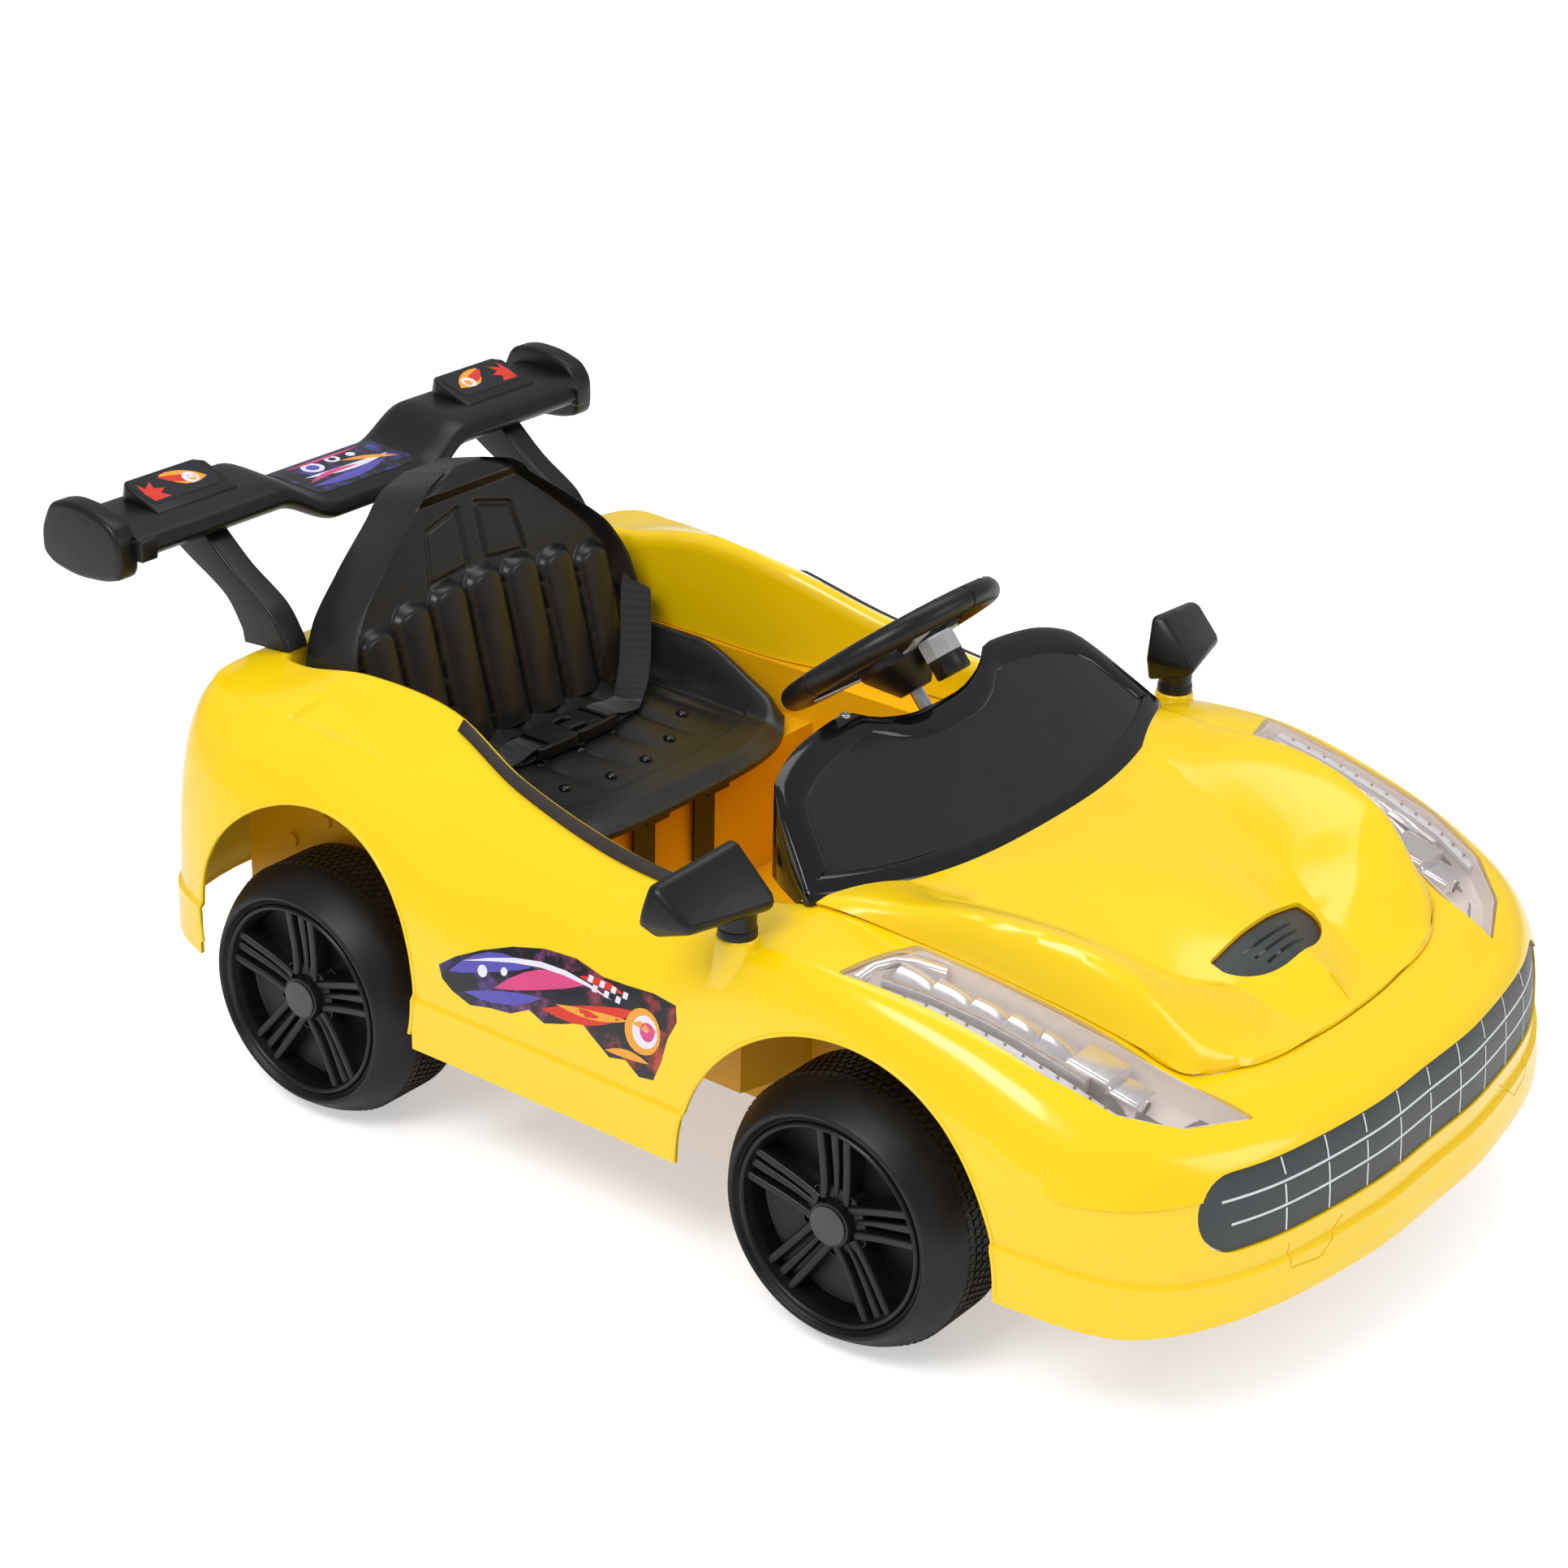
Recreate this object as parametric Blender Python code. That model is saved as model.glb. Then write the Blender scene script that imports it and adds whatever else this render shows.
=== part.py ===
"""Battery ride-on sports car for a small child, as separate moulded and metal pieces.

Every size is in metres. Pieces are laid out in the car's own frame, where the rear axle
stands at x = 0 and the car points along +x, and the empty car_frame then centres the car.
"""
import math

import bmesh
import bpy
import numpy as np
from mathutils import Matrix, Vector

# Wheels and axles
WHEELBASE = 0.468
WHEEL_RADIUS = 0.095
WHEEL_WIDTH = 0.078
FRONT_FACE_Y = 0.2865
REAR_FACE_Y = 0.2920
RIM_RADIUS = 0.0723
HUB_RADIUS = 0.0150
AXLE_RADIUS = 0.0050
SPOKE_PAIRS = 5
WHEEL_SIDES = 24

# Steering
WHEEL_CENTRE = (0.297, 0.0, 0.3595)
COLUMN_TILT = math.radians(50.0)
RING_RADIUS = 0.0765
RING_TUBE = 0.0095
SHAFT_RADIUS = 0.0050
KINGPIN_Y = 0.190
KINGPIN_TOP = 0.182
ARM_LENGTH = 0.045
STEER_LIMIT = math.radians(40.0)
KNUCKLE_LIMIT = math.radians(20.0)
TIE_ROD_Z = 0.1480
TIE_ROD_THICK = 0.0050
PIN_RADIUS = 0.0025

# Body skin
SKIN = 0.003
GAP = 0.0003
NOSE_X = 0.7420
LIP_OUT = 0.0070
SKIRT_OUT = 0.0030
SKIRT_BOTTOM = 0.098
LIP_BOTTOM = 0.091
TAIL_BOTTOM = 0.110
SKIRT_CREASE = 0.1355
CHIN_CREASE = 0.1180
INNER_WALL_FOOT = 0.2262
SEAM_GAP = 0.0008
LEDGE_WIDTH = 0.010
REAR_ARCH_RADIUS = 0.106
REAR_ARCH_CENTRE = (0.007, 0.135)
FRONT_ARCH_RADIUS = 0.1255
FRONT_ARCH_CENTRE = (0.474, 0.1015)

# Floor tub
TUB_WALL = 0.003
TUB_OUTER_Y = 0.206
TUB_FRONT_Y = 0.150
TUB_BOTTOM = 0.078
TUB_TOP = 0.2252
SHELF_Z = 0.185
FLOOR_Z = 0.085
FRONT_SHELF_Z = 0.165
SEAT_BOX_X = 0.100

# Seat
SEAT_FOOT_X = -0.057
SEAT_FRONT_X = 0.122
SEAT_HALF_WIDTH = 0.172
SEAT_PAN_Z = 0.200
SEAT_LEAN = math.radians(15.0)
BACK_THICKNESS = 0.0365
BACK_HEIGHT = 0.2050
RIB_PITCH = 0.040
RIB_HEIGHT = 0.007

# Windscreen hood
SCREEN_FRONT_X = 0.438
SCREEN_FRONT_Z = 0.2662
SCREEN_SLOPE = 0.655
SCREEN_HALF = 0.2095
SCREEN_WALL = 0.003
SCREEN_FRAME = 0.016
SCREEN_RECESS = 0.004

# Rear wing
WING_TOP_Z = 0.385
WING_CHORD = 0.081
WING_THICK = 0.022
WING_FRONT_X = -0.190
WING_HALF_SPAN = 0.242
WING_DIP = 0.022
STRUT_Y = 0.161
STRUT_WIDTH = 0.022
STRUT_SEAT = 0.0006

# Round the car from the middle of the tail to the middle of the nose. Each row gives the
# widest line (x, y), the shoulder (x, y, z), the inner rim (x, y, z), how far the side
# stays upright (0 to 1) and the slope in degrees at which it reaches the shoulder.
STATIONS = (
    (-0.165, 0.000, -0.150, 0.000, 0.286, -0.134, 0.000, 0.289, 0.80, 50),
    (-0.163, 0.120, -0.149, 0.110, 0.287, -0.133, 0.095, 0.290, 0.80, 50),
    (-0.157, 0.243, -0.140, 0.222, 0.288, -0.124, 0.168, 0.291, 0.84, 52),
    (-0.103, 0.285, -0.095, 0.241, 0.285, -0.088, 0.186, 0.2945, 0.86, 52),
    (-0.020, 0.289, -0.020, 0.240, 0.281, -0.020, 0.188, 0.307, 0.86, 52),
    (0.070, 0.289, 0.070, 0.239, 0.270, 0.060, 0.188, 0.3025, 0.78, 50),
    (0.150, 0.288, 0.150, 0.240, 0.255, 0.140, 0.203, 0.2785, 0.55, 45),
    (0.240, 0.288, 0.240, 0.246, 0.243, 0.240, 0.2125, 0.2610, 0.45, 42),
    (0.330, 0.288, 0.330, 0.256, 0.249, 0.330, 0.2125, 0.2575, 0.60, 32),
    (0.400, 0.288, 0.400, 0.262, 0.260, 0.400, 0.205, 0.2690, 0.74, 24),
    (0.470, 0.288, 0.470, 0.261, 0.262, 0.467, 0.192, 0.2620, 0.78, 18),
    (0.545, 0.288, 0.545, 0.253, 0.2515, 0.545, 0.183, 0.2510, 0.72, 18),
    (0.615, 0.283, 0.612, 0.242, 0.234, 0.603, 0.173, 0.2370, 0.74, 20),
    (0.679, 0.2545, 0.661, 0.2165, 0.2145, 0.645, 0.158, 0.2170, 0.82, 16),
    (0.721, 0.182, 0.699, 0.153, 0.203, 0.669, 0.112, 0.2130, 0.88, 12),
    (0.740, 0.080, 0.717, 0.070, 0.199, 0.679, 0.050, 0.2105, 0.90, 10),
    (NOSE_X, 0.000, 0.719, 0.000, 0.198, 0.681, 0.000, 0.2100, 0.90, 10),
)
COCKPIT_FROM = 3.0
COCKPIT_TO = 8.6
LAST = len(STATIONS) - 1

CAR_REAR = -0.283
CAR_FRONT = NOSE_X + LIP_OUT
FRAME_SHIFT = -0.5 * (CAR_REAR + CAR_FRONT)

COLOURS = {
    "body_yellow": ((0.90, 0.56, 0.010), 0.22, 0.0),
    "tub_orange": ((0.85, 0.42, 0.010), 0.40, 0.0),
    "gloss_black": ((0.012, 0.012, 0.013), 0.18, 0.0),
    "satin_black": ((0.020, 0.020, 0.021), 0.38, 0.0),
    "wheel_black": ((0.022, 0.022, 0.024), 0.48, 0.0),
    "sticker_grey": ((0.055, 0.060, 0.060), 0.45, 0.0),
    "chrome": ((0.75, 0.75, 0.77), 0.12, 1.0),
    "clear_lens": ((0.85, 0.84, 0.82), 0.08, 0.0),
    "red_lens": ((0.45, 0.010, 0.008), 0.15, 0.0),
    "zinc_steel": ((0.55, 0.56, 0.57), 0.35, 1.0),
    "silver_plastic": ((0.55, 0.56, 0.58), 0.30, 0.3),
    "webbing": ((0.018, 0.018, 0.019), 0.80, 0.0),
    "grey_plastic": ((0.20, 0.20, 0.21), 0.50, 0.0),
}


def clear_scene():
    for item in list(bpy.data.objects):
        bpy.data.objects.remove(item, do_unlink=True)


def look(name):
    """Return the material of that name, made once."""
    if name in bpy.data.materials:
        return bpy.data.materials[name]
    colour, roughness, metallic = COLOURS[name]
    made = bpy.data.materials.new(name)
    made.use_nodes = True
    shader = made.node_tree.nodes["Principled BSDF"]
    shader.inputs["Base Color"].default_value = (*colour, 1.0)
    shader.inputs["Roughness"].default_value = roughness
    shader.inputs["Metallic"].default_value = metallic
    made.diffuse_color = (*colour, 1.0)
    return made


def empty(name, location, parent=None):
    item = bpy.data.objects.new(name, None)
    item.location = location
    item.parent = parent
    bpy.context.collection.objects.link(item)
    return item


def add_object(name, verts, faces, finish, parent, at=(0, 0, 0), closed=True, smooth=40):
    """Make a mesh object. Closed meshes get their faces turned outwards."""
    mesh = bpy.data.meshes.new(name)
    mesh.from_pydata([tuple(float(c) for c in v) for v in verts], [], faces)
    work = bmesh.new()
    work.from_mesh(mesh)
    bmesh.ops.remove_doubles(work, verts=work.verts, dist=1e-6)
    if closed:
        bmesh.ops.recalc_face_normals(work, faces=work.faces)
    work.to_mesh(mesh)
    work.free()
    mesh.shade_smooth()
    mesh.set_sharp_from_angle(angle=math.radians(smooth))
    item = bpy.data.objects.new(name, mesh)
    item.location = at
    item.parent = parent
    mesh.materials.append(look(finish))
    bpy.context.collection.objects.link(item)
    return item


def grid_faces(rows, columns, wrap=False):
    faces = []
    span = columns if wrap else columns - 1
    for i in range(rows - 1):
        for j in range(span):
            k = (j + 1) % columns
            faces.append((i * columns + j, (i + 1) * columns + j,
                          (i + 1) * columns + k, i * columns + k))
    return faces


def split_faces(rows, columns):
    """Grid faces as triangles, all split the same way so that neighbours match."""
    return [half for a, b, c, d in grid_faces(rows, columns) for half in ((a, b, c), (a, c, d))]


def sheet(name, rows, finish, parent, split=False, **extra):
    """Open surface through rows of points."""
    columns = len(rows[0])
    verts = [p for row in rows for p in row]
    faces = (split_faces if split else grid_faces)(len(rows), columns)
    return add_object(name, verts, faces, finish, parent, closed=False, **extra)


def loft(name, rings, finish, parent, **extra):
    """Closed solid through closed rings of equally many points, capped at both ends."""
    count = len(rings[0])
    verts = [p for ring in rings for p in ring]
    faces = grid_faces(len(rings), count, wrap=True)
    faces.append(tuple(range(count)))
    faces.append(tuple(range(len(verts) - count, len(verts)))[::-1])
    return add_object(name, verts, faces, finish, parent, **extra)


def prism(name, outline, axis, low, high, finish, parent, **extra):
    """Extrude a flat outline along one axis from low to high."""
    slot = "xyz".index(axis)

    def lift(point, level):
        spot = list(point)
        spot.insert(slot, level)
        return tuple(spot)

    rings = [[lift(p, low) for p in outline], [lift(p, high) for p in outline]]
    return loft(name, rings, finish, parent, **extra)


def box(name, low, high, finish, parent, **extra):
    outline = ((low[0], low[1]), (high[0], low[1]), (high[0], high[1]), (low[0], high[1]))
    return prism(name, outline, "z", low[2], high[2], finish, parent, **extra)


def lathe(name, profile, finish, parent, sides=WHEEL_SIDES, axis="y", closed_profile=True,
          **extra):
    """Turn a profile of (radius, along) points about an axis through the origin."""
    verts = []
    for k in range(sides):
        angle = 2 * math.pi * k / sides
        for radius, along in profile:
            a = radius * math.cos(angle)
            b = radius * math.sin(angle)
            spot = {"x": (along, a, b), "y": (a, along, b), "z": (a, b, along)}[axis]
            verts.append(spot)
    count = len(profile)
    faces = []
    for k in range(sides):
        m = (k + 1) % sides
        for j in range(count if closed_profile else count - 1):
            n = (j + 1) % count
            faces.append((k * count + j, m * count + j, m * count + n, k * count + n))
    if not closed_profile:
        faces.append(tuple(k * count for k in range(sides)))
        faces.append(tuple(k * count + count - 1 for k in range(sides)))
    return add_object(name, verts, faces, finish, parent, **extra)


def disc(name, radius, low, high, finish, parent, sides=16, axis="y", chamfer=0.0, **extra):
    profile = [(radius, low), (radius, high)]
    if chamfer:
        profile = [(radius, low), (radius, high - chamfer), (radius - chamfer, high)]
    return lathe(name, profile, finish, parent, sides=sides, axis=axis,
                 closed_profile=False, **extra)


def solidify(item, thickness, offset=-1.0):
    mod = item.modifiers.new("wall", "SOLIDIFY")
    mod.thickness = thickness
    mod.offset = offset
    mod.use_even_offset = True
    return item


def mirror_y(item):
    mod = item.modifiers.new("other side", "MIRROR")
    mod.use_axis = (False, True, False)
    mod.merge_threshold = 0.0001
    return item


def combine(item, tool, operation="DIFFERENCE"):
    """Cut, join or intersect by another solid, which stays behind as a wire guide."""
    tool.hide_render = True
    tool.display_type = "WIRE"
    mod = item.modifiers.new(tool.name, "BOOLEAN")
    mod.operation = operation
    mod.solver = "EXACT"
    mod.object = tool
    return item


def bevel(item, width, segments=1, angle=30):
    mod = item.modifiers.new("edges", "BEVEL")
    mod.width = width
    mod.segments = segments
    mod.limit_method = "ANGLE"
    mod.angle_limit = math.radians(angle)
    return item


def tube(name, points, radius, finish, parent, sides=12, at=(0, 0, 0)):
    """Round bar swept along points, with closed ends."""
    spots = [Vector(p) for p in points]
    tangents = []
    for k in range(len(spots)):
        ahead = spots[min(k + 1, len(spots) - 1)] - spots[k]
        behind = spots[k] - spots[max(k - 1, 0)]
        tangents.append((ahead.normalized() + behind.normalized()).normalized())
    across = tangents[0].orthogonal().normalized()
    rings = []
    for k, spot in enumerate(spots):
        if k:
            across = tangents[k - 1].rotation_difference(tangents[k]) @ across
        over = tangents[k].cross(across)
        ring = []
        for j in range(sides):
            angle = 2 * math.pi * j / sides
            ring.append(tuple(spot + radius * (across * math.cos(angle) + over * math.sin(angle))))
        rings.append(ring)
    return loft(name, rings, finish, parent, at=at)


def grid_rim(count, columns):
    """Indices of a grid's border points, going round once."""
    rim = list(range(columns))
    rim += [i * columns + columns - 1 for i in range(1, count)]
    rim += [(count - 1) * columns + j for j in range(columns - 2, -1, -1)]
    rim += [i * columns for i in range(count - 2, 0, -1)]
    return rim


def panel_block(name, rows, base, finish, parent, **extra):
    """Closed block whose front is a relief grid and whose back is one flat face."""
    count = len(rows)
    columns = len(rows[0])
    verts = [p for row in rows for p in row]
    faces = split_faces(count, columns)
    rim = grid_rim(count, columns)
    start = len(verts)
    verts += [base(verts[k]) for k in rim]
    size = len(rim)
    for k in range(size):
        m = (k + 1) % size
        faces.append((rim[k], rim[m], start + m, start + k))
    faces.append(tuple(range(start, start + size)))
    return add_object(name, verts, faces, finish, parent, **extra)


def slab(name, rows, thickness, finish, parent, **extra):
    """Closed plate of even upright thickness under a grid of points."""
    count = len(rows)
    columns = len(rows[0])
    verts = [p for row in rows for p in row]
    start = len(verts)
    faces = split_faces(count, columns)
    faces += [tuple(start + k for k in face[::-1]) for face in faces]
    verts += [p - np.array((0, 0, thickness)) for p in verts]
    rim = grid_rim(count, columns)
    for k, here in enumerate(rim):
        there = rim[(k + 1) % len(rim)]
        faces.append((here, there, start + there, start + here))
    return add_object(name, verts, faces, finish, parent, **extra)


def smoothstep(value):
    t = min(max(value, 0.0), 1.0)
    return t * t * (3 - 2 * t)


def ramp(x, knots):
    """Straight-line interpolation through (x, value) knots."""
    return float(np.interp(x, [k[0] for k in knots], [k[1] for k in knots]))


def curve_through(knots, x):
    """Smooth interpolation through (x, value) knots."""
    xs = [k[0] for k in knots]
    ys = [k[1] for k in knots]
    x = min(max(x, xs[0]), xs[-1])
    i = min(max(int(np.searchsorted(xs, x)) - 1, 0), len(xs) - 2)

    def slope(k):
        a = max(k - 1, 0)
        b = min(k + 1, len(xs) - 1)
        return (ys[b] - ys[a]) / (xs[b] - xs[a])

    span = xs[i + 1] - xs[i]
    t = (x - xs[i]) / span
    h00 = 2 * t**3 - 3 * t**2 + 1
    h10 = t**3 - 2 * t**2 + t
    h01 = -2 * t**3 + 3 * t**2
    h11 = t**3 - t**2
    return h00 * ys[i] + h10 * span * slope(i) + h01 * ys[i + 1] + h11 * span * slope(i + 1)


def station(u):
    """Smooth row of the station table at u, mirrored past the car's middle plane."""
    i = min(int(u), LAST - 1)
    t = u - i

    def row(k):
        if 0 <= k <= LAST:
            return np.array(STATIONS[k], float)
        twin = np.array(STATIONS[-k if k < 0 else 2 * LAST - k], float)
        twin[[1, 3, 6]] *= -1
        return twin

    a, b, c, d = row(i - 1), row(i), row(i + 1), row(i + 2)
    return 0.5 * (2 * b + (c - a) * t + (2 * a - 5 * b + 4 * c - d) * t * t
                  + (3 * b - a - 3 * c + d) * t**3)


def guides(u):
    """Widest line, shoulder and rim points, fullness and shoulder slope at u."""
    row = station(u)
    wide = np.array((row[0], row[1], 0.0))
    return wide, row[2:5], row[5:8], row[8], math.radians(row[9])


def bezier(p, t):
    s = 1 - t
    return s**3 * p[0] + 3 * s * s * t * p[1] + 3 * s * t * t * p[2] + t**3 * p[3]


SIDE_STEPS = (0.0, 0.27, 0.52, 0.76, 1.0)
DECK_STEPS = (0.5, 1.0)


def side_curve(u):
    """Control points of the side, from the skirt crease up to the shoulder."""
    wide, shoulder, rim, full, slope = guides(u)
    noseness = smoothstep((u - 11.5) / 2.5)
    crease = SKIRT_CREASE + (CHIN_CREASE - SKIRT_CREASE) * noseness
    foot = wide + np.array((0, 0, crease + 0.002))
    flat = wide - shoulder * (1, 1, 0)
    reach = float(np.linalg.norm(flat))
    out = flat / reach
    up = np.array((0, 0, 1.0))
    height = shoulder[2] - foot[2]
    handle = 0.45 * reach
    return (foot, foot + up * full * height,
            shoulder + out * handle * math.cos(slope) - up * handle * math.sin(slope),
            shoulder), out, noseness, crease


def skin_point(u, v):
    """Point of the outer skin: v runs 0 to 1 up the side and 1 to 2 over the deck."""
    if v <= 1:
        return bezier(side_curve(u)[0], v)
    shoulder, rim = guides(u)[1:3]
    t = v - 1
    crown = 0.0025 * smoothstep((u - 8) / 2)
    return shoulder * (1 - t) + rim * t + np.array((0, 0, 4 * t * (1 - t) * crown))


def inward(u):
    """Level direction from the shoulder towards the rim."""
    shoulder, rim = guides(u)[1:3]
    flat = (rim - shoulder) * (1, 1, 0)
    return flat / float(np.linalg.norm(flat))


def skin_section(u):
    """Half section of the body, from the bottom edge over the rim to the inner edge."""
    control, out, noseness, crease = side_curve(u)
    wide = guides(u)[0]
    tailness = smoothstep((2.6 - u) / 1.2)
    bottom = SKIRT_BOTTOM + (LIP_BOTTOM - SKIRT_BOTTOM) * noseness
    bottom = bottom + (TAIL_BOTTOM - bottom) * tailness
    bottom -= 0.004 * math.exp(-((u - 12.9) / 0.8) ** 2)
    proud = SKIRT_OUT + (LIP_OUT - SKIRT_OUT) * noseness + 0.005 * tailness
    skirt = wide + out * proud
    points = [skirt + np.array((0, 0, bottom)),
              wide + out * (SKIRT_OUT + 0.25 * (proud - SKIRT_OUT)) + np.array((0, 0, crease))]
    points += [skin_point(u, t) for t in SIDE_STEPS]
    points += [skin_point(u, 1 + t) for t in DECK_STEPS]
    rim = points[-1]
    inner = inward(u)
    if COCKPIT_FROM <= u <= COCKPIT_TO:
        points.append(rim + inner * 0.006 - np.array((0, 0, 0.005)))
        foot = rim + inner * 0.0095
        points.append(np.array((foot[0], foot[1], INNER_WALL_FOOT)))
    elif u < COCKPIT_FROM:
        points.append(rim + inner * 0.005 - np.array((0, 0, 0.004)))
        points.append(rim + inner * 0.007 - np.array((0, 0, 0.022)))
    else:
        drop = np.array((0, 0, SKIN + 0.0023))
        points.append(rim - drop)
        points.append(rim - drop + inner * LEDGE_WIDTH)
    return points


def body_steps():
    """Values of u round the car, closer together at the tail and nose corners."""
    steps = list(np.arange(0, 3, 0.5)) + list(np.arange(3, 9, 0.5))
    steps += list(np.arange(9, 12, 0.5)) + list(np.arange(12, LAST, 0.5))
    steps += [COCKPIT_TO, COCKPIT_TO + 0.01, float(LAST)]
    return sorted(set(round(float(s), 4) for s in steps))


def skin_solid(name, finish, parent):
    """The whole body skin as one thick shell, both sides."""
    sections = [skin_section(u) for u in body_steps()]
    for section in (sections[0], sections[-1]):
        for point in section:
            point[1] = 0.0
    rows = [[section[k] for section in sections] for k in range(len(sections[0]))]
    item = sheet(name, rows, finish, parent, smooth=35)
    mirror_y(item)
    solidify(item, SKIN)
    return item


def arc_outline(centre, radius, start, end, count):
    return [(centre[0] + radius * math.cos(math.radians(a)),
             centre[1] + radius * math.sin(math.radians(a)))
            for a in np.linspace(start, end, count)]


def arch_cutters(parent):
    """Wheel openings: an arch over each wheel, drawn on the side and cut through."""
    cutters = []
    spots = (("rear", REAR_ARCH_CENTRE, REAR_ARCH_RADIUS, 0.222),
             ("front", FRONT_ARCH_CENTRE, FRONT_ARCH_RADIUS, 0.236))
    for place, centre, radius, inner_y in spots:
        outline = arc_outline(centre, radius, 0, 180, 15)
        outline += [(centre[0] - radius - 0.001, 0.05), (centre[0] + radius + 0.001, 0.05)]
        for side, low, high in (("left", inner_y, 0.32), ("right", -0.32, -inner_y)):
            cutters.append(prism(f"{place}_{side}_arch_cut", outline, "y", low, high,
                                 "body_yellow", parent))
    return cutters


# Headlamp corners as (u, v) places on the skin, going round from the rear tip.
LAMP_CORNERS = ((9.75, 1.02), (10.02, 1.93), (10.6, 1.93), (11.3, 1.93), (12.15, 1.91),
                (13.95, 1.03), (13.3, 0.95), (12.6, 0.94), (11.8, 0.98), (10.8, 1.06))
LAMP_FIT = 0.0004


def lamp_outline(side, grow=0.0):
    """Plan outline of a headlamp, taken from the skin itself."""
    points = [skin_point(u, v) for u, v in LAMP_CORNERS]
    flat = np.array([(p[0], side * p[1]) for p in points])
    middle = flat.mean(axis=0)
    away = flat - middle
    length = np.linalg.norm(away, axis=1)[:, None]
    return [tuple(p) for p in middle + away * (1 + grow / length)]


GRILLE_TOP = 0.188
GRILLE_BOTTOM = 0.136
GRILLE_HALF = 0.222


def grille_outline(grow=0.0):
    """Front view outline of the grille, straight with round ends."""
    radius = 0.5 * (GRILLE_TOP - GRILLE_BOTTOM)
    middle = 0.5 * (GRILLE_TOP + GRILLE_BOTTOM)
    reach = GRILLE_HALF - radius
    right = arc_outline((reach, middle), radius + grow, -90, 90, 7)
    left = arc_outline((-reach, middle), radius + grow, 90, 270, 7)
    return right + left


def sides():
    return (("left", 1), ("right", -1))


def make_body(parent):
    """Body shell with its wheel openings, lamp and grille openings and mirror bosses."""
    body = skin_solid("body_shell", "body_yellow", parent)
    for cutter in arch_cutters(parent):
        combine(body, cutter)
    for side, sign in sides():
        opening = prism(f"lamp_opening_{side}", lamp_outline(sign), "z", 0.19, 0.30,
                        "body_yellow", parent)
        combine(body, opening)
        combine(body, tail_lamp_form(f"tail_opening_{side}", sign, TAIL_LAMP_RADIUS,
                                     "body_yellow", parent))
    opening = prism("grille_opening", grille_outline(), "x", 0.60, 0.78, "body_yellow", parent)
    combine(body, opening)
    for side, sign in sides():
        boss = lathe(f"mirror_boss_{side}", [(0.0160, -0.030), (0.0138, 0.0)], "body_yellow",
                     parent, sides=16, axis="z", closed_profile=False,
                     at=(MIRROR_X, sign * MIRROR_Y, MIRROR_BOSS_Z))
        combine(body, boss, "UNION")
    return body


MIRROR_X = 0.3725
MIRROR_Y = 0.260
MIRROR_BOSS_Z = 0.2625
MIRROR_STUB = 0.0125


def bonnet_spine(x):
    """Height of the bonnet along the middle of the car."""
    return curve_through(((0.36, 0.2700), (0.438, 0.2645), (0.53, 0.2550), (0.60, 0.2430),
                          (0.640, 0.2325), (0.665, 0.2200), (0.681, 0.2100)), x)


BONNET_FROM = 8.75
BONNET_SPINE_FROM = 0.393
BONNET_SPINE_TO = 0.655
# Each row: x, the ridge's crest line |y|, its inner foot |y| and its height over the bonnet.
RIDGE = (
    (0.380, 0.200, 0.150, 0.000),
    (0.440, 0.188, 0.135, 0.011),
    (0.480, 0.181, 0.122, 0.022),
    (0.520, 0.175, 0.111, 0.030),
    (0.560, 0.167, 0.098, 0.034),
    (0.600, 0.157, 0.075, 0.033),
    (0.620, 0.151, 0.060, 0.028),
    (0.640, 0.142, 0.056, 0.018),
    (0.655, 0.132, 0.054, 0.009),
    (0.668, 0.110, 0.052, 0.003),
    (0.681, 0.090, 0.050, 0.000),
)


def ridge(x, y, seam_y):
    """Height of the two power ridges, which run in towards the nose."""
    row = [ramp(x, [(r[0], r[k]) for r in RIDGE]) for k in (1, 2, 3)]
    crest, foot, height = row
    if y < foot:
        return 0.0
    if y < crest:
        return height * math.sin(0.5 * math.pi * (y - foot) / (crest - foot))
    share = min((y - crest) / max(seam_y - crest, 0.002), 1.0)
    return height * math.cos(0.5 * math.pi * share)


def bonnet_point(u, w):
    """Point of the bonnet: w runs from 0 at the seam to 1 on the middle line."""
    rim = guides(u)[2]
    share = (u - BONNET_FROM) / (LAST - BONNET_FROM)
    spine_x = BONNET_SPINE_FROM + (BONNET_SPINE_TO - BONNET_SPINE_FROM) * share
    edge = rim + inward(u) * SEAM_GAP
    spine = np.array((spine_x, 0.0, bonnet_spine(spine_x)))
    point = edge * (1 - w) + spine * w
    base = edge[2] + (bonnet_spine(point[0]) - edge[2]) * smoothstep(w * 1.1)
    swell = ridge(point[0], point[1], seam_y(point[0])) if w > 0 else 0.0
    return np.array((point[0], point[1], base + swell))


def seam_y(x):
    """Half width of the bonnet at x, along its seam."""
    return ramp(x, [(r[5], r[6]) for r in STATIONS[8:]])


def column_passage(name, parent):
    """Room for the steering column to pass through a panel."""
    tunnel = disc(name, SHAFT_RADIUS + 0.004, -0.30, 0.02, "gloss_black", parent, sides=14,
                  axis="z", at=WHEEL_CENTRE)
    tunnel.rotation_euler = (0, -(math.pi / 2 - COLUMN_TILT), 0)
    return tunnel


SCOOP_REAR_X = 0.599
SCOOP_FRONT_X = 0.636
SCOOP_HALF = 0.058


def scoop_outline(grow=0.0):
    """Plan outline of the bonnet scoop: straight behind, bowed in front."""
    rear = SCOOP_REAR_X - grow
    half = SCOOP_HALF + grow
    bow = SCOOP_FRONT_X - SCOOP_REAR_X + 2 * grow
    front = [(rear + bow * math.cos(a) ** 0.8, half * math.sin(a))
             for a in np.linspace(-1.35, 1.35, 9)]
    return front + [(rear, half - 0.003), (rear, -half + 0.003)]


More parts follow.
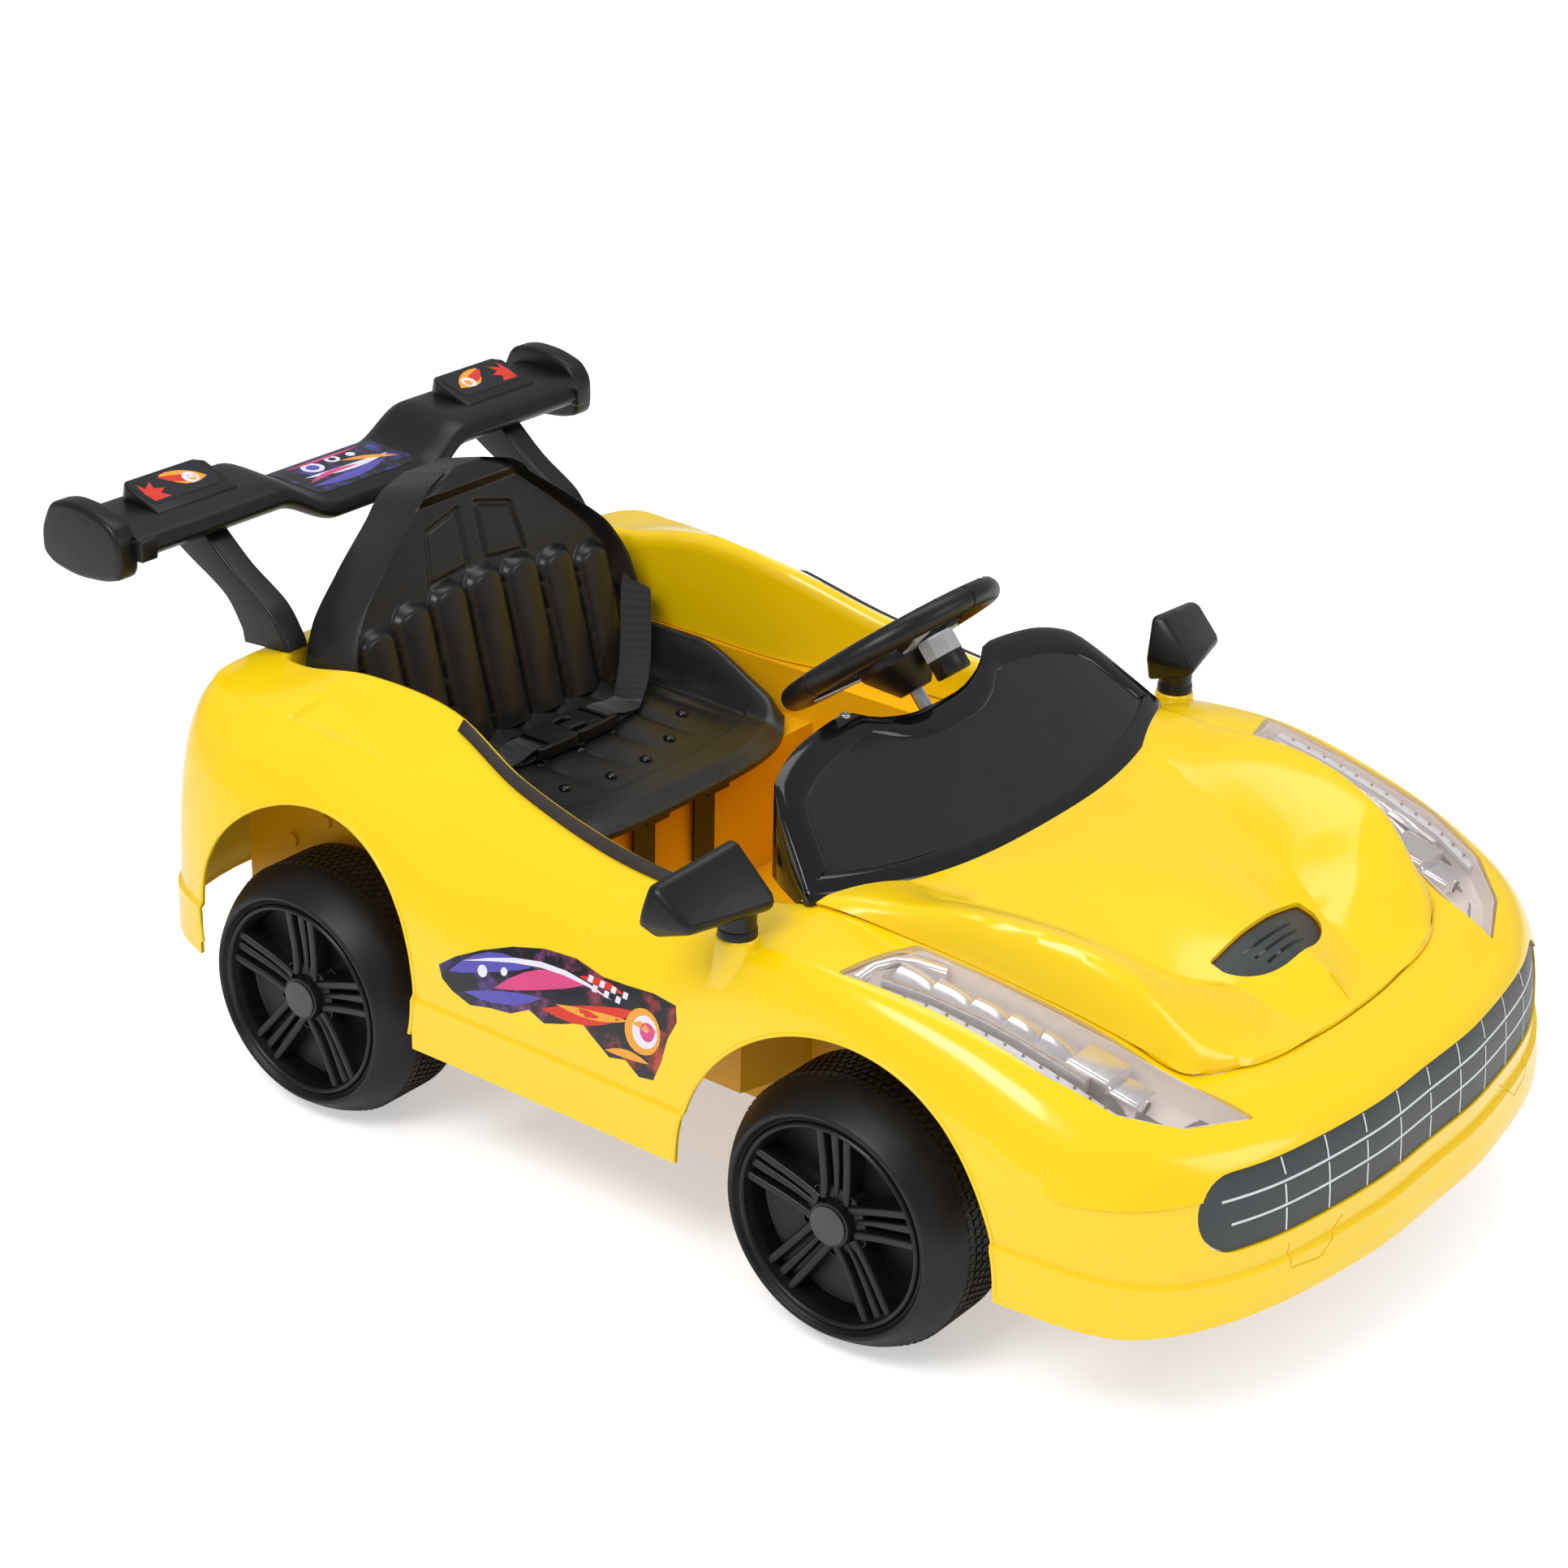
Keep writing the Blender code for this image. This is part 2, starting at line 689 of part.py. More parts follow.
BONNET_STEPS = (8.75, 9.5, 10, 10.5, 11, 11.5, 12, 12.5, 13, 13.5, 14, 15, LAST)
BONNET_ROWS = (0.0, 0.035, 0.075, 0.12, 0.18, 0.26, 0.36, 0.47, 0.6, 0.8, 1.0)


def bonnet_sheet(name, finish, parent):
    lines = []
    for w in BONNET_ROWS:
        line = [bonnet_point(u, w) for u in BONNET_STEPS]
        line[-1][1] = 0.0
        lines.append(line)
    item = sheet(name, lines, finish, parent, split=True, smooth=35)
    mirror_y(item)
    return item


def bonnet_blocks(name, parent):
    """Solids under the rear of the bonnet's two halves, for shaping what rests on it."""
    blocks = []
    for side, sign in sides():
        rows = []
        for u in BONNET_STEPS[:7]:
            half = [bonnet_point(u, w) * (1, sign, 1) + (0, 0, 2.5 * GAP) for w in BONNET_ROWS]
            half[-1][1] = -0.0005 * sign
            rows.append(half)
        blocks.append(panel_block(f"{name}_{side}", rows, lambda p: (p[0], p[1], 0.19),
                                  "gloss_black", parent))
    return blocks


def make_bonnet(parent):
    bonnet = bonnet_sheet("bonnet", "body_yellow", parent)
    solidify(bonnet, SKIN)
    combine(bonnet, prism("scoop_opening", scoop_outline(), "z", 0.18, 0.30,
                          "body_yellow", parent))
    combine(bonnet, column_passage("bonnet_passage", parent))
    insert = bonnet_sheet("bonnet_scoop", "sticker_grey", parent)
    insert.location = (0, 0, -0.001)
    solidify(insert, SKIN)
    combine(insert, prism("scoop_trim", scoop_outline(-0.0004), "z", 0.18, 0.30,
                          "sticker_grey", parent), "INTERSECT")
    return bonnet


def make_grille(parent):
    grille = skin_solid("grille_insert", "sticker_grey", parent)
    grille.location = (-0.0015, 0, 0)
    combine(grille, prism("grille_trim", grille_outline(-0.0004), "x", 0.60, 0.78,
                          "sticker_grey", parent), "INTERSECT")
    return grille


LAMP_DEPTH = 0.030


def make_headlamps(parent):
    """Clear lens flush with the skin, over a chrome bowl with louvres and a projector."""
    for side, sign in sides():
        lens = skin_solid(f"headlight_lens_{side}", "clear_lens", parent)
        combine(lens, prism(f"lens_trim_{side}", lamp_outline(sign, -LAMP_FIT), "z", 0.19, 0.30,
                            "clear_lens", parent), "INTERSECT")
        count = len(LAMP_CORNERS)
        top = [skin_point(u, v) * (1, sign, 1) for u, v in LAMP_CORNERS]
        middle = sum(top) / count
        rings = []
        for scale, drop in ((0.84, SKIN + 0.0019), (0.70, LAMP_DEPTH)):
            rings.append([middle + (p - middle) * (scale, scale, 0.9) - (0, 0, drop)
                          for p in top])
        loft(f"headlight_reflector_{side}", rings, "chrome", parent, smooth=30)


TAIL_LAMP_Y = 0.150
TAIL_LAMP_Z = 0.235
TAIL_LAMP_RADIUS = 0.020


def tail_lamp_form(name, sign, radius, finish, parent):
    return disc(name, radius, -0.20, -0.13, finish, parent, sides=16, axis="x",
                at=(0, sign * TAIL_LAMP_Y, TAIL_LAMP_Z))


def make_tail_lamps(parent):
    """Round red lamps flush in the tail."""
    for side, sign in sides():
        lamp = skin_solid(f"tail_lamp_{side}", "red_lens", parent)
        combine(lamp, tail_lamp_form(f"tail_trim_{side}", sign, TAIL_LAMP_RADIUS - LAMP_FIT,
                                     "red_lens", parent), "INTERSECT")


def tub_ring(x):
    """Closed section of the tub's sheet at x, as (y, z) points."""
    outer = ramp(x, ((0.335, TUB_OUTER_Y), (0.352, TUB_FRONT_Y)))
    inner = ramp(x, ((0.120, 0.1745), (0.124, 0.165), (0.335, 0.165), (0.352, 0.130)))
    top = ramp(x, ((0.335, TUB_TOP), (0.352, 0.205)))
    back = SEAT_BOX_X
    wall = TUB_WALL
    skirt = ramp(x, ((0.270, TUB_BOTTOM), (0.300, 0.108)))
    floor = ramp(x, ((back, SHELF_Z), (back + 0.004, FLOOR_Z), (0.372, FLOOR_Z),
                     (0.405, FRONT_SHELF_Z)))
    under = ramp(x, ((back - wall, SHELF_Z), (back + 0.004 - wall, FLOOR_Z),
                     (0.372 + wall, FLOOR_Z), (0.405 + wall, FRONT_SHELF_Z))) - wall
    face = [(outer, skirt), (outer, top), (inner, top), (inner, floor)]
    hollow = [(inner + wall, under), (inner + wall, top - wall), (outer - wall, top - wall),
              (outer - wall, skirt)]
    right_face = [(-y, z) for y, z in face][::-1]
    right_hollow = [(-y, z) for y, z in hollow][::-1]
    return face + right_face + right_hollow + hollow


def make_tub(parent):
    """Chassis tub: seat shelf, footwell and front shelf between hollow side rails."""
    back = SEAT_BOX_X
    xs = sorted({-0.132, back - TUB_WALL, back, back + 0.004 - TUB_WALL, back + 0.004, 0.120,
                 0.124, 0.270, 0.300, 0.335, 0.352, 0.372, 0.372 + TUB_WALL, 0.405, 0.405 + TUB_WALL, 0.600})
    rings = [[(x, y, z) for y, z in tub_ring(x)] for x in xs]
    tub = loft("floor_tub", rings, "tub_orange", parent, smooth=30)
    bore = AXLE_RADIUS + GAP
    for name, low, high, radius in (("axle_hole_right", -0.22, -0.19, bore),
                                    ("axle_hole_left", 0.19, 0.22, BOSS_RADIUS + GAP)):
        combine(tub, disc(name, radius + 0.0002, low, high, "tub_orange", parent, sides=20,
                          at=(0, 0, WHEEL_RADIUS)))
    for side, sign in sides():
        low, high = sorted((sign * 0.120, sign * 0.170))
        combine(tub, box(f"tie_rod_window_{side}", (0.499, low, 0.134), (0.527, high, 0.160),
                         "tub_orange", parent))
    hole = disc("column_hole", SHAFT_RADIUS + 0.0055, -0.03, 0.03, "tub_orange", parent,
                axis="z", at=shelf_crossing())
    hole.rotation_euler = (0, -(math.pi / 2 - COLUMN_TILT), 0)
    combine(tub, hole)
    for side, sign in sides():
        low, high = sorted((sign * (TUB_OUTER_Y - 0.001), sign * (TUB_OUTER_Y + 0.003)))
        for k, (x, z) in enumerate(((-0.085, 0.165), (-0.050, 0.190), (0.060, 0.190))):
            combine(tub, disc(f"screw_head_{side}_{k}", 0.005, low, high, "tub_orange", parent,
                              sides=8, at=(x, 0, z)), "UNION")
    return tub


BOSS_RADIUS = 0.018


def column_point(distance):
    """Point on the steering column, measured down from the wheel's middle."""
    x, y, z = WHEEL_CENTRE
    return (x + distance * math.cos(COLUMN_TILT), y, z - distance * math.sin(COLUMN_TILT))


def shelf_crossing():
    distance = (WHEEL_CENTRE[2] - FRONT_SHELF_Z) / math.sin(COLUMN_TILT)
    return column_point(distance)


def screen_front(y, inset=0.0):
    """Bowed lower edge of the windscreen hood in plan."""
    return SCREEN_FRONT_X - inset - 0.66 * y * y - 8.87 * y**4


def screen_rear(y, inset=0.0):
    """Upper edge of the hood in plan, with its cut-out round the column."""
    return inset + ramp(abs(y), ((0.022, 0.338), (0.060, 0.330), (0.084, 0.319),
                                 (0.128, 0.3215), (0.172, 0.3315), (SCREEN_HALF, 0.387)))


def screen_height(x, y):
    rise = SCREEN_SLOPE + 2.0 * y * y
    return SCREEN_FRONT_Z + 0.22 * y * y + rise * (screen_front(y) - x)


def screen_grid(inset, lift):
    """Rows of points over the sloping top of the hood, shrunk by inset."""
    half = (0.0, 0.022, 0.060, 0.084, 0.128, 0.172, SCREEN_HALF)
    ys = sorted({math.copysign(y, s) for y in half for s in (-1, 1)})
    scale = (SCREEN_HALF - inset) / SCREEN_HALF
    rows = []
    for y in (v * scale for v in ys):
        front = screen_front(y, inset)
        rear = min(screen_rear(y / scale, 1.15 * inset), front - 0.002)
        rows.append([np.array((x, y, screen_height(x, y) + lift))
                     for x in np.linspace(rear, front, 3)])
    return rows


def screen_block(name, inset, lift, level, finish, parent):
    rows = screen_grid(inset, lift)
    return panel_block(name, rows, lambda p: (p[0], p[1], level), finish, parent, smooth=30)


def make_windscreen(parent):
    """Hollow black hood with a sunken panel, seated on the bonnet and the rims."""
    hood = screen_block("windshield", 0.0, 0.0, 0.262, "gloss_black", parent)
    combine(hood, screen_block("hood_hollow", SCREEN_WALL, -SCREEN_RECESS - SCREEN_WALL, 0.20,
                               "gloss_black", parent))
    combine(hood, screen_block("hood_pocket", SCREEN_FRAME, -SCREEN_RECESS, 0.42,
                               "gloss_black", parent))
    for block in bonnet_blocks("bonnet_under_hood", parent):
        combine(hood, block)
    for side, sign in sides():
        rim = []
        for u in np.linspace(7.4, 9.6, 8):
            edge = guides(u)[2] * (1, sign, 1)
            shoulder = guides(u)[1] * (1, sign, 1)
            inner = inward(u) * (1, sign, 1)
            rim.append([shoulder + (0, 0, 0.0006), edge + (0, 0, 0.0006),
                        edge + inner * 0.0108 - (0, 0, 0.003),
                        edge + inner * 0.0112 - (0, 0, 0.06), shoulder - (0, 0, 0.06)])
        combine(hood, loft(f"rim_under_hood_{side}", rim, "gloss_black", parent))
    combine(hood, column_passage("hood_passage", parent))
    slab("windshield_panel", screen_grid(SCREEN_FRAME + 0.0006, -0.0018), 0.0015,
         "gloss_black", parent, smooth=20)
    return hood


TRIM_FROM = 5.15
TRIM_TO = 7.95
TRIM_WIDTH = 0.010
TRIM_THICK = 0.002


def make_sill_trims(parent):
    """Dark strips that follow the cockpit rim."""
    for side, sign in sides():
        rings = []
        for u in np.linspace(TRIM_FROM, TRIM_TO, 13):
            shoulder, rim = guides(u)[1:3]
            across = (shoulder - rim) / np.linalg.norm(shoulder - rim)
            along = np.array((1.0, 0, 0))
            up = np.cross(across, along)
            up = up * (1 if up[2] > 0 else -1) / np.linalg.norm(up)
            base = rim + up * 0.0008
            ring = [base, base + across * TRIM_WIDTH,
                    base + across * TRIM_WIDTH + up * TRIM_THICK, base + up * TRIM_THICK]
            rings.append([p * (1, sign, 1) for p in ring])
        loft(f"sill_trim_{side}", rings, "satin_black", parent, smooth=50)


def back_half_width(part):
    """Half width of the seat back, at a part (0 to 1) of its height."""
    return curve_through(((0.0, 0.150), (0.146, 0.158), (0.283, 0.163), (0.432, 0.159),
                          (0.583, 0.144), (0.737, 0.109), (0.878, 0.070), (0.961, 0.048),
                          (1.0, 0.022)), part)


def back_relief(y, h, share):
    """Front relief of the seat back: upright ribs, raised border and side bolsters."""
    pillow_top = 0.575 * BACK_HEIGHT - 0.9 * y * y
    inside = smoothstep((0.142 - abs(y)) / 0.012)
    rib = abs(math.cos(math.pi * y / RIB_PITCH)) ** 0.6
    fade = smoothstep((pillow_top - h) / 0.014)
    border = smoothstep((abs(share) - 0.84) / 0.14)
    return RIB_HEIGHT * rib * fade * inside + 0.010 * border


def seat_front(y):
    """Bowed front edge of the seat pan."""
    return SEAT_FRONT_X - 60.0 * y**4


def make_seat(parent):
    """Blow-moulded bucket seat: ribbed back joined to a fluted pan with side bolsters."""
    lean = np.array((-math.sin(SEAT_LEAN), 0, math.cos(SEAT_LEAN)))
    facing = np.array((math.cos(SEAT_LEAN), 0, math.sin(SEAT_LEAN)))
    foot = np.array((SEAT_FOOT_X, 0, SEAT_PAN_Z - 0.0035))
    rows = []
    for part in (0.0, 0.146, 0.293, 0.439, 0.512, 0.585, 0.707, 0.805, 0.893, 0.961, 1.0):
        h = part * BACK_HEIGHT
        half = back_half_width(part)
        row = []
        for share in np.linspace(-1, 1, 29):
            y = share * half
            relief = back_relief(y, h, share)
            roll = 0.012 * smoothstep((abs(share) - 0.93) / 0.07)
            row.append(foot + lean * h + np.array((0, y, 0)) + facing * (relief - roll))
        rows.append(row)

    def behind(point):
        depth = float(np.dot(np.array(point) - foot, facing))
        return np.array(point) - facing * (depth + BACK_THICKNESS)

    upright = panel_block("seat_back_form", rows, behind, "satin_black", parent, smooth=50)
    rows = []
    back = SEAT_FOOT_X - 0.022
    for along in (0.0, 0.22, 0.34, 0.49, 0.62, 0.76, 0.84, 0.93, 1.0):
        row = []
        for share in np.linspace(-1, 1, 27):
            y = share * (SEAT_HALF_WIDTH - 0.012 * smoothstep((along - 0.5) / 0.5))
            x = back + along * (seat_front(y) - back)
            flute = abs(math.sin(math.pi * y / RIB_PITCH)) ** 0.7
            fade = smoothstep((0.80 - along) / 0.25) * smoothstep((0.135 - abs(y)) / 0.01)
            bolster = smoothstep((abs(share) - 0.80) / 0.14)
            high = 0.036 * ramp(along, ((0.45, 1.0), (0.85, 0.45), (1.0, 0.15)))
            edge = 0.010 * smoothstep((abs(share) - 0.96) / 0.04)
            fall = 0.006 * smoothstep((along - 0.88) / 0.12)
            z = SEAT_PAN_Z - 0.006 + 0.005 * flute * fade + high * bolster - edge - fall
            row.append(np.array((x, y, z)))
        rows.append(row)

    def below(point):
        return np.array((point[0], point[1], SHELF_Z + GAP))

    seat = panel_block("seat", rows, below, "satin_black", parent, smooth=50)
    combine(seat, upright, "UNION")
    return seat


BRACKET_Y = 0.035


def make_seat_brackets(parent):
    """Bent steel straps that hold the seat's front edge down to the seat box."""
    front = SEAT_BOX_X + 0.004 + GAP
    for side, sign in sides():
        outline = ((front, 0.120), (front + 0.002, 0.120), (front + 0.002, SHELF_Z - 0.004),
                   (SEAT_FRONT_X - 0.002, SHELF_Z - 0.004), (SEAT_FRONT_X - 0.002, SHELF_Z),
                   (front, SHELF_Z))
        low, high = sorted((sign * (BRACKET_Y - 0.012), sign * (BRACKET_Y + 0.012)))
        flat = [(x, z) for x, z in outline]
        prism(f"seat_bracket_{side}", flat, "y", low, high, "satin_black", parent)


def wing_section(y):
    """Closed section of the wing as (x, z) at one place across the car."""
    dip = WING_DIP * (1 - smoothstep((abs(y) - 0.050) / 0.052))
    top = WING_TOP_Z - dip
    under = WING_THICK - 0.15 * dip
    front = WING_FRONT_X + 0.25 * dip
    rear = WING_FRONT_X - WING_CHORD
    return ((front, top - 0.014), (front - 0.006, top - 0.004), (front - 0.020, top),
            (rear + 0.012, top + 0.002), (rear, top - 0.004), (rear + 0.002, top - 0.014),
            (rear + 0.020, top - under + 0.004), (front - 0.008, top - under))


def make_wing(parent):
    """Blow-moulded rear wing with a dipped middle, two raised pads and end plates."""
    ys = (-WING_HALF_SPAN, -0.17, -0.102, -0.085, -0.067, -0.050, 0.0,
          0.050, 0.067, 0.085, 0.102, 0.17, WING_HALF_SPAN)
    rings = [[(x, y, z) for x, z in wing_section(y)] for y in ys]
    wing = loft("spoiler_wing", rings, "satin_black", parent, smooth=40)
    for side, sign in sides():
        low, high = 0.125, 0.204
        outline = ((-0.262, low + 0.006), (-0.262, high - 0.006), (-0.254, high),
                   (-0.214, high), (-0.214, low), (-0.254, low))
        pad = [[(x, sign * y, WING_TOP_Z - 0.006) for x, y in outline],
               [(x + 0.004 if x < -0.22 else x, sign * y, WING_TOP_Z + (0.0135 if x < -0.22 else 0.001))
                for x, y in outline]]
        combine(wing, loft(f"wing_pad_{side}", pad, "satin_black", parent), "UNION")
        plate = ((-0.283, 0.374), (-0.283, 0.355), (-0.272, 0.347), (-0.247, 0.343),
                 (-0.217, 0.346), (-0.199, 0.352), (-0.199, 0.380), (-0.209, 0.393),
                 (-0.231, 0.399), (-0.255, 0.400), (-0.273, 0.395))
        low, high = sorted((sign * (WING_HALF_SPAN - 0.004), sign * (WING_HALF_SPAN + 0.016)))
        end = prism(f"end_plate_{side}", plate, "y", low, high, "satin_black", parent)
        low, high = sorted((sign * (WING_HALF_SPAN - 0.014), sign * (WING_HALF_SPAN + 0.004)))
        block = box(f"wing_end_{side}", (-0.208, low, 0.364), (-0.190, high, 0.380),
                    "satin_black", parent)
        combine(wing, block, "UNION")
        combine(wing, end, "UNION")
    return wing


def deck_table():
    """Places over the tail deck, for finding the height of its skin."""
    return np.array([skin_point(u, v) for u in np.linspace(0, 3, 61)
                     for v in np.linspace(0.8, 2, 41)])


def make_struts(parent):
    """Curved posts from the rear deck up to the wing."""
    deck = deck_table()

    def seated(point, sign):
        away = np.hypot(deck[:, 0] - point[0], deck[:, 1] - sign * point[1])
        return (point[0], point[1], max(deck[int(away.argmin())][2] + STRUT_SEAT, 0.2885))

    count = 6
    for side, sign in sides():
        rings = []
        for k in range(count):
            t = k / (count - 1)
            x_front = curve_through(((0, -0.120), (0.35, -0.137), (0.7, -0.175), (1, -0.200)), t)
            chord = curve_through(((0, 0.047), (0.5, 0.046), (1, 0.056)), t)
            z = 0.2950 + (WING_TOP_Z - WING_THICK - 0.2955) * t
            half = STRUT_WIDTH / 2
            rings.append([(x_front, sign * STRUT_Y - half + 0.003, z),
                          (x_front, sign * STRUT_Y + half - 0.003, z),
                          (x_front - 0.004, sign * STRUT_Y + half, z),
                          (x_front - chord, sign * STRUT_Y + half, z),
                          (x_front - chord, sign * STRUT_Y - half, z),
                          (x_front - 0.004, sign * STRUT_Y - half, z)])
        rings[0] = [seated(point, sign) for point in rings[0]]
        loft(f"spoiler_strut_{side}", rings, "satin_black", parent, smooth=40)


def make_steering_wheel(parent):
    """Ring, three spokes and hub, with its own axis along the column."""
    hub = empty("steering_axis", WHEEL_CENTRE, parent)
    hub.rotation_euler = (0, -(math.pi / 2 - COLUMN_TILT), 0)
    ring_sides = 7
    profile = [(RING_RADIUS + RING_TUBE * math.cos(a), RING_TUBE * math.sin(a))
               for a in np.linspace(0, 2 * math.pi, ring_sides, endpoint=False)]
    wheel = lathe("steering_wheel", profile, "satin_black", hub, sides=26, axis="z", smooth=80)
    core = lathe("wheel_hub", [(0.012, -0.036), (0.020, -0.026), (0.030, -0.014),
                               (0.030, -0.004), (0.026, 0.001), (0.0095, 0.001),
                               (0.0095, -0.006), (0.0058, -0.006), (0.0058, -0.036)],
                 "satin_black", hub, sides=20, axis="z")
    combine(wheel, core, "UNION")
    for k, angle in enumerate((90, 210, 330)):
        turn = Matrix.Rotation(math.radians(angle), 3, "Z")
        outline = ((0.020, -0.010), (0.072, -0.006), (0.072, 0.006), (0.020, 0.010))
        rings = []
        for level in (-0.011, -0.004):
            rings.append([tuple(turn @ Vector((x, y, level + 0.08 * (x - 0.02))))
                          for x, y in outline])
        combine(wheel, loft(f"wheel_spoke_{k}", rings, "satin_black", hub), "UNION")
    horn = lathe("horn_button", [(0.0090, -0.0035), (0.0090, 0.0030), (0.0070, 0.0045)],
                 "silver_plastic", hub, sides=16, axis="z", closed_profile=False)
    box_outline = [(0.038 + 0.013 * math.cos(a), 0.015 * math.sin(a))
                   for a in np.linspace(math.pi / 8, 2 * math.pi + math.pi / 8, 8, endpoint=False)]
    sound = prism("sound_box_form", box_outline, "z", -0.040, -0.012, "satin_black", hub)
    combine(wheel, sound, "UNION")
    return hub, horn


CRANK_RADIUS = ARM_LENGTH * math.sin(KNUCKLE_LIMIT) / math.sin(STEER_LIMIT)
TIE_ROD_X = WHEELBASE + ARM_LENGTH


def make_steering_shaft(hub):
    """Bent steel rod: down the column, out along the crank and on along its pin."""
    drop = (TIE_ROD_X - CRANK_RADIUS * math.sin(COLUMN_TILT) - WHEEL_CENTRE[0])
    length = drop / math.cos(COLUMN_TILT)
    top = -0.0075
    bend = 0.006
    points = [(0, 0, top), (0, 0, -length + bend), (0.3 * bend, 0, -length + 0.3 * bend),
              (bend, 0, -length), (CRANK_RADIUS - bend, 0, -length),
              (CRANK_RADIUS - 0.3 * bend, 0, -length - 0.3 * bend),
              (CRANK_RADIUS, 0, -length - bend), (CRANK_RADIUS, 0, -length - 0.028)]
    return tube("steering_shaft", points, SHAFT_RADIUS, "zinc_steel", hub)


def make_column_bush(parent):
    """Plastic bush that guides the column through the front shelf."""
    spot = shelf_crossing()
    bore = SHAFT_RADIUS + 0.0006
    bush = lathe("column_bush", [(bore, -0.012), (SHAFT_RADIUS + 0.005, -0.012),
                                 (SHAFT_RADIUS + 0.005, 0.012), (bore, 0.012)],
                 "grey_plastic", parent, sides=16, axis="z", at=spot)
    bush.rotation_euler = (0, -(math.pi / 2 - COLUMN_TILT), 0)
    return bush


def make_front_suspension(parent):
    """Kingpin brackets on the tub, steering knuckles, and the tie rod between them."""
    face = FRONT_FACE_Y - WHEEL_WIDTH
    tie_low = TIE_ROD_Z - TIE_ROD_THICK / 2
    tie_high = TIE_ROD_Z + TIE_ROD_THICK / 2
    for side, sign in sides():
        bore = AXLE_RADIUS + GAP
        bracket = lathe(f"kingpin_bracket_{side}",
                        [(bore, 0.156), (0.011, 0.156), (0.011, 0.180), (bore, 0.180)],
                        "grey_plastic", parent, sides=16, axis="z",
                        at=(WHEELBASE, sign * KINGPIN_Y, 0))
        low, high = sorted((sign * (TUB_FRONT_Y + GAP), sign * (KINGPIN_Y - 0.008)))
        arm = box(f"bracket_arm_{side}", (WHEELBASE - 0.012, low, 0.158),
                  (WHEELBASE + 0.012, high, 0.178), "grey_plastic", parent)
        combine(bracket, arm, "UNION")
        pin = empty(f"kingpin_axis_{side}", (WHEELBASE, sign * KINGPIN_Y, 0), parent)
        z = WHEEL_RADIUS
        stub = FRONT_FACE_Y - KINGPIN_Y - 0.008
        points = [(0, 0, KINGPIN_TOP), (0, 0, z + 0.012), (0, sign * 0.0035, z + 0.0035),
                  (0, sign * 0.012, z), (0, sign * stub, z)]
        knuckle = tube(f"steering_knuckle_{side}", points, AXLE_RADIUS, "zinc_steel", pin)
        arm_plate = ((-0.009, -0.009), (ARM_LENGTH + 0.006, -0.006),
                     (ARM_LENGTH + 0.006, 0.006), (-0.009, 0.009))
        plate = prism(f"steering_arm_{side}", arm_plate, "z", tie_low - 0.0045,
                      tie_low - GAP, "zinc_steel", pin)
        combine(knuckle, plate, "UNION")
        stem = disc(f"arm_pin_{side}", PIN_RADIUS, tie_low - 0.003, tie_high + 0.004,
                    "zinc_steel", pin, sides=10, axis="z", at=(ARM_LENGTH, 0, 0))
        combine(knuckle, stem, "UNION")
        low, high = sorted((sign * (face - KINGPIN_Y - 0.006), sign * (face - KINGPIN_Y - GAP)))
        collar = disc(f"axle_collar_{side}", 0.0085, low, high, "zinc_steel", pin,
                      sides=12, at=(0, 0, z))
        combine(knuckle, collar, "UNION")
    slot_x = ARM_LENGTH * (1 - math.cos(KNUCKLE_LIMIT)) + PIN_RADIUS + 0.0006
    slot_y = PIN_RADIUS + 0.0006
    half = KINGPIN_Y + 0.010
    rod = box("tie_rod", (TIE_ROD_X - 0.010, -half, tie_low), (TIE_ROD_X + 0.010, half, tie_high),
              "zinc_steel", parent)
    for side, sign in sides():
        y = sign * KINGPIN_Y
        hole = box(f"tie_rod_slot_{side}", (TIE_ROD_X - slot_x, y - slot_y, 0.13),
                   (TIE_ROD_X + PIN_RADIUS + 0.0006, y + slot_y, 0.17), "zinc_steel", parent)
        combine(rod, hole)
    return rod


def make_tie_fork(parent, rod):
    """Two fingers under the tie rod that the crank pin moves between."""
    clearance = SHAFT_RADIUS + 0.0014
    tie_low = TIE_ROD_Z - TIE_ROD_THICK / 2
    block = box("fork_block", (TIE_ROD_X + 0.006, -0.013, tie_low - 0.033),
                (TIE_ROD_X + 0.030, 0.013, tie_high_level() + 0.004), "zinc_steel", parent)
    fork_gap = box("fork_gap", (TIE_ROD_X - 0.030, -clearance, tie_low - 0.04),
                   (TIE_ROD_X + 0.025, clearance, tie_high_level() + 0.01), "zinc_steel", parent)
    combine(rod, block, "UNION")
    combine(rod, fork_gap)


def tie_high_level():
    return TIE_ROD_Z + TIE_ROD_THICK / 2


def rim_bars():
    """Five pairs of raised bars from the hub to the rim, as vertices and faces."""
    verts = []
    faces = []
    for pair in range(SPOKE_PAIRS):
        turn = 2 * math.pi * pair / SPOKE_PAIRS + math.pi / 2
        for lean in (-1, 1):
            inner, outer = HUB_RADIUS - 0.003, RIM_RADIUS - 0.004
            a0, a1 = lean * 0.0046, lean * 0.0095
            corners = []
            for level, half in ((0.054, 0.0036), (0.0685, 0.0020)):
                for radius, across in ((inner, a0), (outer, a1)):
                    for edge in (-half, half):
                        x, z = radius, across + edge
                        corners.append((x * math.cos(turn) - z * math.sin(turn), level,
                                        x * math.sin(turn) + z * math.cos(turn)))
            start = len(verts)
            verts += corners
            quads = ((0, 1, 3, 2), (4, 6, 7, 5), (0, 4, 5, 1), (2, 3, 7, 6), (0, 2, 6, 4),
                     (1, 5, 7, 3))
            faces += [tuple(start + i for i in q) for q in quads]
    return verts, faces


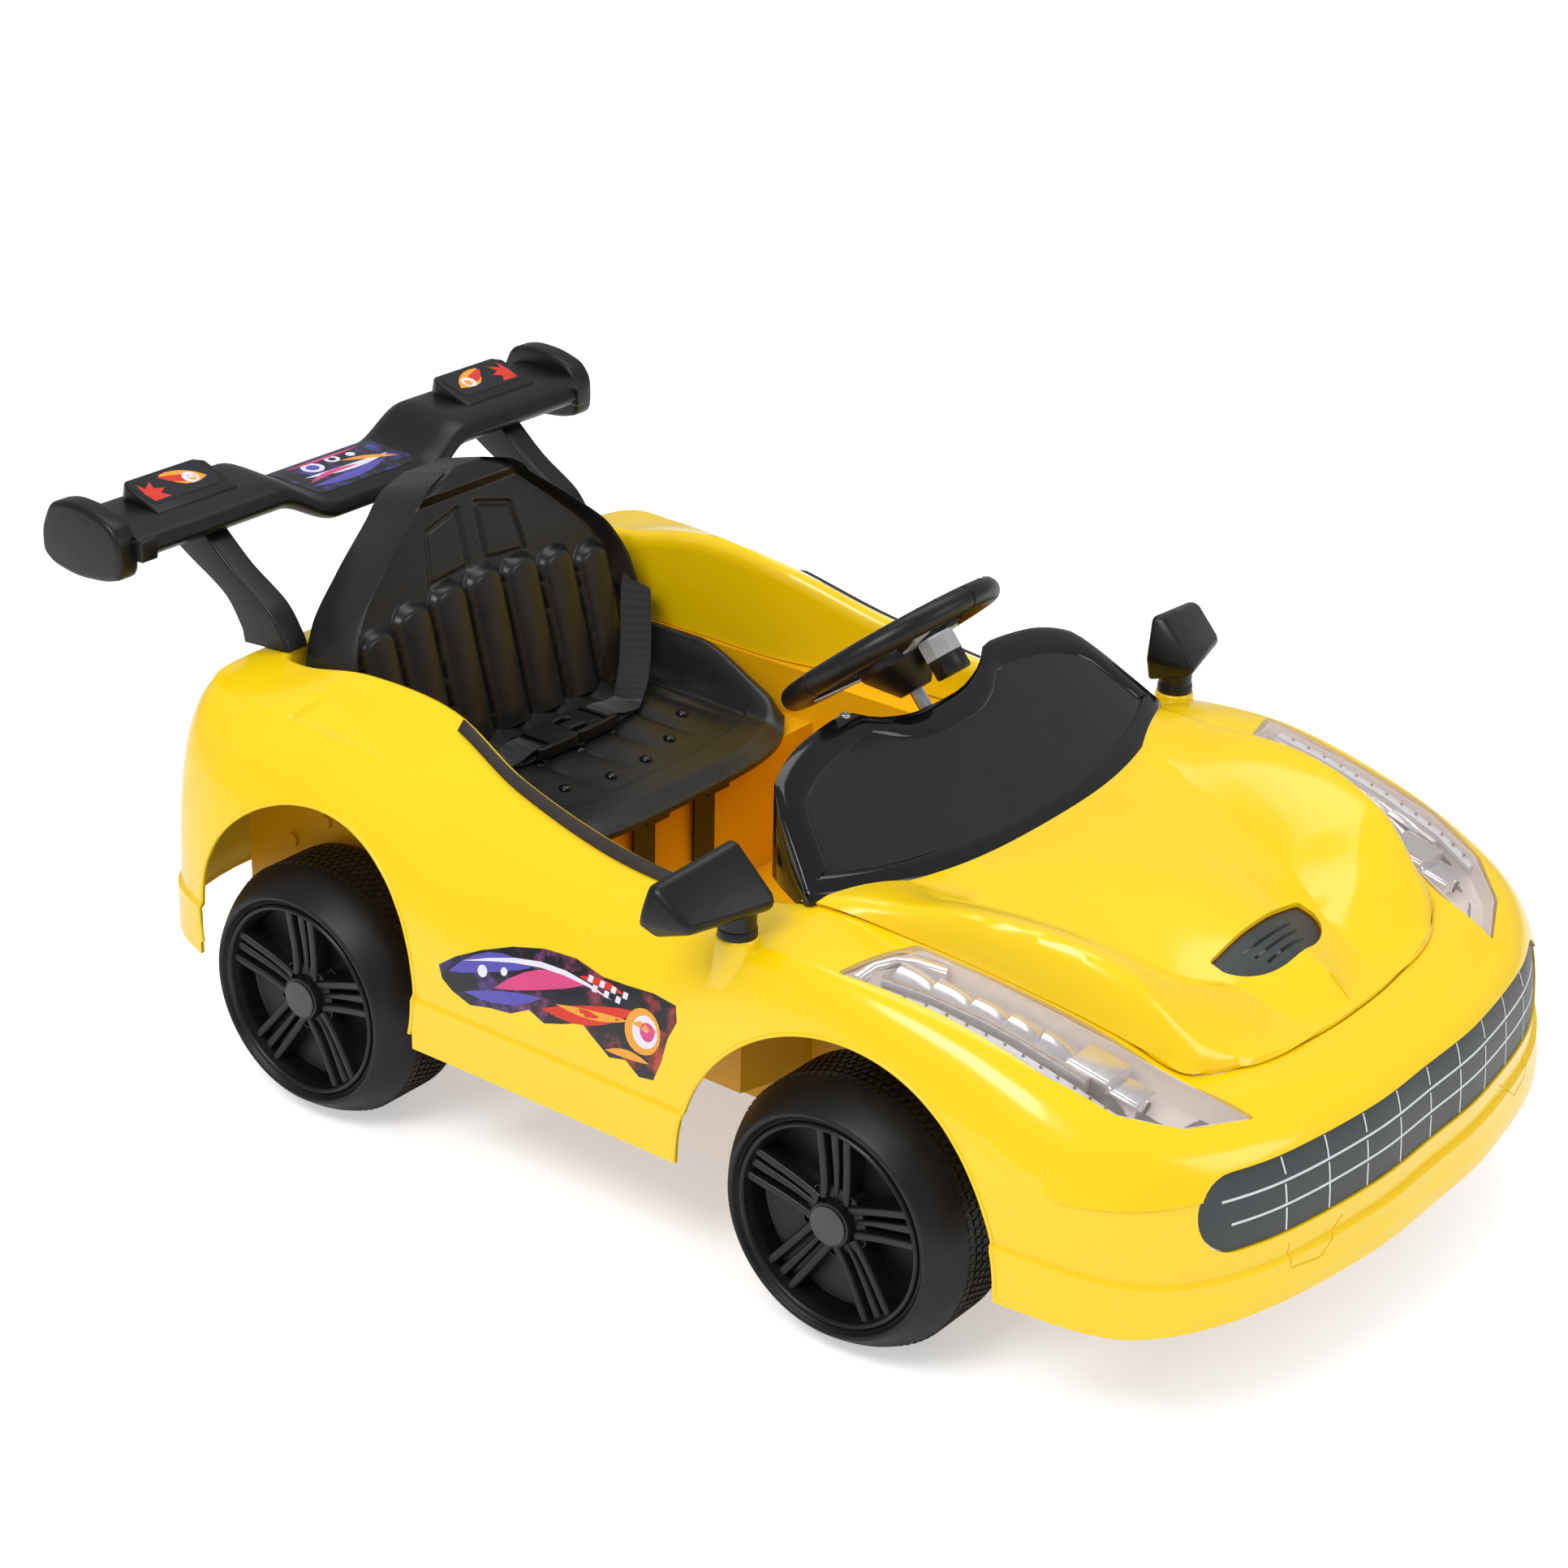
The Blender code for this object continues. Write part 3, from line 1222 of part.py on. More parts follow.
def make_wheel(place, centre, sign, parent):
    """Tyre, spoked rim and hub cap on one axle, outer face towards the car's side."""
    axle = empty(f"axle_{place}", centre, parent)
    if sign < 0:
        axle.rotation_euler = (0, 0, math.pi)
    w = WHEEL_WIDTH
    seat = RIM_RADIUS + GAP
    tyre = [(seat, 0.002), (0.089, 0.0), (WHEEL_RADIUS, 0.009), (WHEEL_RADIUS, 0.046),
            (0.0920, 0.0575), (0.0855, 0.0690), (0.078, w), (seat, w - 0.0015)]
    lathe(f"tyre_{place}", tyre, "wheel_black", axle, smooth=50)
    bore = AXLE_RADIUS + GAP
    lip = RIM_RADIUS - 0.0003
    rim = [(bore, 0.0), (0.013, 0.0), (0.013, 0.046), (0.064, 0.046), (0.066, 0.006),
           (lip, 0.006), (lip, w - 0.001), (0.0668, w - 0.001), (0.0655, w - 0.0225),
           (HUB_RADIUS + 0.001, w - 0.0225), (HUB_RADIUS, w - 0.0045), (bore, w - 0.0045)]
    disc_rim = lathe(f"rim_{place}", rim, "gloss_black", axle, sides=20, smooth=40)
    verts, faces = rim_bars()
    bars = add_object(f"spokes_{place}", verts, faces, "gloss_black", axle)
    combine(disc_rim, bars, "UNION")
    disc(f"hub_cap_{place}", 0.0136, w - 0.0045 + GAP, w - 0.0028, "satin_black", axle, sides=18,
         chamfer=0.0005)


def make_wheels(parent):
    z = WHEEL_RADIUS
    for side, sign in sides():
        make_wheel(f"rear_{side}", (0, sign * (REAR_FACE_Y - WHEEL_WIDTH), z), sign, parent)
        make_wheel(f"front_{side}", (WHEELBASE, sign * (FRONT_FACE_Y - WHEEL_WIDTH), z), sign,
                   parent)


def make_rear_drive(parent):
    """Steel axle, gearbox with its motor, wheel spacer and battery under the seat shelf."""
    z = WHEEL_RADIUS
    end = REAR_FACE_Y - 0.008
    disc("rear_axle", AXLE_RADIUS, -end, end, "zinc_steel", parent, sides=14, at=(0, 0, z))
    inner = REAR_FACE_Y - WHEEL_WIDTH - GAP
    bore = AXLE_RADIUS + GAP
    gearbox = lathe("motor_gearbox", [(bore, 0.140), (0.030, 0.140), (0.034, 0.144),
                                      (0.034, 0.188), (0.030, 0.192), (BOSS_RADIUS, 0.192),
                                      (BOSS_RADIUS, inner), (bore, inner)],
                    "grey_plastic", parent, sides=20, at=(0, 0, z))
    case = prism("gear_case", ((-0.020, 0.105), (0.070, 0.118), (0.078, 0.135), (0.070, 0.155),
                               (0.0, 0.128)), "y", 0.145, 0.187, "grey_plastic", parent)
    bore_clear = disc("gear_case_bore", bore, 0.10, 0.20, "grey_plastic", parent, sides=14,
                      at=(0, 0, z))
    combine(gearbox, case, "UNION")
    motor = disc("motor_can", 0.0135, 0.090, 0.146, "grey_plastic", parent, sides=14,
                 at=(0.058, 0, 0.137))
    combine(gearbox, motor, "UNION")
    combine(gearbox, bore_clear)
    lathe("rear_wheel_spacer", [(bore, TUB_OUTER_Y + GAP), (0.011, TUB_OUTER_Y + GAP),
                                (0.011, inner), (bore, inner)], "grey_plastic", parent,
          sides=14, at=(0, 0, z)).scale = (1, -1, 1)
    top = SHELF_Z - TUB_WALL - GAP
    pack = box("battery", (-0.110, -0.090, top - 0.070), (-0.040, 0.010, top), "grey_plastic",
               parent)
    bevel(pack, 0.003)


PEDAL_X = 0.268
PEDAL_Y = -0.070
PEDAL_TILT = math.radians(24.0)
PEDAL_TRAVEL = math.radians(10.0)


def make_pedal(parent):
    """Accelerator pedal that hinges at its heel on a base screwed to the footwell."""
    half = 0.030
    base = FLOOR_Z + GAP
    foot = prism("pedal_base", ((PEDAL_X - 0.010, base), (PEDAL_X + 0.080, base),
                                (PEDAL_X + 0.080, base + 0.008), (PEDAL_X + 0.010, base + 0.003),
                                (PEDAL_X - 0.010, base + 0.003)), "y",
                 PEDAL_Y - half, PEDAL_Y + half, "satin_black", parent)
    hinge = empty("pedal_axis", (PEDAL_X, PEDAL_Y, base + 0.0095), parent)
    hinge.rotation_euler = (0, -PEDAL_TILT, 0)
    pad = prism("accelerator_pedal", ((-0.005, -0.0035), (0.082, -0.0035), (0.086, 0.0),
                                      (0.082, 0.0045), (-0.002, 0.0045), (-0.005, 0.002)),
                "y", -half + 0.003, half - 0.003, "satin_black", hinge)
    for k in range(5):
        x = 0.018 + 0.013 * k
        tread = box(f"pedal_tread_{k}", (x, -0.022, 0.003), (x + 0.005, 0.022, 0.0062),
                    "satin_black", hinge)
        combine(pad, tread, "UNION")
    for sign in (-1, 1):
        y = PEDAL_Y + sign * (half - 0.0012)
        ear = prism(f"pedal_ear_{sign}", ((PEDAL_X - 0.006, base + 0.001),
                                          (PEDAL_X + 0.006, base + 0.001),
                                          (PEDAL_X + 0.005, base + 0.014),
                                          (PEDAL_X - 0.005, base + 0.014)), "y",
                    y - 0.0012, y + 0.0012, "satin_black", parent)
        combine(foot, ear, "UNION")
    return hinge


SWITCH_X = 0.215
SWITCH_Y = -0.1825


def make_direction_switch(parent):
    """Forward and reverse rocker in a small collar on the right side rail."""
    top = TUB_TOP + GAP
    collar = box("switch_collar", (SWITCH_X - 0.017, SWITCH_Y - 0.011, top),
                 (SWITCH_X + 0.017, SWITCH_Y + 0.011, top + 0.007), "satin_black", parent)
    hollow = box("switch_hollow", (SWITCH_X - 0.0135, SWITCH_Y - 0.0075, top + 0.0015),
                 (SWITCH_X + 0.0135, SWITCH_Y + 0.0075, top + 0.02), "satin_black", parent)
    combine(collar, hollow)
    hinge = empty("switch_axis", (SWITCH_X, SWITCH_Y, top + 0.0065), parent)
    outline = ((-0.0125, -0.0005), (0.0, -0.0040), (0.0125, -0.0005), (0.0125, 0.0035),
               (0.0, 0.0015), (-0.0125, 0.0035))
    prism("direction_switch", outline, "y", -0.0070, 0.0070, "satin_black", hinge)


# Corners of the left mirror shell from the top of its stub: the rim round the glass in
# order, then the corners of the front face.
MIRROR_RIM = ((-0.0170, -0.0130, 0.0585), (-0.0285, 0.0550, 0.0465), (-0.0300, 0.0660, 0.0230),
              (-0.0270, 0.0500, 0.0075), (-0.0160, -0.0140, 0.0070), (-0.0155, -0.0200, 0.0260))
MIRROR_FACE = ((-0.0095, -0.0090, 0.0600), (-0.0200, 0.0590, 0.0480), (0.0050, 0.0545, 0.0250),
               (0.0234, -0.0120, 0.0255), (0.0180, -0.0120, 0.0180), (0.0010, 0.0500, 0.0180))


def hull(name, points, finish, parent, **extra):
    """Smallest convex solid round the points."""
    work = bmesh.new()
    for point in points:
        work.verts.new(point)
    done = bmesh.ops.convex_hull(work, input=work.verts)
    loose = [v for v in done["geom_interior"] if isinstance(v, bmesh.types.BMVert)]
    bmesh.ops.delete(work, geom=loose, context="VERTS")
    work.verts.index_update()
    verts = [tuple(v.co) for v in work.verts]
    faces = [tuple(v.index for v in f.verts) for f in work.faces]
    work.free()
    return add_object(name, verts, faces, finish, parent, **extra)


def mirror_slab(name, scale, near, far, sign, parent, finish):
    """Solid between two planes behind the mirror's rim, shrunk towards its middle."""
    rim = np.array(MIRROR_RIM)
    middle = rim.mean(axis=0)
    rings = []
    for depth in (near, far):
        ring = middle + (rim - middle) * scale + np.array((depth, 0, 0))
        rings.append([(x, sign * y, z) for x, y, z in ring])
    return loft(name, rings, finish, parent, smooth=20)


def make_mirrors(parent):
    """Wedge-shaped mirror shells that turn on their stubs, with the glass facing back."""
    for side, sign in sides():
        spot = (MIRROR_X, sign * MIRROR_Y, MIRROR_BOSS_Z)
        disc(f"mirror_stub_{side}", MIRROR_STUB, GAP, 0.0062, "satin_black", parent, sides=16,
             axis="z", at=spot)
        hinge = empty(f"mirror_axis_{side}", spot, parent)
        corners = [(x, sign * y, z) for x, y, z in MIRROR_RIM + MIRROR_FACE]
        shell = hull(f"mirror_housing_{side}", corners, "satin_black", hinge, smooth=35)
        bevel(shell, 0.0022, segments=1, angle=25)
        combine(shell, disc(f"mirror_pivot_{side}", 0.008, 0.0062 + GAP, 0.020, "satin_black", hinge,
                            sides=12, axis="z"), "UNION")
        combine(shell, mirror_slab(f"mirror_pocket_{side}", 0.86, -0.012, 0.0045, sign, hinge,
                                   "satin_black"))
        mirror_slab(f"mirror_glass_{side}", 0.85, 0.0018, 0.0045 - GAP, sign, hinge, "chrome")


def ribbon(name, path, width, thick, finish, parent):
    """Flat strap: each path row is (x, y, z) with the strap lying level across x."""
    rings = []
    for x, y, z in path:
        rings.append([(x - width / 2, y, z), (x + width / 2, y, z),
                      (x + width / 2, y, z + thick), (x - width / 2, y, z + thick)])
    return loft(name, rings, finish, parent, smooth=60)


def make_belt(parent):
    """Lap belt across the seat pan, with its buckle."""
    width = 0.025
    z = SEAT_PAN_Z + 0.0003
    left = [(-0.020, 0.148, z + 0.030), (-0.014, 0.134, z + 0.014), (-0.010, 0.115, z + 0.004),
            (-0.006, 0.080, z), (-0.004, 0.045, z)]
    right = [(x, -y, h) for x, y, h in left][::-1]
    belt = ribbon("belt_webbing_left", left, width, 0.0016, "webbing", parent)
    other = ribbon("belt_webbing_right", right, width, 0.0016, "webbing", parent)
    low = z - 0.001
    buckle = box("belt_buckle", (-0.022, -0.0445, low), (0.014, 0.0445, low + 0.011),
                 "satin_black", parent)
    bevel(buckle, 0.002)
    return belt, other


def main():
    clear_scene()
    car = empty("car_frame", (FRAME_SHIFT, 0, 0))
    make_body(car)
    make_bonnet(car)
    make_grille(car)
    make_headlamps(car)
    make_tail_lamps(car)
    make_tub(car)
    make_windscreen(car)
    make_sill_trims(car)
    make_seat(car)
    make_seat_brackets(car)
    make_wing(car)
    make_struts(car)
    hub, horn = make_steering_wheel(car)
    make_steering_shaft(hub)
    make_column_bush(car)
    rod = make_front_suspension(car)
    make_tie_fork(car, rod)
    make_wheels(car)
    make_rear_drive(car)
    make_pedal(car)
    make_direction_switch(car)
    make_mirrors(car)
    make_belt(car)
    bpy.context.view_layer.update()


main()
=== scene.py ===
# %% [markdown]
# # A child's ride-on car
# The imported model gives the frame: every solid, where it sits and what it turns with. These cells
# dress it. Curved mouldings are drawn again with many more points than the solids have, from the
# same guide lines, and then get the small things that make them look moulded: rolled edges,
# grooves, tread, screws, foil stickers and webbing. The guide lines measure x from the rear axle,
# and SHIFT takes that to the frame's own x.

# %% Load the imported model
import math

import bpy
import bmesh
import numpy as np
from mathutils import Matrix, Vector
from mathutils.bvhtree import BVHTree
from mathutils.kdtree import KDTree


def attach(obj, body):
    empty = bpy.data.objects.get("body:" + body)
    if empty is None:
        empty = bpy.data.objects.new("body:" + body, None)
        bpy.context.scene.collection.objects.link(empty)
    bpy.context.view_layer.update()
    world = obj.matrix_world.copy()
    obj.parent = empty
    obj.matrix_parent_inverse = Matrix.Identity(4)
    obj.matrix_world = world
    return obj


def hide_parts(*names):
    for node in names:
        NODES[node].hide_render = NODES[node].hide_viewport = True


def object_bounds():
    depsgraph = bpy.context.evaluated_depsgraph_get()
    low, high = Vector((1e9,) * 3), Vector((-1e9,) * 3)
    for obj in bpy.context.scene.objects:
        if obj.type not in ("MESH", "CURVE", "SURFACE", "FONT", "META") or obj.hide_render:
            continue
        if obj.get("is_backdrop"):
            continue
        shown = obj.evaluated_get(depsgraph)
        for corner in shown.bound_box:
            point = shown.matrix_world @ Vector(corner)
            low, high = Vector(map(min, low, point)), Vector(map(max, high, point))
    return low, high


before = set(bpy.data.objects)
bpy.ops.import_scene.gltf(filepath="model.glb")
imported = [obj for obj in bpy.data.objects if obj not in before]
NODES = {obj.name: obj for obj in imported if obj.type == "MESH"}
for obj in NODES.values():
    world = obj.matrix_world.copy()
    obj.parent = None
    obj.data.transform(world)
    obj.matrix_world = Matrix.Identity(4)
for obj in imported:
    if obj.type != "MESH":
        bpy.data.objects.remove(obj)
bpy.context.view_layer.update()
SHIFT = -0.233
SIDES = (("left", 1), ("right", -1))

# %% [markdown]
# ## Colours and nodes
# Every colour is written as the sRGB hex value that a screen shows and turned to linear light in
# one place. One small function adds a node with its settings and its links, so each finish below
# reads as a short recipe.

# %% Colour and node helpers
def linear(code):
    """sRGB hex value to the linear colour that a socket holds."""
    values = [int(code[k:k + 2], 16) / 255 for k in (0, 2, 4)]
    return tuple(v / 12.92 if v <= 0.04045 else ((v + 0.055) / 1.055) ** 2.4
                 for v in values) + (1.0,)


def add(tree, kind, sockets=(), **settings):
    """Add a node. Sockets maps a name or number to a value or to another node's output."""
    item = tree.nodes.new(kind)
    for key, value in settings.items():
        setattr(item, key, value)
    for key, value in dict(sockets).items():
        if isinstance(value, bpy.types.NodeSocket):
            tree.links.new(value, item.inputs[key])
        else:
            item.inputs[key].default_value = value
    return item


def blank(name):
    """A new material and its empty node tree."""
    material = bpy.data.materials.new(name)
    material.use_nodes = True
    material.node_tree.nodes.clear()
    return material, material.node_tree


print("white is", linear("FFFFFF"))

# %% [markdown]
# ## Moulded plastics
# Nearly all of the car is moulded: glossy injection-moulded polypropylene for the body, satin
# blow-moulded polyethylene for the seat, wing and wheels. Up close neither is even. The gloss has
# a slow ripple from uneven cooling, the satin has a fine grain from the blasted mould, and both
# shift a little in colour where the melt flowed. One recipe covers both: the two scales are given
# in millimetres, and noise at those scales drives the colour, the roughness and the bump. The
# real grain is finer than a pixel, so it is drawn at 0.3 to 0.9 mm, as coarse as it needs to show.

# %% Moulded plastic recipe
def moulded(name, dark, light, rough, spread, grain_mm, grain, ripple_mm, ripple, specular=0.5,
            coat=0.0):
    """Plastic whose colour, roughness and relief vary at a fine and at a slow scale."""
    material, tree = blank(name)
    place = add(tree, "ShaderNodeTexCoord").outputs["Object"]
    slow = add(tree, "ShaderNodeTexNoise", {"Vector": place, "Scale": 1000 / ripple_mm,
                                            "Detail": 2.0, "Roughness": 0.45})
    fine = add(tree, "ShaderNodeTexNoise", {"Vector": place, "Scale": 1000 / grain_mm,
                                            "Detail": 3.0, "Roughness": 0.6})
    tint = add(tree, "ShaderNodeMix", {0: slow.outputs["Fac"], 6: linear(dark),
                                       7: linear(light)}, data_type="RGBA")
    mixed = add(tree, "ShaderNodeMath", {0: slow.outputs["Fac"], 1: fine.outputs["Fac"]},
                operation="ADD")
    gloss = add(tree, "ShaderNodeMapRange", {0: mixed.outputs[0], 1: 0.6, 2: 1.4,
                                             3: rough - spread, 4: rough + spread})
    wave = add(tree, "ShaderNodeBump", {"Height": slow.outputs["Fac"], "Strength": ripple,
                                        "Distance": ripple_mm / 1000 * 0.05})
    skin = add(tree, "ShaderNodeBump", {"Height": fine.outputs["Fac"], "Strength": grain,
                                        "Distance": grain_mm / 1000 * 0.25,
                                        "Normal": wave.outputs[0]})
    shader = add(tree, "ShaderNodeBsdfPrincipled",
                 {"Base Color": tint.outputs[2], "Roughness": gloss.outputs[0],
                  "Normal": skin.outputs[0], "IOR": 1.49, "Specular IOR Level": specular,
                  "Coat Weight": coat, "Coat Roughness": 0.08})
    add(tree, "ShaderNodeOutputMaterial", {0: shader.outputs[0]})
    return material


# %% Plastics of the car
# A polished mould: crisp lamp reflections that bend a little on the slow ripple.
BODY_YELLOW = moulded("gloss_polypropylene_yellow", "F1C800", "F4CD04", 0.20, 0.03,
                      0.9, 0.03, 70, 0.12, 0.5, 0.25)
# The floor's mould wasn't polished, so its highlights are broad and soft. Its deeper orange is
# painted shade: the body's yellow as it looks shaded inside the tub.
TUB_PAINTED_SHADE_ORANGE = moulded("polypropylene_orange_yellow", "F0AE06", "F4B80A", 0.34, 0.04,
                     0.8, 0.05, 45, 0.15, 0.4)
# Polished black shows little but what it mirrors, so edges turn into bright lines.
GLOSS_BLACK = moulded("gloss_abs_black", "070707", "0B0B0B", 0.10, 0.03,
                      0.7, 0.03, 60, 0.10, 0.40, 0.3)
# Blasted grain scatters each highlight into a soft grey sheen.
SATIN_BLACK = moulded("blow_moulded_polyethylene_black", "0C0C0C", "141312", 0.36, 0.06,
                      0.6, 0.22, 22, 0.35, 0.42)
# The seat is the same, rubbed a little brighter and warmer.
SEAT_BLACK = moulded("blow_moulded_seat_black", "181716", "201F1E", 0.30, 0.05,
                     0.6, 0.20, 24, 0.35, 0.5)
# Tyres have the coarsest grain, so they stay dull from every side.
WHEEL_BLACK = moulded("blow_moulded_wheel_black", "0A0A0B", "101011", 0.44, 0.06,
                      0.7, 0.25, 18, 0.30, 0.40)
# Rims are finer, and their spokes catch thin light lines.
RIM_BLACK = moulded("moulded_rim_black", "0B0B0C", "121214", 0.33, 0.05,
                    0.6, 0.12, 25, 0.25, 0.42)
# Soft trim: warm, dark and almost without shine.
TRIM_BROWN = moulded("sill_trim_dark_brown", "2A2420", "342C26", 0.50, 0.06,
                     0.5, 0.30, 15, 0.2, 0.35)
# Nylon housings: a flat mid grey.
GREY_PLASTIC = moulded("nylon_gear_grey", "5A5A5E", "646468", 0.48, 0.05,
                       0.5, 0.2, 12, 0.2, 0.4)
# Hub caps: a shade lighter than the rims, so they read as pieces of their own.
GREY_CAP = moulded("satin_hub_cap_dark_grey", "3A3A3C", "434345", 0.42, 0.05,
                   0.5, 0.2, 12, 0.2)
# Sprayed silver: bright, yet without a metal's dark reflections.
SILVER_PAINT = moulded("silver_painted_abs", "A9ABAE", "B6B8BB", 0.26, 0.04,
                       0.3, 0.12, 30, 0.1, 0.6, 0.2)
# A clear red rocker that draws the eye to the switch.
SWITCH_RED = moulded("moulded_nylon_red", "B3120C", "C0180F", 0.30, 0.04,
                     0.5, 0.1, 15, 0.1)
# Rubber on the pedal: dull and grainy.
PEDAL_BLACK = moulded("moulded_rubber_black", "101010", "171717", 0.58, 0.06,
                      0.5, 0.35, 12, 0.2, 0.35)
# Stoved paint on steel: smooth, with the sheet's slight waves under it.
BLACK_STEEL = moulded("black_painted_steel", "0E0E0E", "161616", 0.40, 0.05,
                      0.4, 0.2, 14, 0.2)
print("plastics:", len(bpy.data.materials))

# %% [markdown]
# ## Foil, metal, lens and cloth
# The grille and the stickers are printed foil: nearly smooth, with a faint print grain. The steel
# rods are zinc plated, which gives a bright metal with a crystalline mottle. The lamp bowls are
# plated plastic, a clean mirror. The lenses are thin clear polycarbonate with a faint warm tint,
# so they are drawn as a glossy film that lets most light straight through. The lap belt is woven
# polyester, with its warp and weft on the strap's own UV map.

# %% Printed foil
def printed(name, code, rough=0.34):
    """Ink on vinyl: even colour with fine print dots and a low, broad shine."""
    material, tree = blank(name)
    place = add(tree, "ShaderNodeTexCoord").outputs["Object"]
    dots = add(tree, "ShaderNodeTexNoise", {"Vector": place, "Scale": 1500.0, "Detail": 1.0})
    base = linear(code)
    deep = tuple(0.82 * c for c in base[:3]) + (1.0,)
    tint = add(tree, "ShaderNodeMix", {0: dots.outputs["Fac"], 6: deep, 7: base},
               data_type="RGBA")
    bump = add(tree, "ShaderNodeBump", {"Height": dots.outputs["Fac"], "Strength": 0.06,
                                        "Distance": 0.0002})
    shader = add(tree, "ShaderNodeBsdfPrincipled",
                 {"Base Color": tint.outputs[2], "Roughness": rough, "Normal": bump.outputs[0],
                  "Specular IOR Level": 0.45})
    add(tree, "ShaderNodeOutputMaterial", {0: shader.outputs[0]})
    return material


FOIL_GREY = printed("foil_print_dark_grey", "3A3E3F", 0.42)
FOIL_WHITE = printed("foil_print_white", "DADCDC", 0.40)
FOIL_INK = printed("foil_print_black", "1B1A20")
FOIL_VIOLET = printed("foil_print_violet", "5A4FB0")
FOIL_PINK = printed("foil_print_pink", "D9487F")
FOIL_RED = printed("foil_print_red", "D8331E")
FOIL_AMBER = printed("foil_print_amber", "F0A22E")
FOIL_PALE = printed("foil_print_pale", "E6E2EE")


# %% Plated metal
def metal(name, code, rough, grain_mm, grain):
    """Metal whose gloss and relief follow the cells of its plating."""
    material, tree = blank(name)
    place = add(tree, "ShaderNodeTexCoord").outputs["Object"]
    spangle = add(tree, "ShaderNodeTexVoronoi", {"Vector": place, "Scale": 1000 / grain_mm})
    gloss = add(tree, "ShaderNodeMapRange", {0: spangle.outputs["Distance"], 1: 0.0, 2: 0.8,
                                             3: rough, 4: rough + 0.08})
    bump = add(tree, "ShaderNodeBump", {"Height": spangle.outputs["Distance"],
                                        "Strength": grain, "Distance": grain_mm / 6000})
    shader = add(tree, "ShaderNodeBsdfPrincipled",
                 {"Base Color": linear(code), "Metallic": 1.0, "Roughness": gloss.outputs[0],
                  "Normal": bump.outputs[0]})
    add(tree, "ShaderNodeOutputMaterial", {0: shader.outputs[0]})
    return material


# Zinc: a cool, slightly clouded metal. Plated plastic: brighter, nearly clean. Mirror foil: clear.
ZINC = metal("zinc_plated_steel", "B9BDC0", 0.30, 2.5, 0.10)
CHROME = metal("vacuum_plated_plastic", "F0F0F3", 0.17, 6.0, 0.02)
MIRROR_FOIL = metal("mirror_foil", "D8DADC", 0.03, 20.0, 0.01)


# %% Clear and red lenses
def lens(name, code, clear, rough=0.04):
    """Thin clear moulding: a glossy film, see-through head on and solid at a grazing view."""
    material, tree = blank(name)
    place = add(tree, "ShaderNodeTexCoord").outputs["Object"]
    flow = add(tree, "ShaderNodeTexNoise", {"Vector": place, "Scale": 40.0, "Detail": 1.0})
    bump = add(tree, "ShaderNodeBump", {"Height": flow.outputs["Fac"], "Strength": 0.08,
                                        "Distance": 0.001})
    edge = add(tree, "ShaderNodeLayerWeight", {"Blend": 0.5, "Normal": bump.outputs[0]})
    steep = add(tree, "ShaderNodeMath", {0: edge.outputs["Facing"], 1: 3.5}, operation="POWER")
    film = add(tree, "ShaderNodeMapRange", {0: steep.outputs[0], 1: 0.0, 2: 1.0, 3: clear,
                                            4: 1.0})
    shader = add(tree, "ShaderNodeBsdfPrincipled",
                 {"Base Color": linear(code), "Roughness": rough, "Normal": bump.outputs[0],
                  "Alpha": film.outputs[0], "IOR": 1.49, "Coat Weight": 0.6,
                  "Coat Roughness": 0.03})
    add(tree, "ShaderNodeOutputMaterial", {0: shader.outputs[0]})
    return material


CLEAR_LENS = lens("clear_polycarbonate", "E8D6CE", 0.07)
RED_LENS = lens("red_polycarbonate", "B01010", 0.86, 0.08)


# %% Woven webbing
def webbing(name, code, thread_mm):
    """Plain weave: two crossed waves on the strap's own UV map, dull with a faint sheen."""
    material, tree = blank(name)
    place = add(tree, "ShaderNodeUVMap", uv_map="strap")
    waves = []
    for direction in ("X", "Y"):
        waves.append(add(tree, "ShaderNodeTexWave",
                         {"Vector": place.outputs[0], "Scale": 1000 / thread_mm / 20,
                          "Distortion": 0.4, "Detail": 1.0},
                         wave_type="BANDS", bands_direction=direction))
    weave = add(tree, "ShaderNodeMath", {0: waves[0].outputs["Fac"], 1: waves[1].outputs["Fac"]},
                operation="MULTIPLY")
    base = linear(code)
    deep = tuple(0.5 * c for c in base[:3]) + (1.0,)
    tint = add(tree, "ShaderNodeMix", {0: weave.outputs[0], 6: deep, 7: base}, data_type="RGBA")
    bump = add(tree, "ShaderNodeBump", {"Height": weave.outputs[0], "Strength": 0.7,
                                        "Distance": 0.0004})
    shader = add(tree, "ShaderNodeBsdfPrincipled",
                 {"Base Color": tint.outputs[2], "Roughness": 0.75, "Normal": bump.outputs[0],
                  "Sheen Weight": 0.25, "Sheen Roughness": 0.4})
    add(tree, "ShaderNodeOutputMaterial", {0: shader.outputs[0]})
    return material


WEBBING = webbing("woven_polyester_black", "1D1C1E", 1.1)
print("materials:", len(bpy.data.materials))

# %% [markdown]
# ## Mesh helpers
# A piece is a grid of points joined into faces, a ring of points swept along a path, or a profile
# turned round an axis. Cuts use exact Booleans, and the result is turned to a plain mesh at once,
# so nothing is left live.

# %% Points, rings and solids
def placed(name, data):
    """Object for a mesh, lamp or camera, linked to the scene."""
    item = bpy.data.objects.new(name, data)
    bpy.context.scene.collection.objects.link(item)
    return item


def shade(mesh, angle):
    """Smooth faces, with an edge kept sharp where it bends by more than the angle."""
    mesh.shade_smooth()
    mesh.set_sharp_from_angle(angle=math.radians(angle))


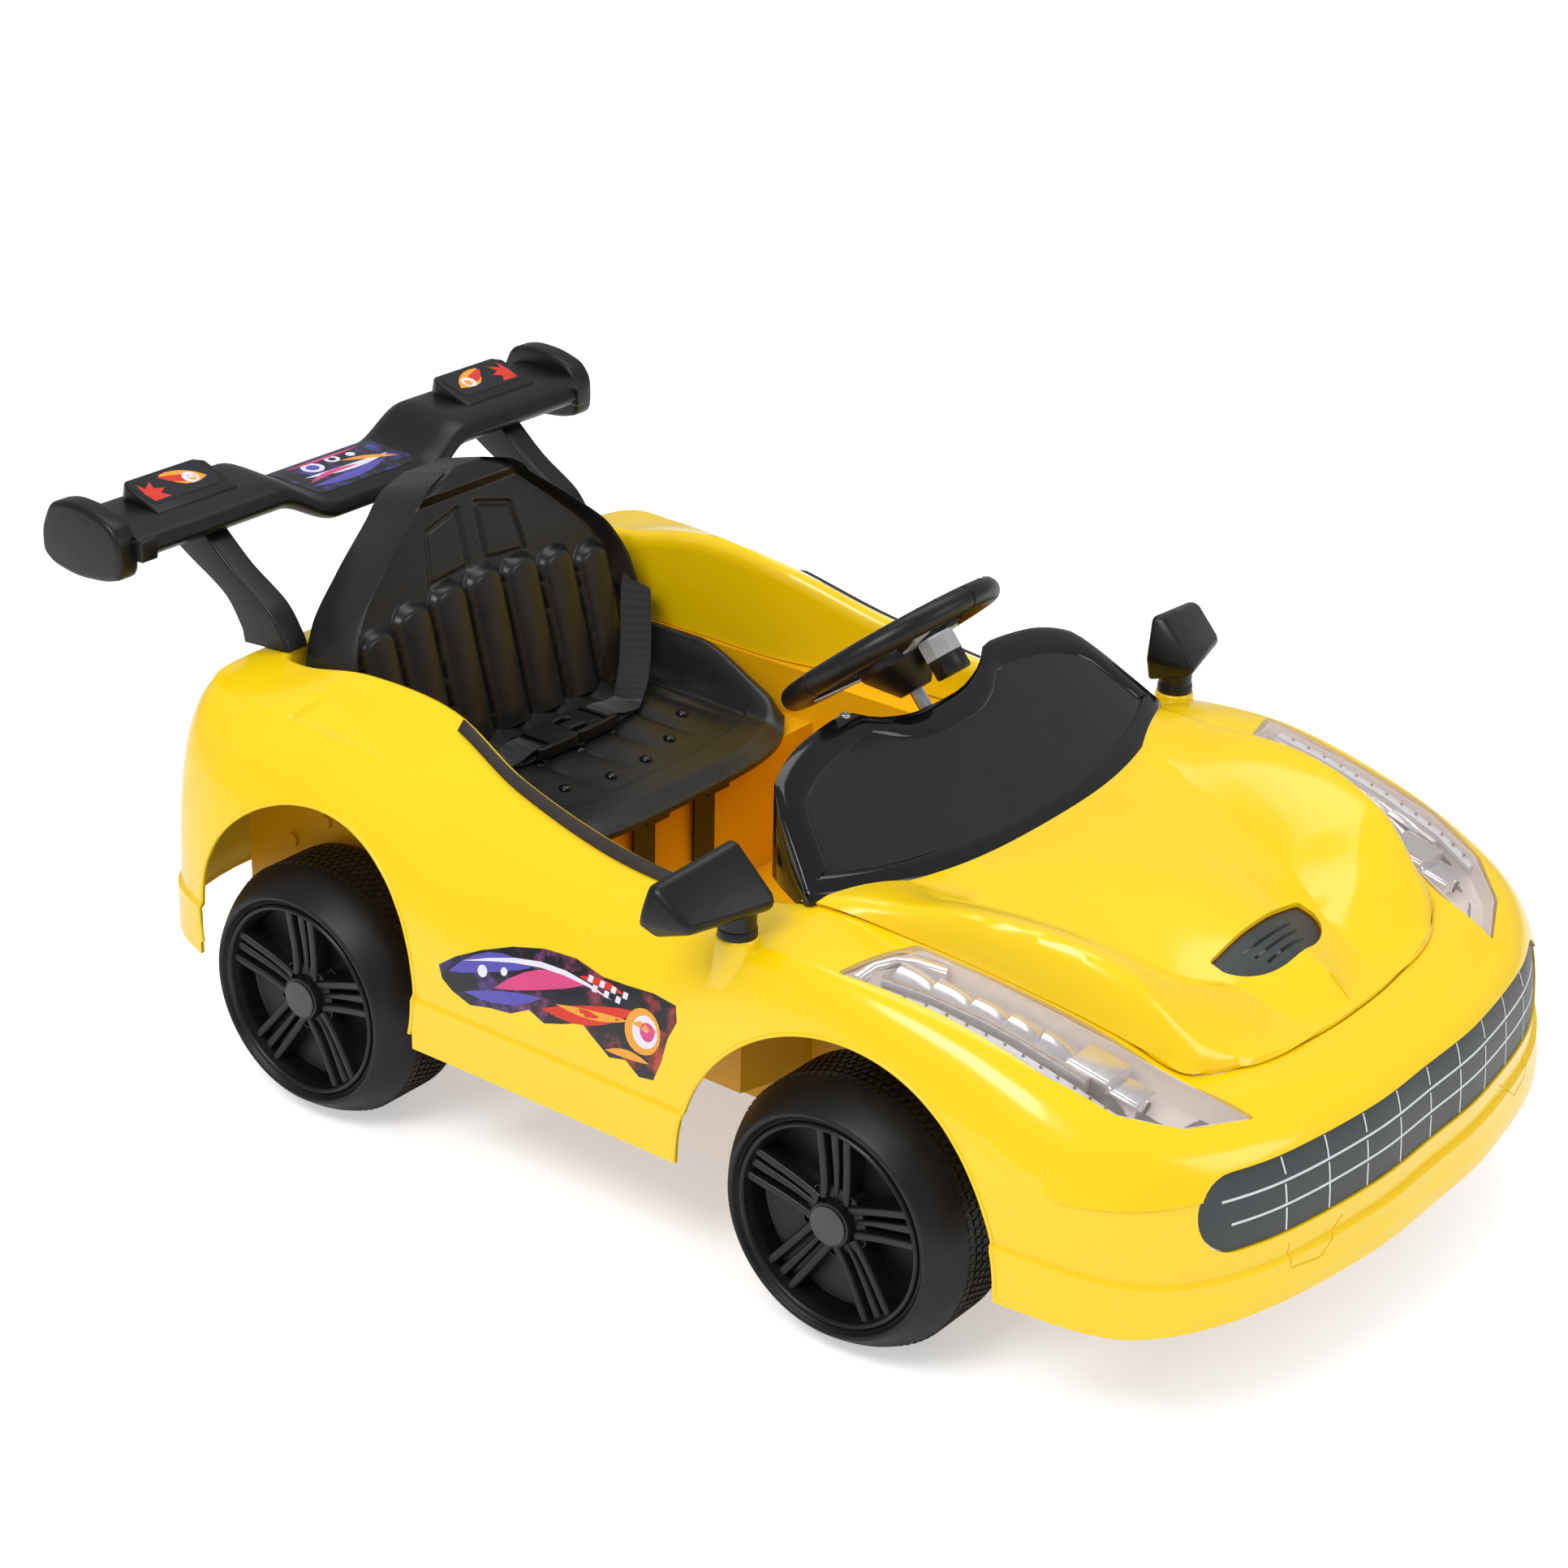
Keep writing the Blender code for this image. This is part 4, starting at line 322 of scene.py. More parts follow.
def solid(name, verts, faces, material, angle=35, closed=True):
    """Mesh object at the origin. A closed one gets its faces turned outwards."""
    mesh = bpy.data.meshes.new(name)
    mesh.from_pydata([(float(v[0]) + SHIFT, float(v[1]), float(v[2])) for v in verts], [],
                     [tuple(f) for f in faces])
    if closed:
        work = bmesh.new()
        work.from_mesh(mesh)
        bmesh.ops.remove_doubles(work, verts=work.verts, dist=1e-6)
        bmesh.ops.recalc_face_normals(work, faces=work.faces)
        work.to_mesh(mesh)
        work.free()
    mesh.materials.append(material)
    shade(mesh, angle)
    return placed(name, mesh)


def flatten(rows):
    return [point for row in rows for point in row]


def grid_faces(rows, columns, wrap=False):
    span = columns if wrap else columns - 1
    return [(i * columns + j, i * columns + (j + 1) % columns,
             (i + 1) * columns + (j + 1) % columns, (i + 1) * columns + j)
            for i in range(rows - 1) for j in range(span)]


def sheet(name, rows, material, wrap=False, angle=35, flip=False):
    """Open surface through rows of points."""
    faces = grid_faces(len(rows), len(rows[0]), wrap)
    if flip:
        faces = [f[::-1] for f in faces]
    return solid(name, flatten(rows), faces, material, angle, False)


def loft(name, rings, material, angle=35):
    """Solid through rings of equally many points, closed by a flat face at each end."""
    count, total = len(rings[0]), len(rings) * len(rings[0])
    faces = grid_faces(len(rings), count, wrap=True)
    faces += [tuple(range(count)), tuple(range(total - count, total))[::-1]]
    return solid(name, flatten(rings), faces, material, angle)


def hoop(name, rings, material, angle):
    """Solid through rings that come back to the first one."""
    rings = rings + [rings[0]]
    return solid(name, flatten(rings), grid_faces(len(rings), len(rings[0]), wrap=True),
                 material, angle)


def prism(name, outline, axis, low, high, material=GREY_PLASTIC):
    """Flat outline pulled along one axis, mostly as a cutting tool."""
    slot = "xyz".index(axis)
    rings = [[tuple(np.insert(np.array(p, float), slot, level)) for p in outline]
             for level in (low, high)]
    return loft(name, rings, material)


def full_turn(count):
    return np.linspace(0, 2 * math.pi, count, endpoint=False)


def polar(radius, angle, height=0.0):
    return Vector((radius * math.cos(angle), radius * math.sin(angle), height))


def turned(name, profile, material, at, sides, angle=35, turn=None, closed=True):
    """(radius, height) profile turned about local Z, then placed by turn and at. A closed
    profile comes back to its start, an open one gets flat ends."""
    turn = turn or Matrix.Identity(3)
    rings = [[Vector(at) + turn @ polar(radius, a, height) for a in full_turn(sides)]
             for radius, height in profile]
    return (hoop if closed else loft)(name, rings, material, angle)


def swept(name, path, radius, material, sides, closed=False):
    """Round bar along a path of points."""
    path = [Vector(p) for p in path]
    count = len(path)
    rings = []
    side = None
    for k in range(count):
        ahead = path[(k + 1) % count] if closed or k < count - 1 else path[k]
        behind = path[k - 1] if closed or k else path[k]
        along = (ahead - behind).normalized()
        if side is None:
            side = along.orthogonal().normalized()
        side = (side - along * side.dot(along)).normalized()
        other = along.cross(side)
        rings.append([path[k] + (side * math.cos(a) + other * math.sin(a)) * radius
                      for a in full_turn(sides)])
    return (hoop if closed else loft)(name, rings, material, 60)


# %% Cutting, joining and rounding
def settle(item, angle=35):
    """Turn a piece and its modifiers into one plain mesh."""
    bpy.context.view_layer.update()
    graph = bpy.context.evaluated_depsgraph_get()
    done = bpy.data.meshes.new_from_object(item.evaluated_get(graph))
    item.modifiers.clear()
    item.data = done
    shade(done, angle)
    return item


def joined(name, items):
    """One mesh out of several pieces, which are removed. Their materials stay."""
    work = bmesh.new()
    finishes = []
    for item in items:
        start = len(work.faces)
        work.from_mesh(item.data)
        work.faces.ensure_lookup_table()
        for face in work.faces[start:]:
            finish = item.data.materials[face.material_index]
            if finish not in finishes:
                finishes.append(finish)
            face.material_index = finishes.index(finish)
    mesh = bpy.data.meshes.new(name)
    work.to_mesh(mesh)
    work.free()
    for finish in finishes:
        mesh.materials.append(finish)
    for item in items:
        bpy.data.objects.remove(item)
    return placed(name, mesh)


def carve(item, tool, operation="DIFFERENCE", angle=35):
    """Cut with or join with a tool, which is then removed."""
    cut = item.modifiers.new("carve", "BOOLEAN")
    cut.operation = operation
    cut.solver = "EXACT"
    cut.object = tool
    settle(item, angle)
    bpy.data.objects.remove(tool)


def thicken(item, thickness, offset=-1.0):
    """Give a surface its wall."""
    wall = item.modifiers.new("wall", "SOLIDIFY")
    wall.thickness = thickness
    wall.offset = offset
    wall.use_even_offset = False
    return settle(item)


def round_edges(item, width, segments, limit, angle=40):
    """Round each edge that bends by more than the limit."""
    edge = item.modifiers.new("edge", "BEVEL")
    edge.width = width
    edge.segments = segments
    edge.limit_method = "ANGLE"
    edge.angle_limit = math.radians(limit)
    edge.harden_normals = False
    return settle(item, angle)


def dress(item, body, slot, *nodes):
    """Let a finished piece ride on its body and stand for the solids it replaces."""
    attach(item, body)
    if nodes:
        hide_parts(*nodes)
    print(f"{item.name}: {len(item.data.polygons)} faces")


# %% Curves and surfaces
def smoothstep(value):
    t = min(max(value, 0.0), 1.0)
    return t * t * (3 - 2 * t)


def curve_through(knots, x):
    """Smooth line through (x, value) knots, which never swings past a knot."""
    xs = [k[0] for k in knots]
    ys = [k[1] for k in knots]
    i = int(min(max(np.searchsorted(xs, x) - 1, 0), len(xs) - 2))

    def slope(k):
        if k == 0 or k == len(xs) - 1:
            a, b = (0, 1) if k == 0 else (-2, -1)
            return (ys[b] - ys[a]) / (xs[b] - xs[a])
        left = (ys[k] - ys[k - 1]) / (xs[k] - xs[k - 1])
        right = (ys[k + 1] - ys[k]) / (xs[k + 1] - xs[k])
        return 0.0 if left * right <= 0 else 2 * left * right / (left + right)

    span = xs[i + 1] - xs[i]
    t = min(max((x - xs[i]) / span, 0.0), 1.0)
    return (ys[i] * (1 + 2 * t) * (1 - t) ** 2 + slope(i) * span * t * (1 - t) ** 2
            + ys[i + 1] * t * t * (3 - 2 * t) + slope(i + 1) * span * t * t * (t - 1))


def arc(centre, radius, start, end, count):
    """Points on a circle, from one angle in degrees to another."""
    return [(centre[0] + radius * math.cos(a), centre[1] + radius * math.sin(a))
            for a in np.radians(np.linspace(start, end, count))]


def softened(corners, steps, share=0.0, cut=0.0):
    """Outline with bent corners: each bend starts a share of the side, or a length, away."""
    line = []
    for k in range(len(corners)):
        before, here, after = (np.array(corners[(k + j) % len(corners)]) for j in (-1, 0, 1))
        a, b = (here + (end - here) * (share or cut / np.linalg.norm(end - here))
                for end in (before, after))
        line += [tuple((1 - t)**2 * a + 2 * t * (1 - t) * here + t * t * b) for t in steps]
    return line


def rounded_box(width, height, radius):
    """Outline of a rectangle round the origin with quarter-round corners."""
    return [(cx * (width / 2 - radius) + radius * math.cos(a),
             cy * (height / 2 - radius) + radius * math.sin(a))
            for cx, cy, start in ((1, 1, 0), (-1, 1, 90), (-1, -1, 180), (1, -1, 270))
            for a in np.radians(np.linspace(start, start + 90, 6))]


def surface_of(item):
    """Tree for looking up a piece's surface, so that other things can be laid on it."""
    return BVHTree.FromPolygons([v.co for v in item.data.vertices],
                                [tuple(p.vertices) for p in item.data.polygons])


def drop_on(surface, x, y, height=1.0):
    """Point and upward normal of a surface below x and y, or None twice."""
    spot, normal = surface.ray_cast(Vector((x + SHIFT, y, height)), Vector((0, 0, -1)))[:2]
    if spot is None:
        return None, None
    return Vector((spot.x - SHIFT, spot.y, spot.z)), normal * (1 if normal.z > 0 else -1)


# %% [markdown]
# ## The camera
# The photograph was taken from high up at the front right corner with a long lens. The camera is
# worked out from matched points, so its place, turn and focal length are numbers, not guesses.

# %% Camera
AZIMUTH, ELEVATION, ROLL = (math.radians(a) for a in (52.564, 24.916, 1.493))
CAMERA_PLACE = (1.5592 + SHIFT, -1.7656, 1.2588)
FOCAL_PIXELS, PHOTO_PIXELS, SENSOR_MM = 4187.82, 1932, 36.0
towards = Vector((math.cos(ELEVATION) * math.cos(AZIMUTH),
                  -math.cos(ELEVATION) * math.sin(AZIMUTH), math.sin(ELEVATION)))
right = (-towards).cross(Vector((0, 0, 1))).normalized()
above = right.cross(-towards)
level_x = right * math.cos(ROLL) + above * math.sin(ROLL)
level_y = above * math.cos(ROLL) - right * math.sin(ROLL)
optics = bpy.data.cameras.new("camera")
optics.sensor_width = SENSOR_MM
optics.lens = FOCAL_PIXELS / PHOTO_PIXELS * SENSOR_MM
optics.clip_start, optics.clip_end = 0.05, 50
camera = placed("camera", optics)
camera.matrix_world = (Matrix.Translation(CAMERA_PLACE)
                       @ Matrix((level_x, level_y, towards)).transposed().to_4x4())
bpy.context.scene.camera = camera
print("lens mm:", round(optics.lens, 2))

# %% [markdown]
# ## Guide lines of the body
# The body is one big moulding. It was first measured as a row of stations round the car, from
# the middle of the tail to the middle of the nose: the widest line, the shoulder, the inner rim,
# and how upright the side is. A smooth curve through the stations gives a section anywhere, so
# the skin can be drawn as finely as a picture needs. Lamps, grille, trims and stickers are all
# placed on this same skin, so they lie flush by themselves. A row of the table holds x and y of
# the widest line, x, y, z of the shoulder, x, y, z of the rim, how upright the side is and the
# slope at the shoulder in degrees.

# %% Stations
STATIONS = (
    (-0.165, 0.000, -0.150, 0.000, 0.286, -0.134, 0.000, 0.289, 0.80, 50),
    (-0.163, 0.120, -0.149, 0.110, 0.287, -0.133, 0.095, 0.290, 0.80, 50),
    (-0.157, 0.243, -0.140, 0.222, 0.288, -0.124, 0.168, 0.291, 0.84, 52),
    (-0.103, 0.285, -0.095, 0.241, 0.285, -0.088, 0.186, 0.2945, 0.86, 52),
    (-0.020, 0.289, -0.020, 0.240, 0.281, -0.020, 0.188, 0.307, 0.86, 52),
    (0.070, 0.289, 0.070, 0.239, 0.270, 0.060, 0.188, 0.3025, 0.78, 50),
    (0.150, 0.288, 0.150, 0.240, 0.255, 0.140, 0.203, 0.2785, 0.55, 45),
    (0.240, 0.288, 0.240, 0.246, 0.243, 0.240, 0.2125, 0.2610, 0.45, 42),
    (0.330, 0.288, 0.330, 0.256, 0.249, 0.330, 0.2125, 0.2575, 0.60, 32),
    (0.400, 0.288, 0.400, 0.262, 0.260, 0.400, 0.205, 0.2690, 0.74, 24),
    (0.470, 0.288, 0.470, 0.261, 0.262, 0.467, 0.192, 0.2620, 0.78, 18),
    (0.545, 0.288, 0.545, 0.253, 0.2515, 0.545, 0.183, 0.2510, 0.72, 18),
    (0.615, 0.283, 0.612, 0.242, 0.234, 0.603, 0.173, 0.2370, 0.74, 20),
    (0.679, 0.2545, 0.661, 0.2165, 0.2145, 0.645, 0.158, 0.2170, 0.82, 16),
    (0.721, 0.182, 0.699, 0.153, 0.203, 0.669, 0.112, 0.2130, 0.88, 12),
    (0.740, 0.080, 0.717, 0.070, 0.199, 0.679, 0.050, 0.2105, 0.90, 10),
    (0.742, 0.000, 0.719, 0.000, 0.198, 0.681, 0.000, 0.2100, 0.90, 10),
)
LAST = len(STATIONS) - 1
COCKPIT_FROM, COCKPIT_TO = 3.0, 8.6
WALL = 0.003
UP = np.array((0.0, 0.0, 1.0))


def station(u):
    """Smooth row of the table at u, mirrored past the car's middle plane."""
    i = min(int(u), LAST - 1)
    t = u - i

    def row(k):
        if 0 <= k <= LAST:
            return np.array(STATIONS[k], float)
        twin = np.array(STATIONS[-k if k < 0 else 2 * LAST - k], float)
        twin[[1, 3, 6]] *= -1
        return twin

    a, b, c, d = row(i - 1), row(i), row(i + 1), row(i + 2)
    return 0.5 * (2 * b + (c - a) * t + (2 * a - 5 * b + 4 * c - d) * t * t
                  + (3 * b - a - 3 * c + d) * t**3)


def guides(u):
    """Widest line, shoulder and rim points, fullness and shoulder slope at u."""
    row = station(u)
    return (np.array((row[0], row[1], 0.0)), row[2:5], row[5:8], row[8],
            math.radians(row[9]))


def side_curve(u):
    """Four control points of the side from the skirt crease to the shoulder."""
    wide, shoulder, _, full, slope = guides(u)
    noseness = smoothstep((u - 11.5) / 2.5)
    crease = 0.1355 + (0.1180 - 0.1355) * noseness
    foot = wide + (crease + 0.002) * UP
    flat = wide - shoulder * (1, 1, 0)
    reach = float(np.linalg.norm(flat))
    out = flat / reach
    handle = 0.45 * reach
    return (foot, foot + UP * full * (shoulder[2] - foot[2]),
            shoulder + out * handle * math.cos(slope) - UP * handle * math.sin(slope),
            shoulder), out, noseness, crease


def inward(u):
    """Level direction from the shoulder towards the rim."""
    shoulder, rim = guides(u)[1:3]
    flat = (rim - shoulder) * (1, 1, 0)
    return flat / float(np.linalg.norm(flat))


def plain_skin(u, v):
    """Skin point: v runs 0 to 1 up the side and 1 to 2 over the deck."""
    if v <= 1:
        a, b, c, d = side_curve(u)[0]
        s = 1 - v
        return s**3 * a + 3 * s * s * v * b + 3 * s * v * v * c + v**3 * d
    shoulder, rim = guides(u)[1:3]
    t = v - 1
    return shoulder * (1 - t) + rim * t + 4 * t * (1 - t) * 0.0025 * smoothstep((u - 8) / 2) * UP


print("stations:", LAST + 1, "left shoulder at the rear wheel:", guides(4.0)[1].round(3))

# %% [markdown]
# ## Moulded-in details of the skin
# A toy maker folds stiffness into a thin wall: a scalloped notch behind the seat, a fold line
# that runs from the front arch to the grille, and a chin that sweeps out into a rounded lip. All
# three are small moves of the skin's own points, so their edges stay crisp and the wall stays
# even. The points are set closer where a fold runs, because a mesh can't bend between points.

# %% Notch, fold line and chin lip
FOLD_Z = 0.1745


def notch(u, t):
    """Depth of the scallop cut into the rear deck, at t from the shoulder to the rim."""
    edge = 3.60 + 0.14 * t
    start = smoothstep((u - edge) / 0.05)
    fade = 1 - smoothstep((u - edge) / 1.5)
    across = smoothstep(t / 0.16) * (1 - smoothstep((t - 0.42) / 0.45))
    return 0.0060 * start * fade * across


def fold_share(u):
    """Where on the side (0 to 1) the fold line lies."""
    if u < 11.5:
        return 0.38
    low, high = 0.0, 1.0
    for _ in range(20):
        middle = 0.5 * (low + high)
        low, high = (middle, high) if plain_skin(u, middle)[2] < FOLD_Z else (low, middle)
    return low + (0.38 - low) * (1 - smoothstep((u - 11.5) / 0.8))


def fold_out(u, z):
    """How far the skin above the fold line stands proud."""
    window = smoothstep((u - 11.9) / 0.5) * (1 - smoothstep((u - 14.0) / 0.5))
    return 0.0016 * window * math.exp(-max(z - FOLD_Z, 0) / 0.022)


# Turned-in edge as (inwards, down) from the rim: behind the cockpit, round it and at the bonnet.
TAIL_EDGE = ((0.0022, 0.0007), (0.0040, 0.0023), (0.0052, 0.0045), (0.0063, 0.0110),
             (0.0070, 0.0220))
COCKPIT_EDGE = ((0.0030, 0.0010), (0.0058, 0.0034), (0.0080, 0.0072), (0.0092, 0.0130))
COCKPIT_EDGE_Z = 0.2262
BONNET_STEP = ((0.0004, 0.0006), (0.0004, 0.0030), (0.0004, 0.0053), (0.0050, 0.0053),
               (0.0100, 0.0053))


def body_section(u):
    """Half section from the bottom edge over the rim to the inner edge."""
    out, noseness, crease = side_curve(u)[1:]
    wide, _, rim = guides(u)[:3]
    tailness = smoothstep((2.6 - u) / 1.2)
    bottom = 0.098 + (0.091 - 0.098) * noseness
    bottom += (0.110 - bottom) * tailness - 0.004 * math.exp(-((u - 12.9) / 0.8) ** 2)
    proud = 0.003 + 0.004 * noseness + 0.005 * tailness
    top_out = 0.003 + 0.25 * (proud - 0.003)
    lip = 0.006 + 0.005 * noseness
    points = [wide + out * proud + bottom * UP, wide + out * proud + (bottom + 0.7 * lip) * UP]
    for q in (1.0, 0.8, 0.6, 0.4, 0.2, 0.0):
        z = crease - (crease - bottom - lip) * q
        points.append(wide + out * (top_out + (proud - top_out) * q * q * 0.94) + z * UP)
    fold = fold_share(u)
    shares = list(np.linspace(0.0, fold - 0.012, 5)) + [fold]
    for k, v in enumerate(shares + list(np.linspace(fold + 0.004, 1.0, 13))):
        point = plain_skin(u, v)
        if k > len(shares) - 1:
            point = point + out * fold_out(u, point[2])
        points.append(point)
    for t in (0.06, 0.12, 0.2, 0.3, 0.42, 0.55, 0.7, 0.85, 0.96, 1.0):
        points.append(plain_skin(u, 1 + t) - notch(u, t) * UP)
    inner = inward(u)
    if u < COCKPIT_FROM:
        steps = TAIL_EDGE
    elif u <= COCKPIT_TO:
        steps = COCKPIT_EDGE + ((0.0095, rim[2] - COCKPIT_EDGE_Z),)
    else:
        steps = BONNET_STEP
    return points + [rim + inner * a - b * UP for a, b in steps]


# %% Draw the skin as one closed ring
def around(step):
    """Values of u from tail to nose, closer together where the notch steps down."""
    values = list(np.arange(0, LAST + 1e-6, step)) + list(np.arange(3.58, 3.84, 0.02))
    return sorted({round(float(u), 4) for u in values + [COCKPIT_TO, COCKPIT_TO + 0.01]})


def ring_rows(section, steps):
    """Rows that run right round the car, from sections of its left half."""
    left = [section(u) for u in steps]
    for points in (left[0], left[-1]):
        for point in points:
            point[1] = 0.0
    right = [[p * (1, -1, 1) for p in points] for points in left[1:-1][::-1]]
    return [[points[k] for points in left + right] for k in range(len(left[0]))]


body = sheet("body_moulding", ring_rows(body_section, around(0.125)), BODY_YELLOW, wrap=True,
             flip=True)
SKIN_TREE = surface_of(body)


def skin_hit(x, y, z, axis):
    """Point and outward normal of the skin, looking along an axis towards the middle."""
    slot = "xyz".index(axis)
    side = -1 if (x, y, z)[slot] < 0 else 1
    start = Vector((x + SHIFT, y, z))
    start[slot] = side
    ray = Vector((0, 0, 0))
    ray[slot] = -side
    spot, normal = SKIN_TREE.ray_cast(start, ray)[:2]
    if spot is None:
        return None, None
    if normal.dot(ray) > 0:
        normal = -normal
    return Vector((spot.x - SHIFT, spot.y, spot.z)), normal


thicken(body, WALL)
print("skin faces:", len(body.data.polygons))

# %% [markdown]
# ## Openings
# The real openings come out of the mould. Here they are cut: four wheel arches, two lamp
# openings, the grille and two round tail lamps. Tools that don't touch are joined and cut in one
# exact Boolean, which is quick and leaves one clean result.

# %% Openings in the skin
ARCHES = (("rear", (0.007, 0.135), 0.106, 0.222), ("front", (0.474, 0.1015), 0.1255, 0.236))
LAMP_CORNERS = ((9.75, 1.02), (10.02, 1.93), (10.6, 1.93), (11.3, 1.93), (12.15, 1.91),
                (13.95, 1.03), (13.3, 0.95), (12.6, 0.94), (11.8, 0.98), (10.8, 1.06))
GRILLE_Z, GRILLE_RADIUS, GRILLE_REACH = 0.162, 0.026, 0.196
TAIL_LAMP_Y, TAIL_LAMP_Z, TAIL_LAMP_RADIUS = 0.150, 0.235, 0.020


def lamp_outline(sign, grow=0.0):
    """Plan outline of a headlamp with slightly rounded corners."""
    flat = np.array([plain_skin(u, v)[:2] * (1, sign) for u, v in LAMP_CORNERS])
    middle = flat.mean(axis=0)
    away = flat - middle
    flat = middle + away * (1 + grow / np.linalg.norm(away, axis=1))[:, None]
    return softened(flat, np.linspace(0, 1, 4), cut=0.0035)


def grille_outline(grow=0.0):
    """Outline of the grille in y and z: two half circles and the straight lines between."""
    return (arc((GRILLE_REACH, GRILLE_Z), GRILLE_RADIUS + grow, -90, 90, 17)
            + arc((-GRILLE_REACH, GRILLE_Z), GRILLE_RADIUS + grow, 90, 270, 17))


tools = []
for _, centre, radius, inner_y in ARCHES:
    outline = arc(centre, radius, 0, 180, 61)
    outline += [(centre[0] - radius - 0.001, 0.05), (centre[0] + radius + 0.001, 0.05)]
    tools.append(prism("tool", outline, "y", inner_y, 0.32))
    tools.append(prism("tool", outline, "y", -0.32, -inner_y))
for _, sign in SIDES:
    hole = arc((sign * TAIL_LAMP_Y, TAIL_LAMP_Z), TAIL_LAMP_RADIUS, 0, 354, 60)
    tools.append(prism("tool", hole, "x", -0.20, -0.13))
tools.append(prism("tool", grille_outline(), "x", 0.60, 0.78))
carve(body, joined("tools", tools))
lamps = [prism("tool", lamp_outline(sign), "z", 0.19, 0.30) for _, sign in SIDES]
carve(body, joined("lamps", lamps))
print("opened skin:", len(body.data.polygons))

# %% [markdown]
# ## Mirror cones and chin grooves
# Each mirror's stub stands on a short cone moulded into the deck, so the cones are joined to the
# skin by a union and leave no seam. On each side of the chin runs a groove with three legs. It is
# made by a thin bar that follows the skin and is cut out of it.

# %% Cones under the mirrors, chin grooves
MIRROR_X, MIRROR_Y, MIRROR_Z = 0.3725, 0.260, 0.2625
cones = [turned("cone", [(0.0170, -0.034), (0.0160, -0.018), (0.0143, -0.002),
                         (0.0138, -0.0006), (0.0132, 0.0)], BODY_YELLOW,
                (MIRROR_X, sign * MIRROR_Y, MIRROR_Z), sides=48, closed=False)
         for _, sign in SIDES]
carve(body, joined("cones", cones), "UNION")
CHIN_CORNERS = ((0.156, 0.129), (0.158, 0.112), (0.130, 0.109), (0.104, 0.129))
grooves = []
for _, sign in SIDES:
    path = []
    for (ya, za), (yb, zb) in zip(CHIN_CORNERS, CHIN_CORNERS[1:]):
        for t in np.linspace(0.06, 0.94, 9):
            path.append(skin_hit(0, sign * (ya + (yb - ya) * t), za + (zb - za) * t, "x")[0])
    path = [p for p in path if p is not None]
    grooves.append(swept("groove", path, 0.0008, BODY_YELLOW, sides=6))
carve(body, joined("grooves", grooves))
dress(body, "car", "body_yellow", "body_shell")


# %% [markdown]
# ## Rolled lips
# A moulded arch ends in a thin rolled lip, which catches a bright line. Here a thin bar is swept
# along the arch, on points found by looking at the skin from the side.

# %% Rolled lips round the arches
for place, centre, radius, _ in ARCHES:
    for side, sign in SIDES:
        path = []
        for x, z in arc(centre, radius + 0.0009, -14, 194, 90):
            spot, normal = skin_hit(x, sign * 0.3, z, "y")
            if spot is not None and z > 0.1:
                path.append(spot - normal * 0.0004)
        lip = swept(f"{place}_arch_lip_{side}", path, 0.0016, BODY_YELLOW, sides=8)
        dress(lip, "car", "body_yellow")

# %% [markdown]
# ## Bonnet
# The bonnet is a separate moulding dropped into a step in the body. Two power ridges rise from
# the windscreen and run in towards the nose, with a crisp inner foot and a soft outer fall. A
# plain grid would blur that foot, so in every section one row of points is placed exactly on the
# crest and one exactly on the foot, and the rest are spread between them.

# %% Bonnet shape
SPINE = ((0.36, 0.2700), (0.438, 0.2645), (0.53, 0.2550), (0.60, 0.2430), (0.640, 0.2325),
         (0.665, 0.2200), (0.681, 0.2100))
RIDGE = (
    (0.380, 0.200, 0.150, 0.000),
    (0.440, 0.188, 0.135, 0.011),
    (0.480, 0.181, 0.122, 0.022),
    (0.520, 0.175, 0.111, 0.030),
    (0.560, 0.167, 0.098, 0.034),
    (0.600, 0.157, 0.075, 0.033),
    (0.620, 0.151, 0.060, 0.028),
    (0.640, 0.142, 0.056, 0.018),
    (0.655, 0.132, 0.054, 0.009),
    (0.668, 0.110, 0.052, 0.003),
    (0.681, 0.090, 0.050, 0.000),
)
SEAM_GAP = 0.0008
BONNET_FROM = 8.75


def spine_height(x):
    return curve_through(SPINE, x)


def ridge_row(x):
    return [curve_through([(r[0], r[k]) for r in RIDGE], min(max(x, 0.38), 0.681))
            for k in (1, 2, 3)]


def ridge(x, y, seam_y):
    """Height of the power ridges: a quarter wave up to the crest, then a soft fall."""
    crest, foot, height = ridge_row(x)
    if y < foot:
        return 0.0
    if y < crest:
        return height * math.sin(0.5 * math.pi * (y - foot) / (crest - foot))
    share = min((y - crest) / max(seam_y - crest, 0.002), 1.0)
    return height * math.cos(0.5 * math.pi * share)


def seam_y(x):
    """Half width of the bonnet's opening at x."""
    return float(np.interp(x, [r[5] for r in STATIONS[8:]], [r[6] for r in STATIONS[8:]]))


def bonnet_point(u, w):
    """Bonnet point: w runs from 0 at the seam to 1 on the middle line."""
    rim = guides(u)[2]
    share = (u - BONNET_FROM) / (LAST - BONNET_FROM)
    spine_x = 0.393 + (0.655 - 0.393) * share
    edge = rim + inward(u) * SEAM_GAP
    spine = np.array((spine_x, 0.0, spine_height(spine_x)))
    point = edge * (1 - w) + spine * w
    base = edge[2] + (spine_height(point[0]) - edge[2]) * smoothstep(w * 1.1)
    swell = ridge(point[0], point[1], seam_y(point[0])) if w > 0 else 0.0
    return np.array((point[0], point[1], base + swell))


def where(u, line):
    """Share w at which the section at u crosses the ridge's crest (0) or foot (1)."""
    low, high = 0.0, 1.0
    for _ in range(22):
        middle = 0.5 * (low + high)
        point = bonnet_point(u, middle)
        low, high = (middle, high) if point[1] > ridge_row(point[0])[line] else (low, middle)
    return low


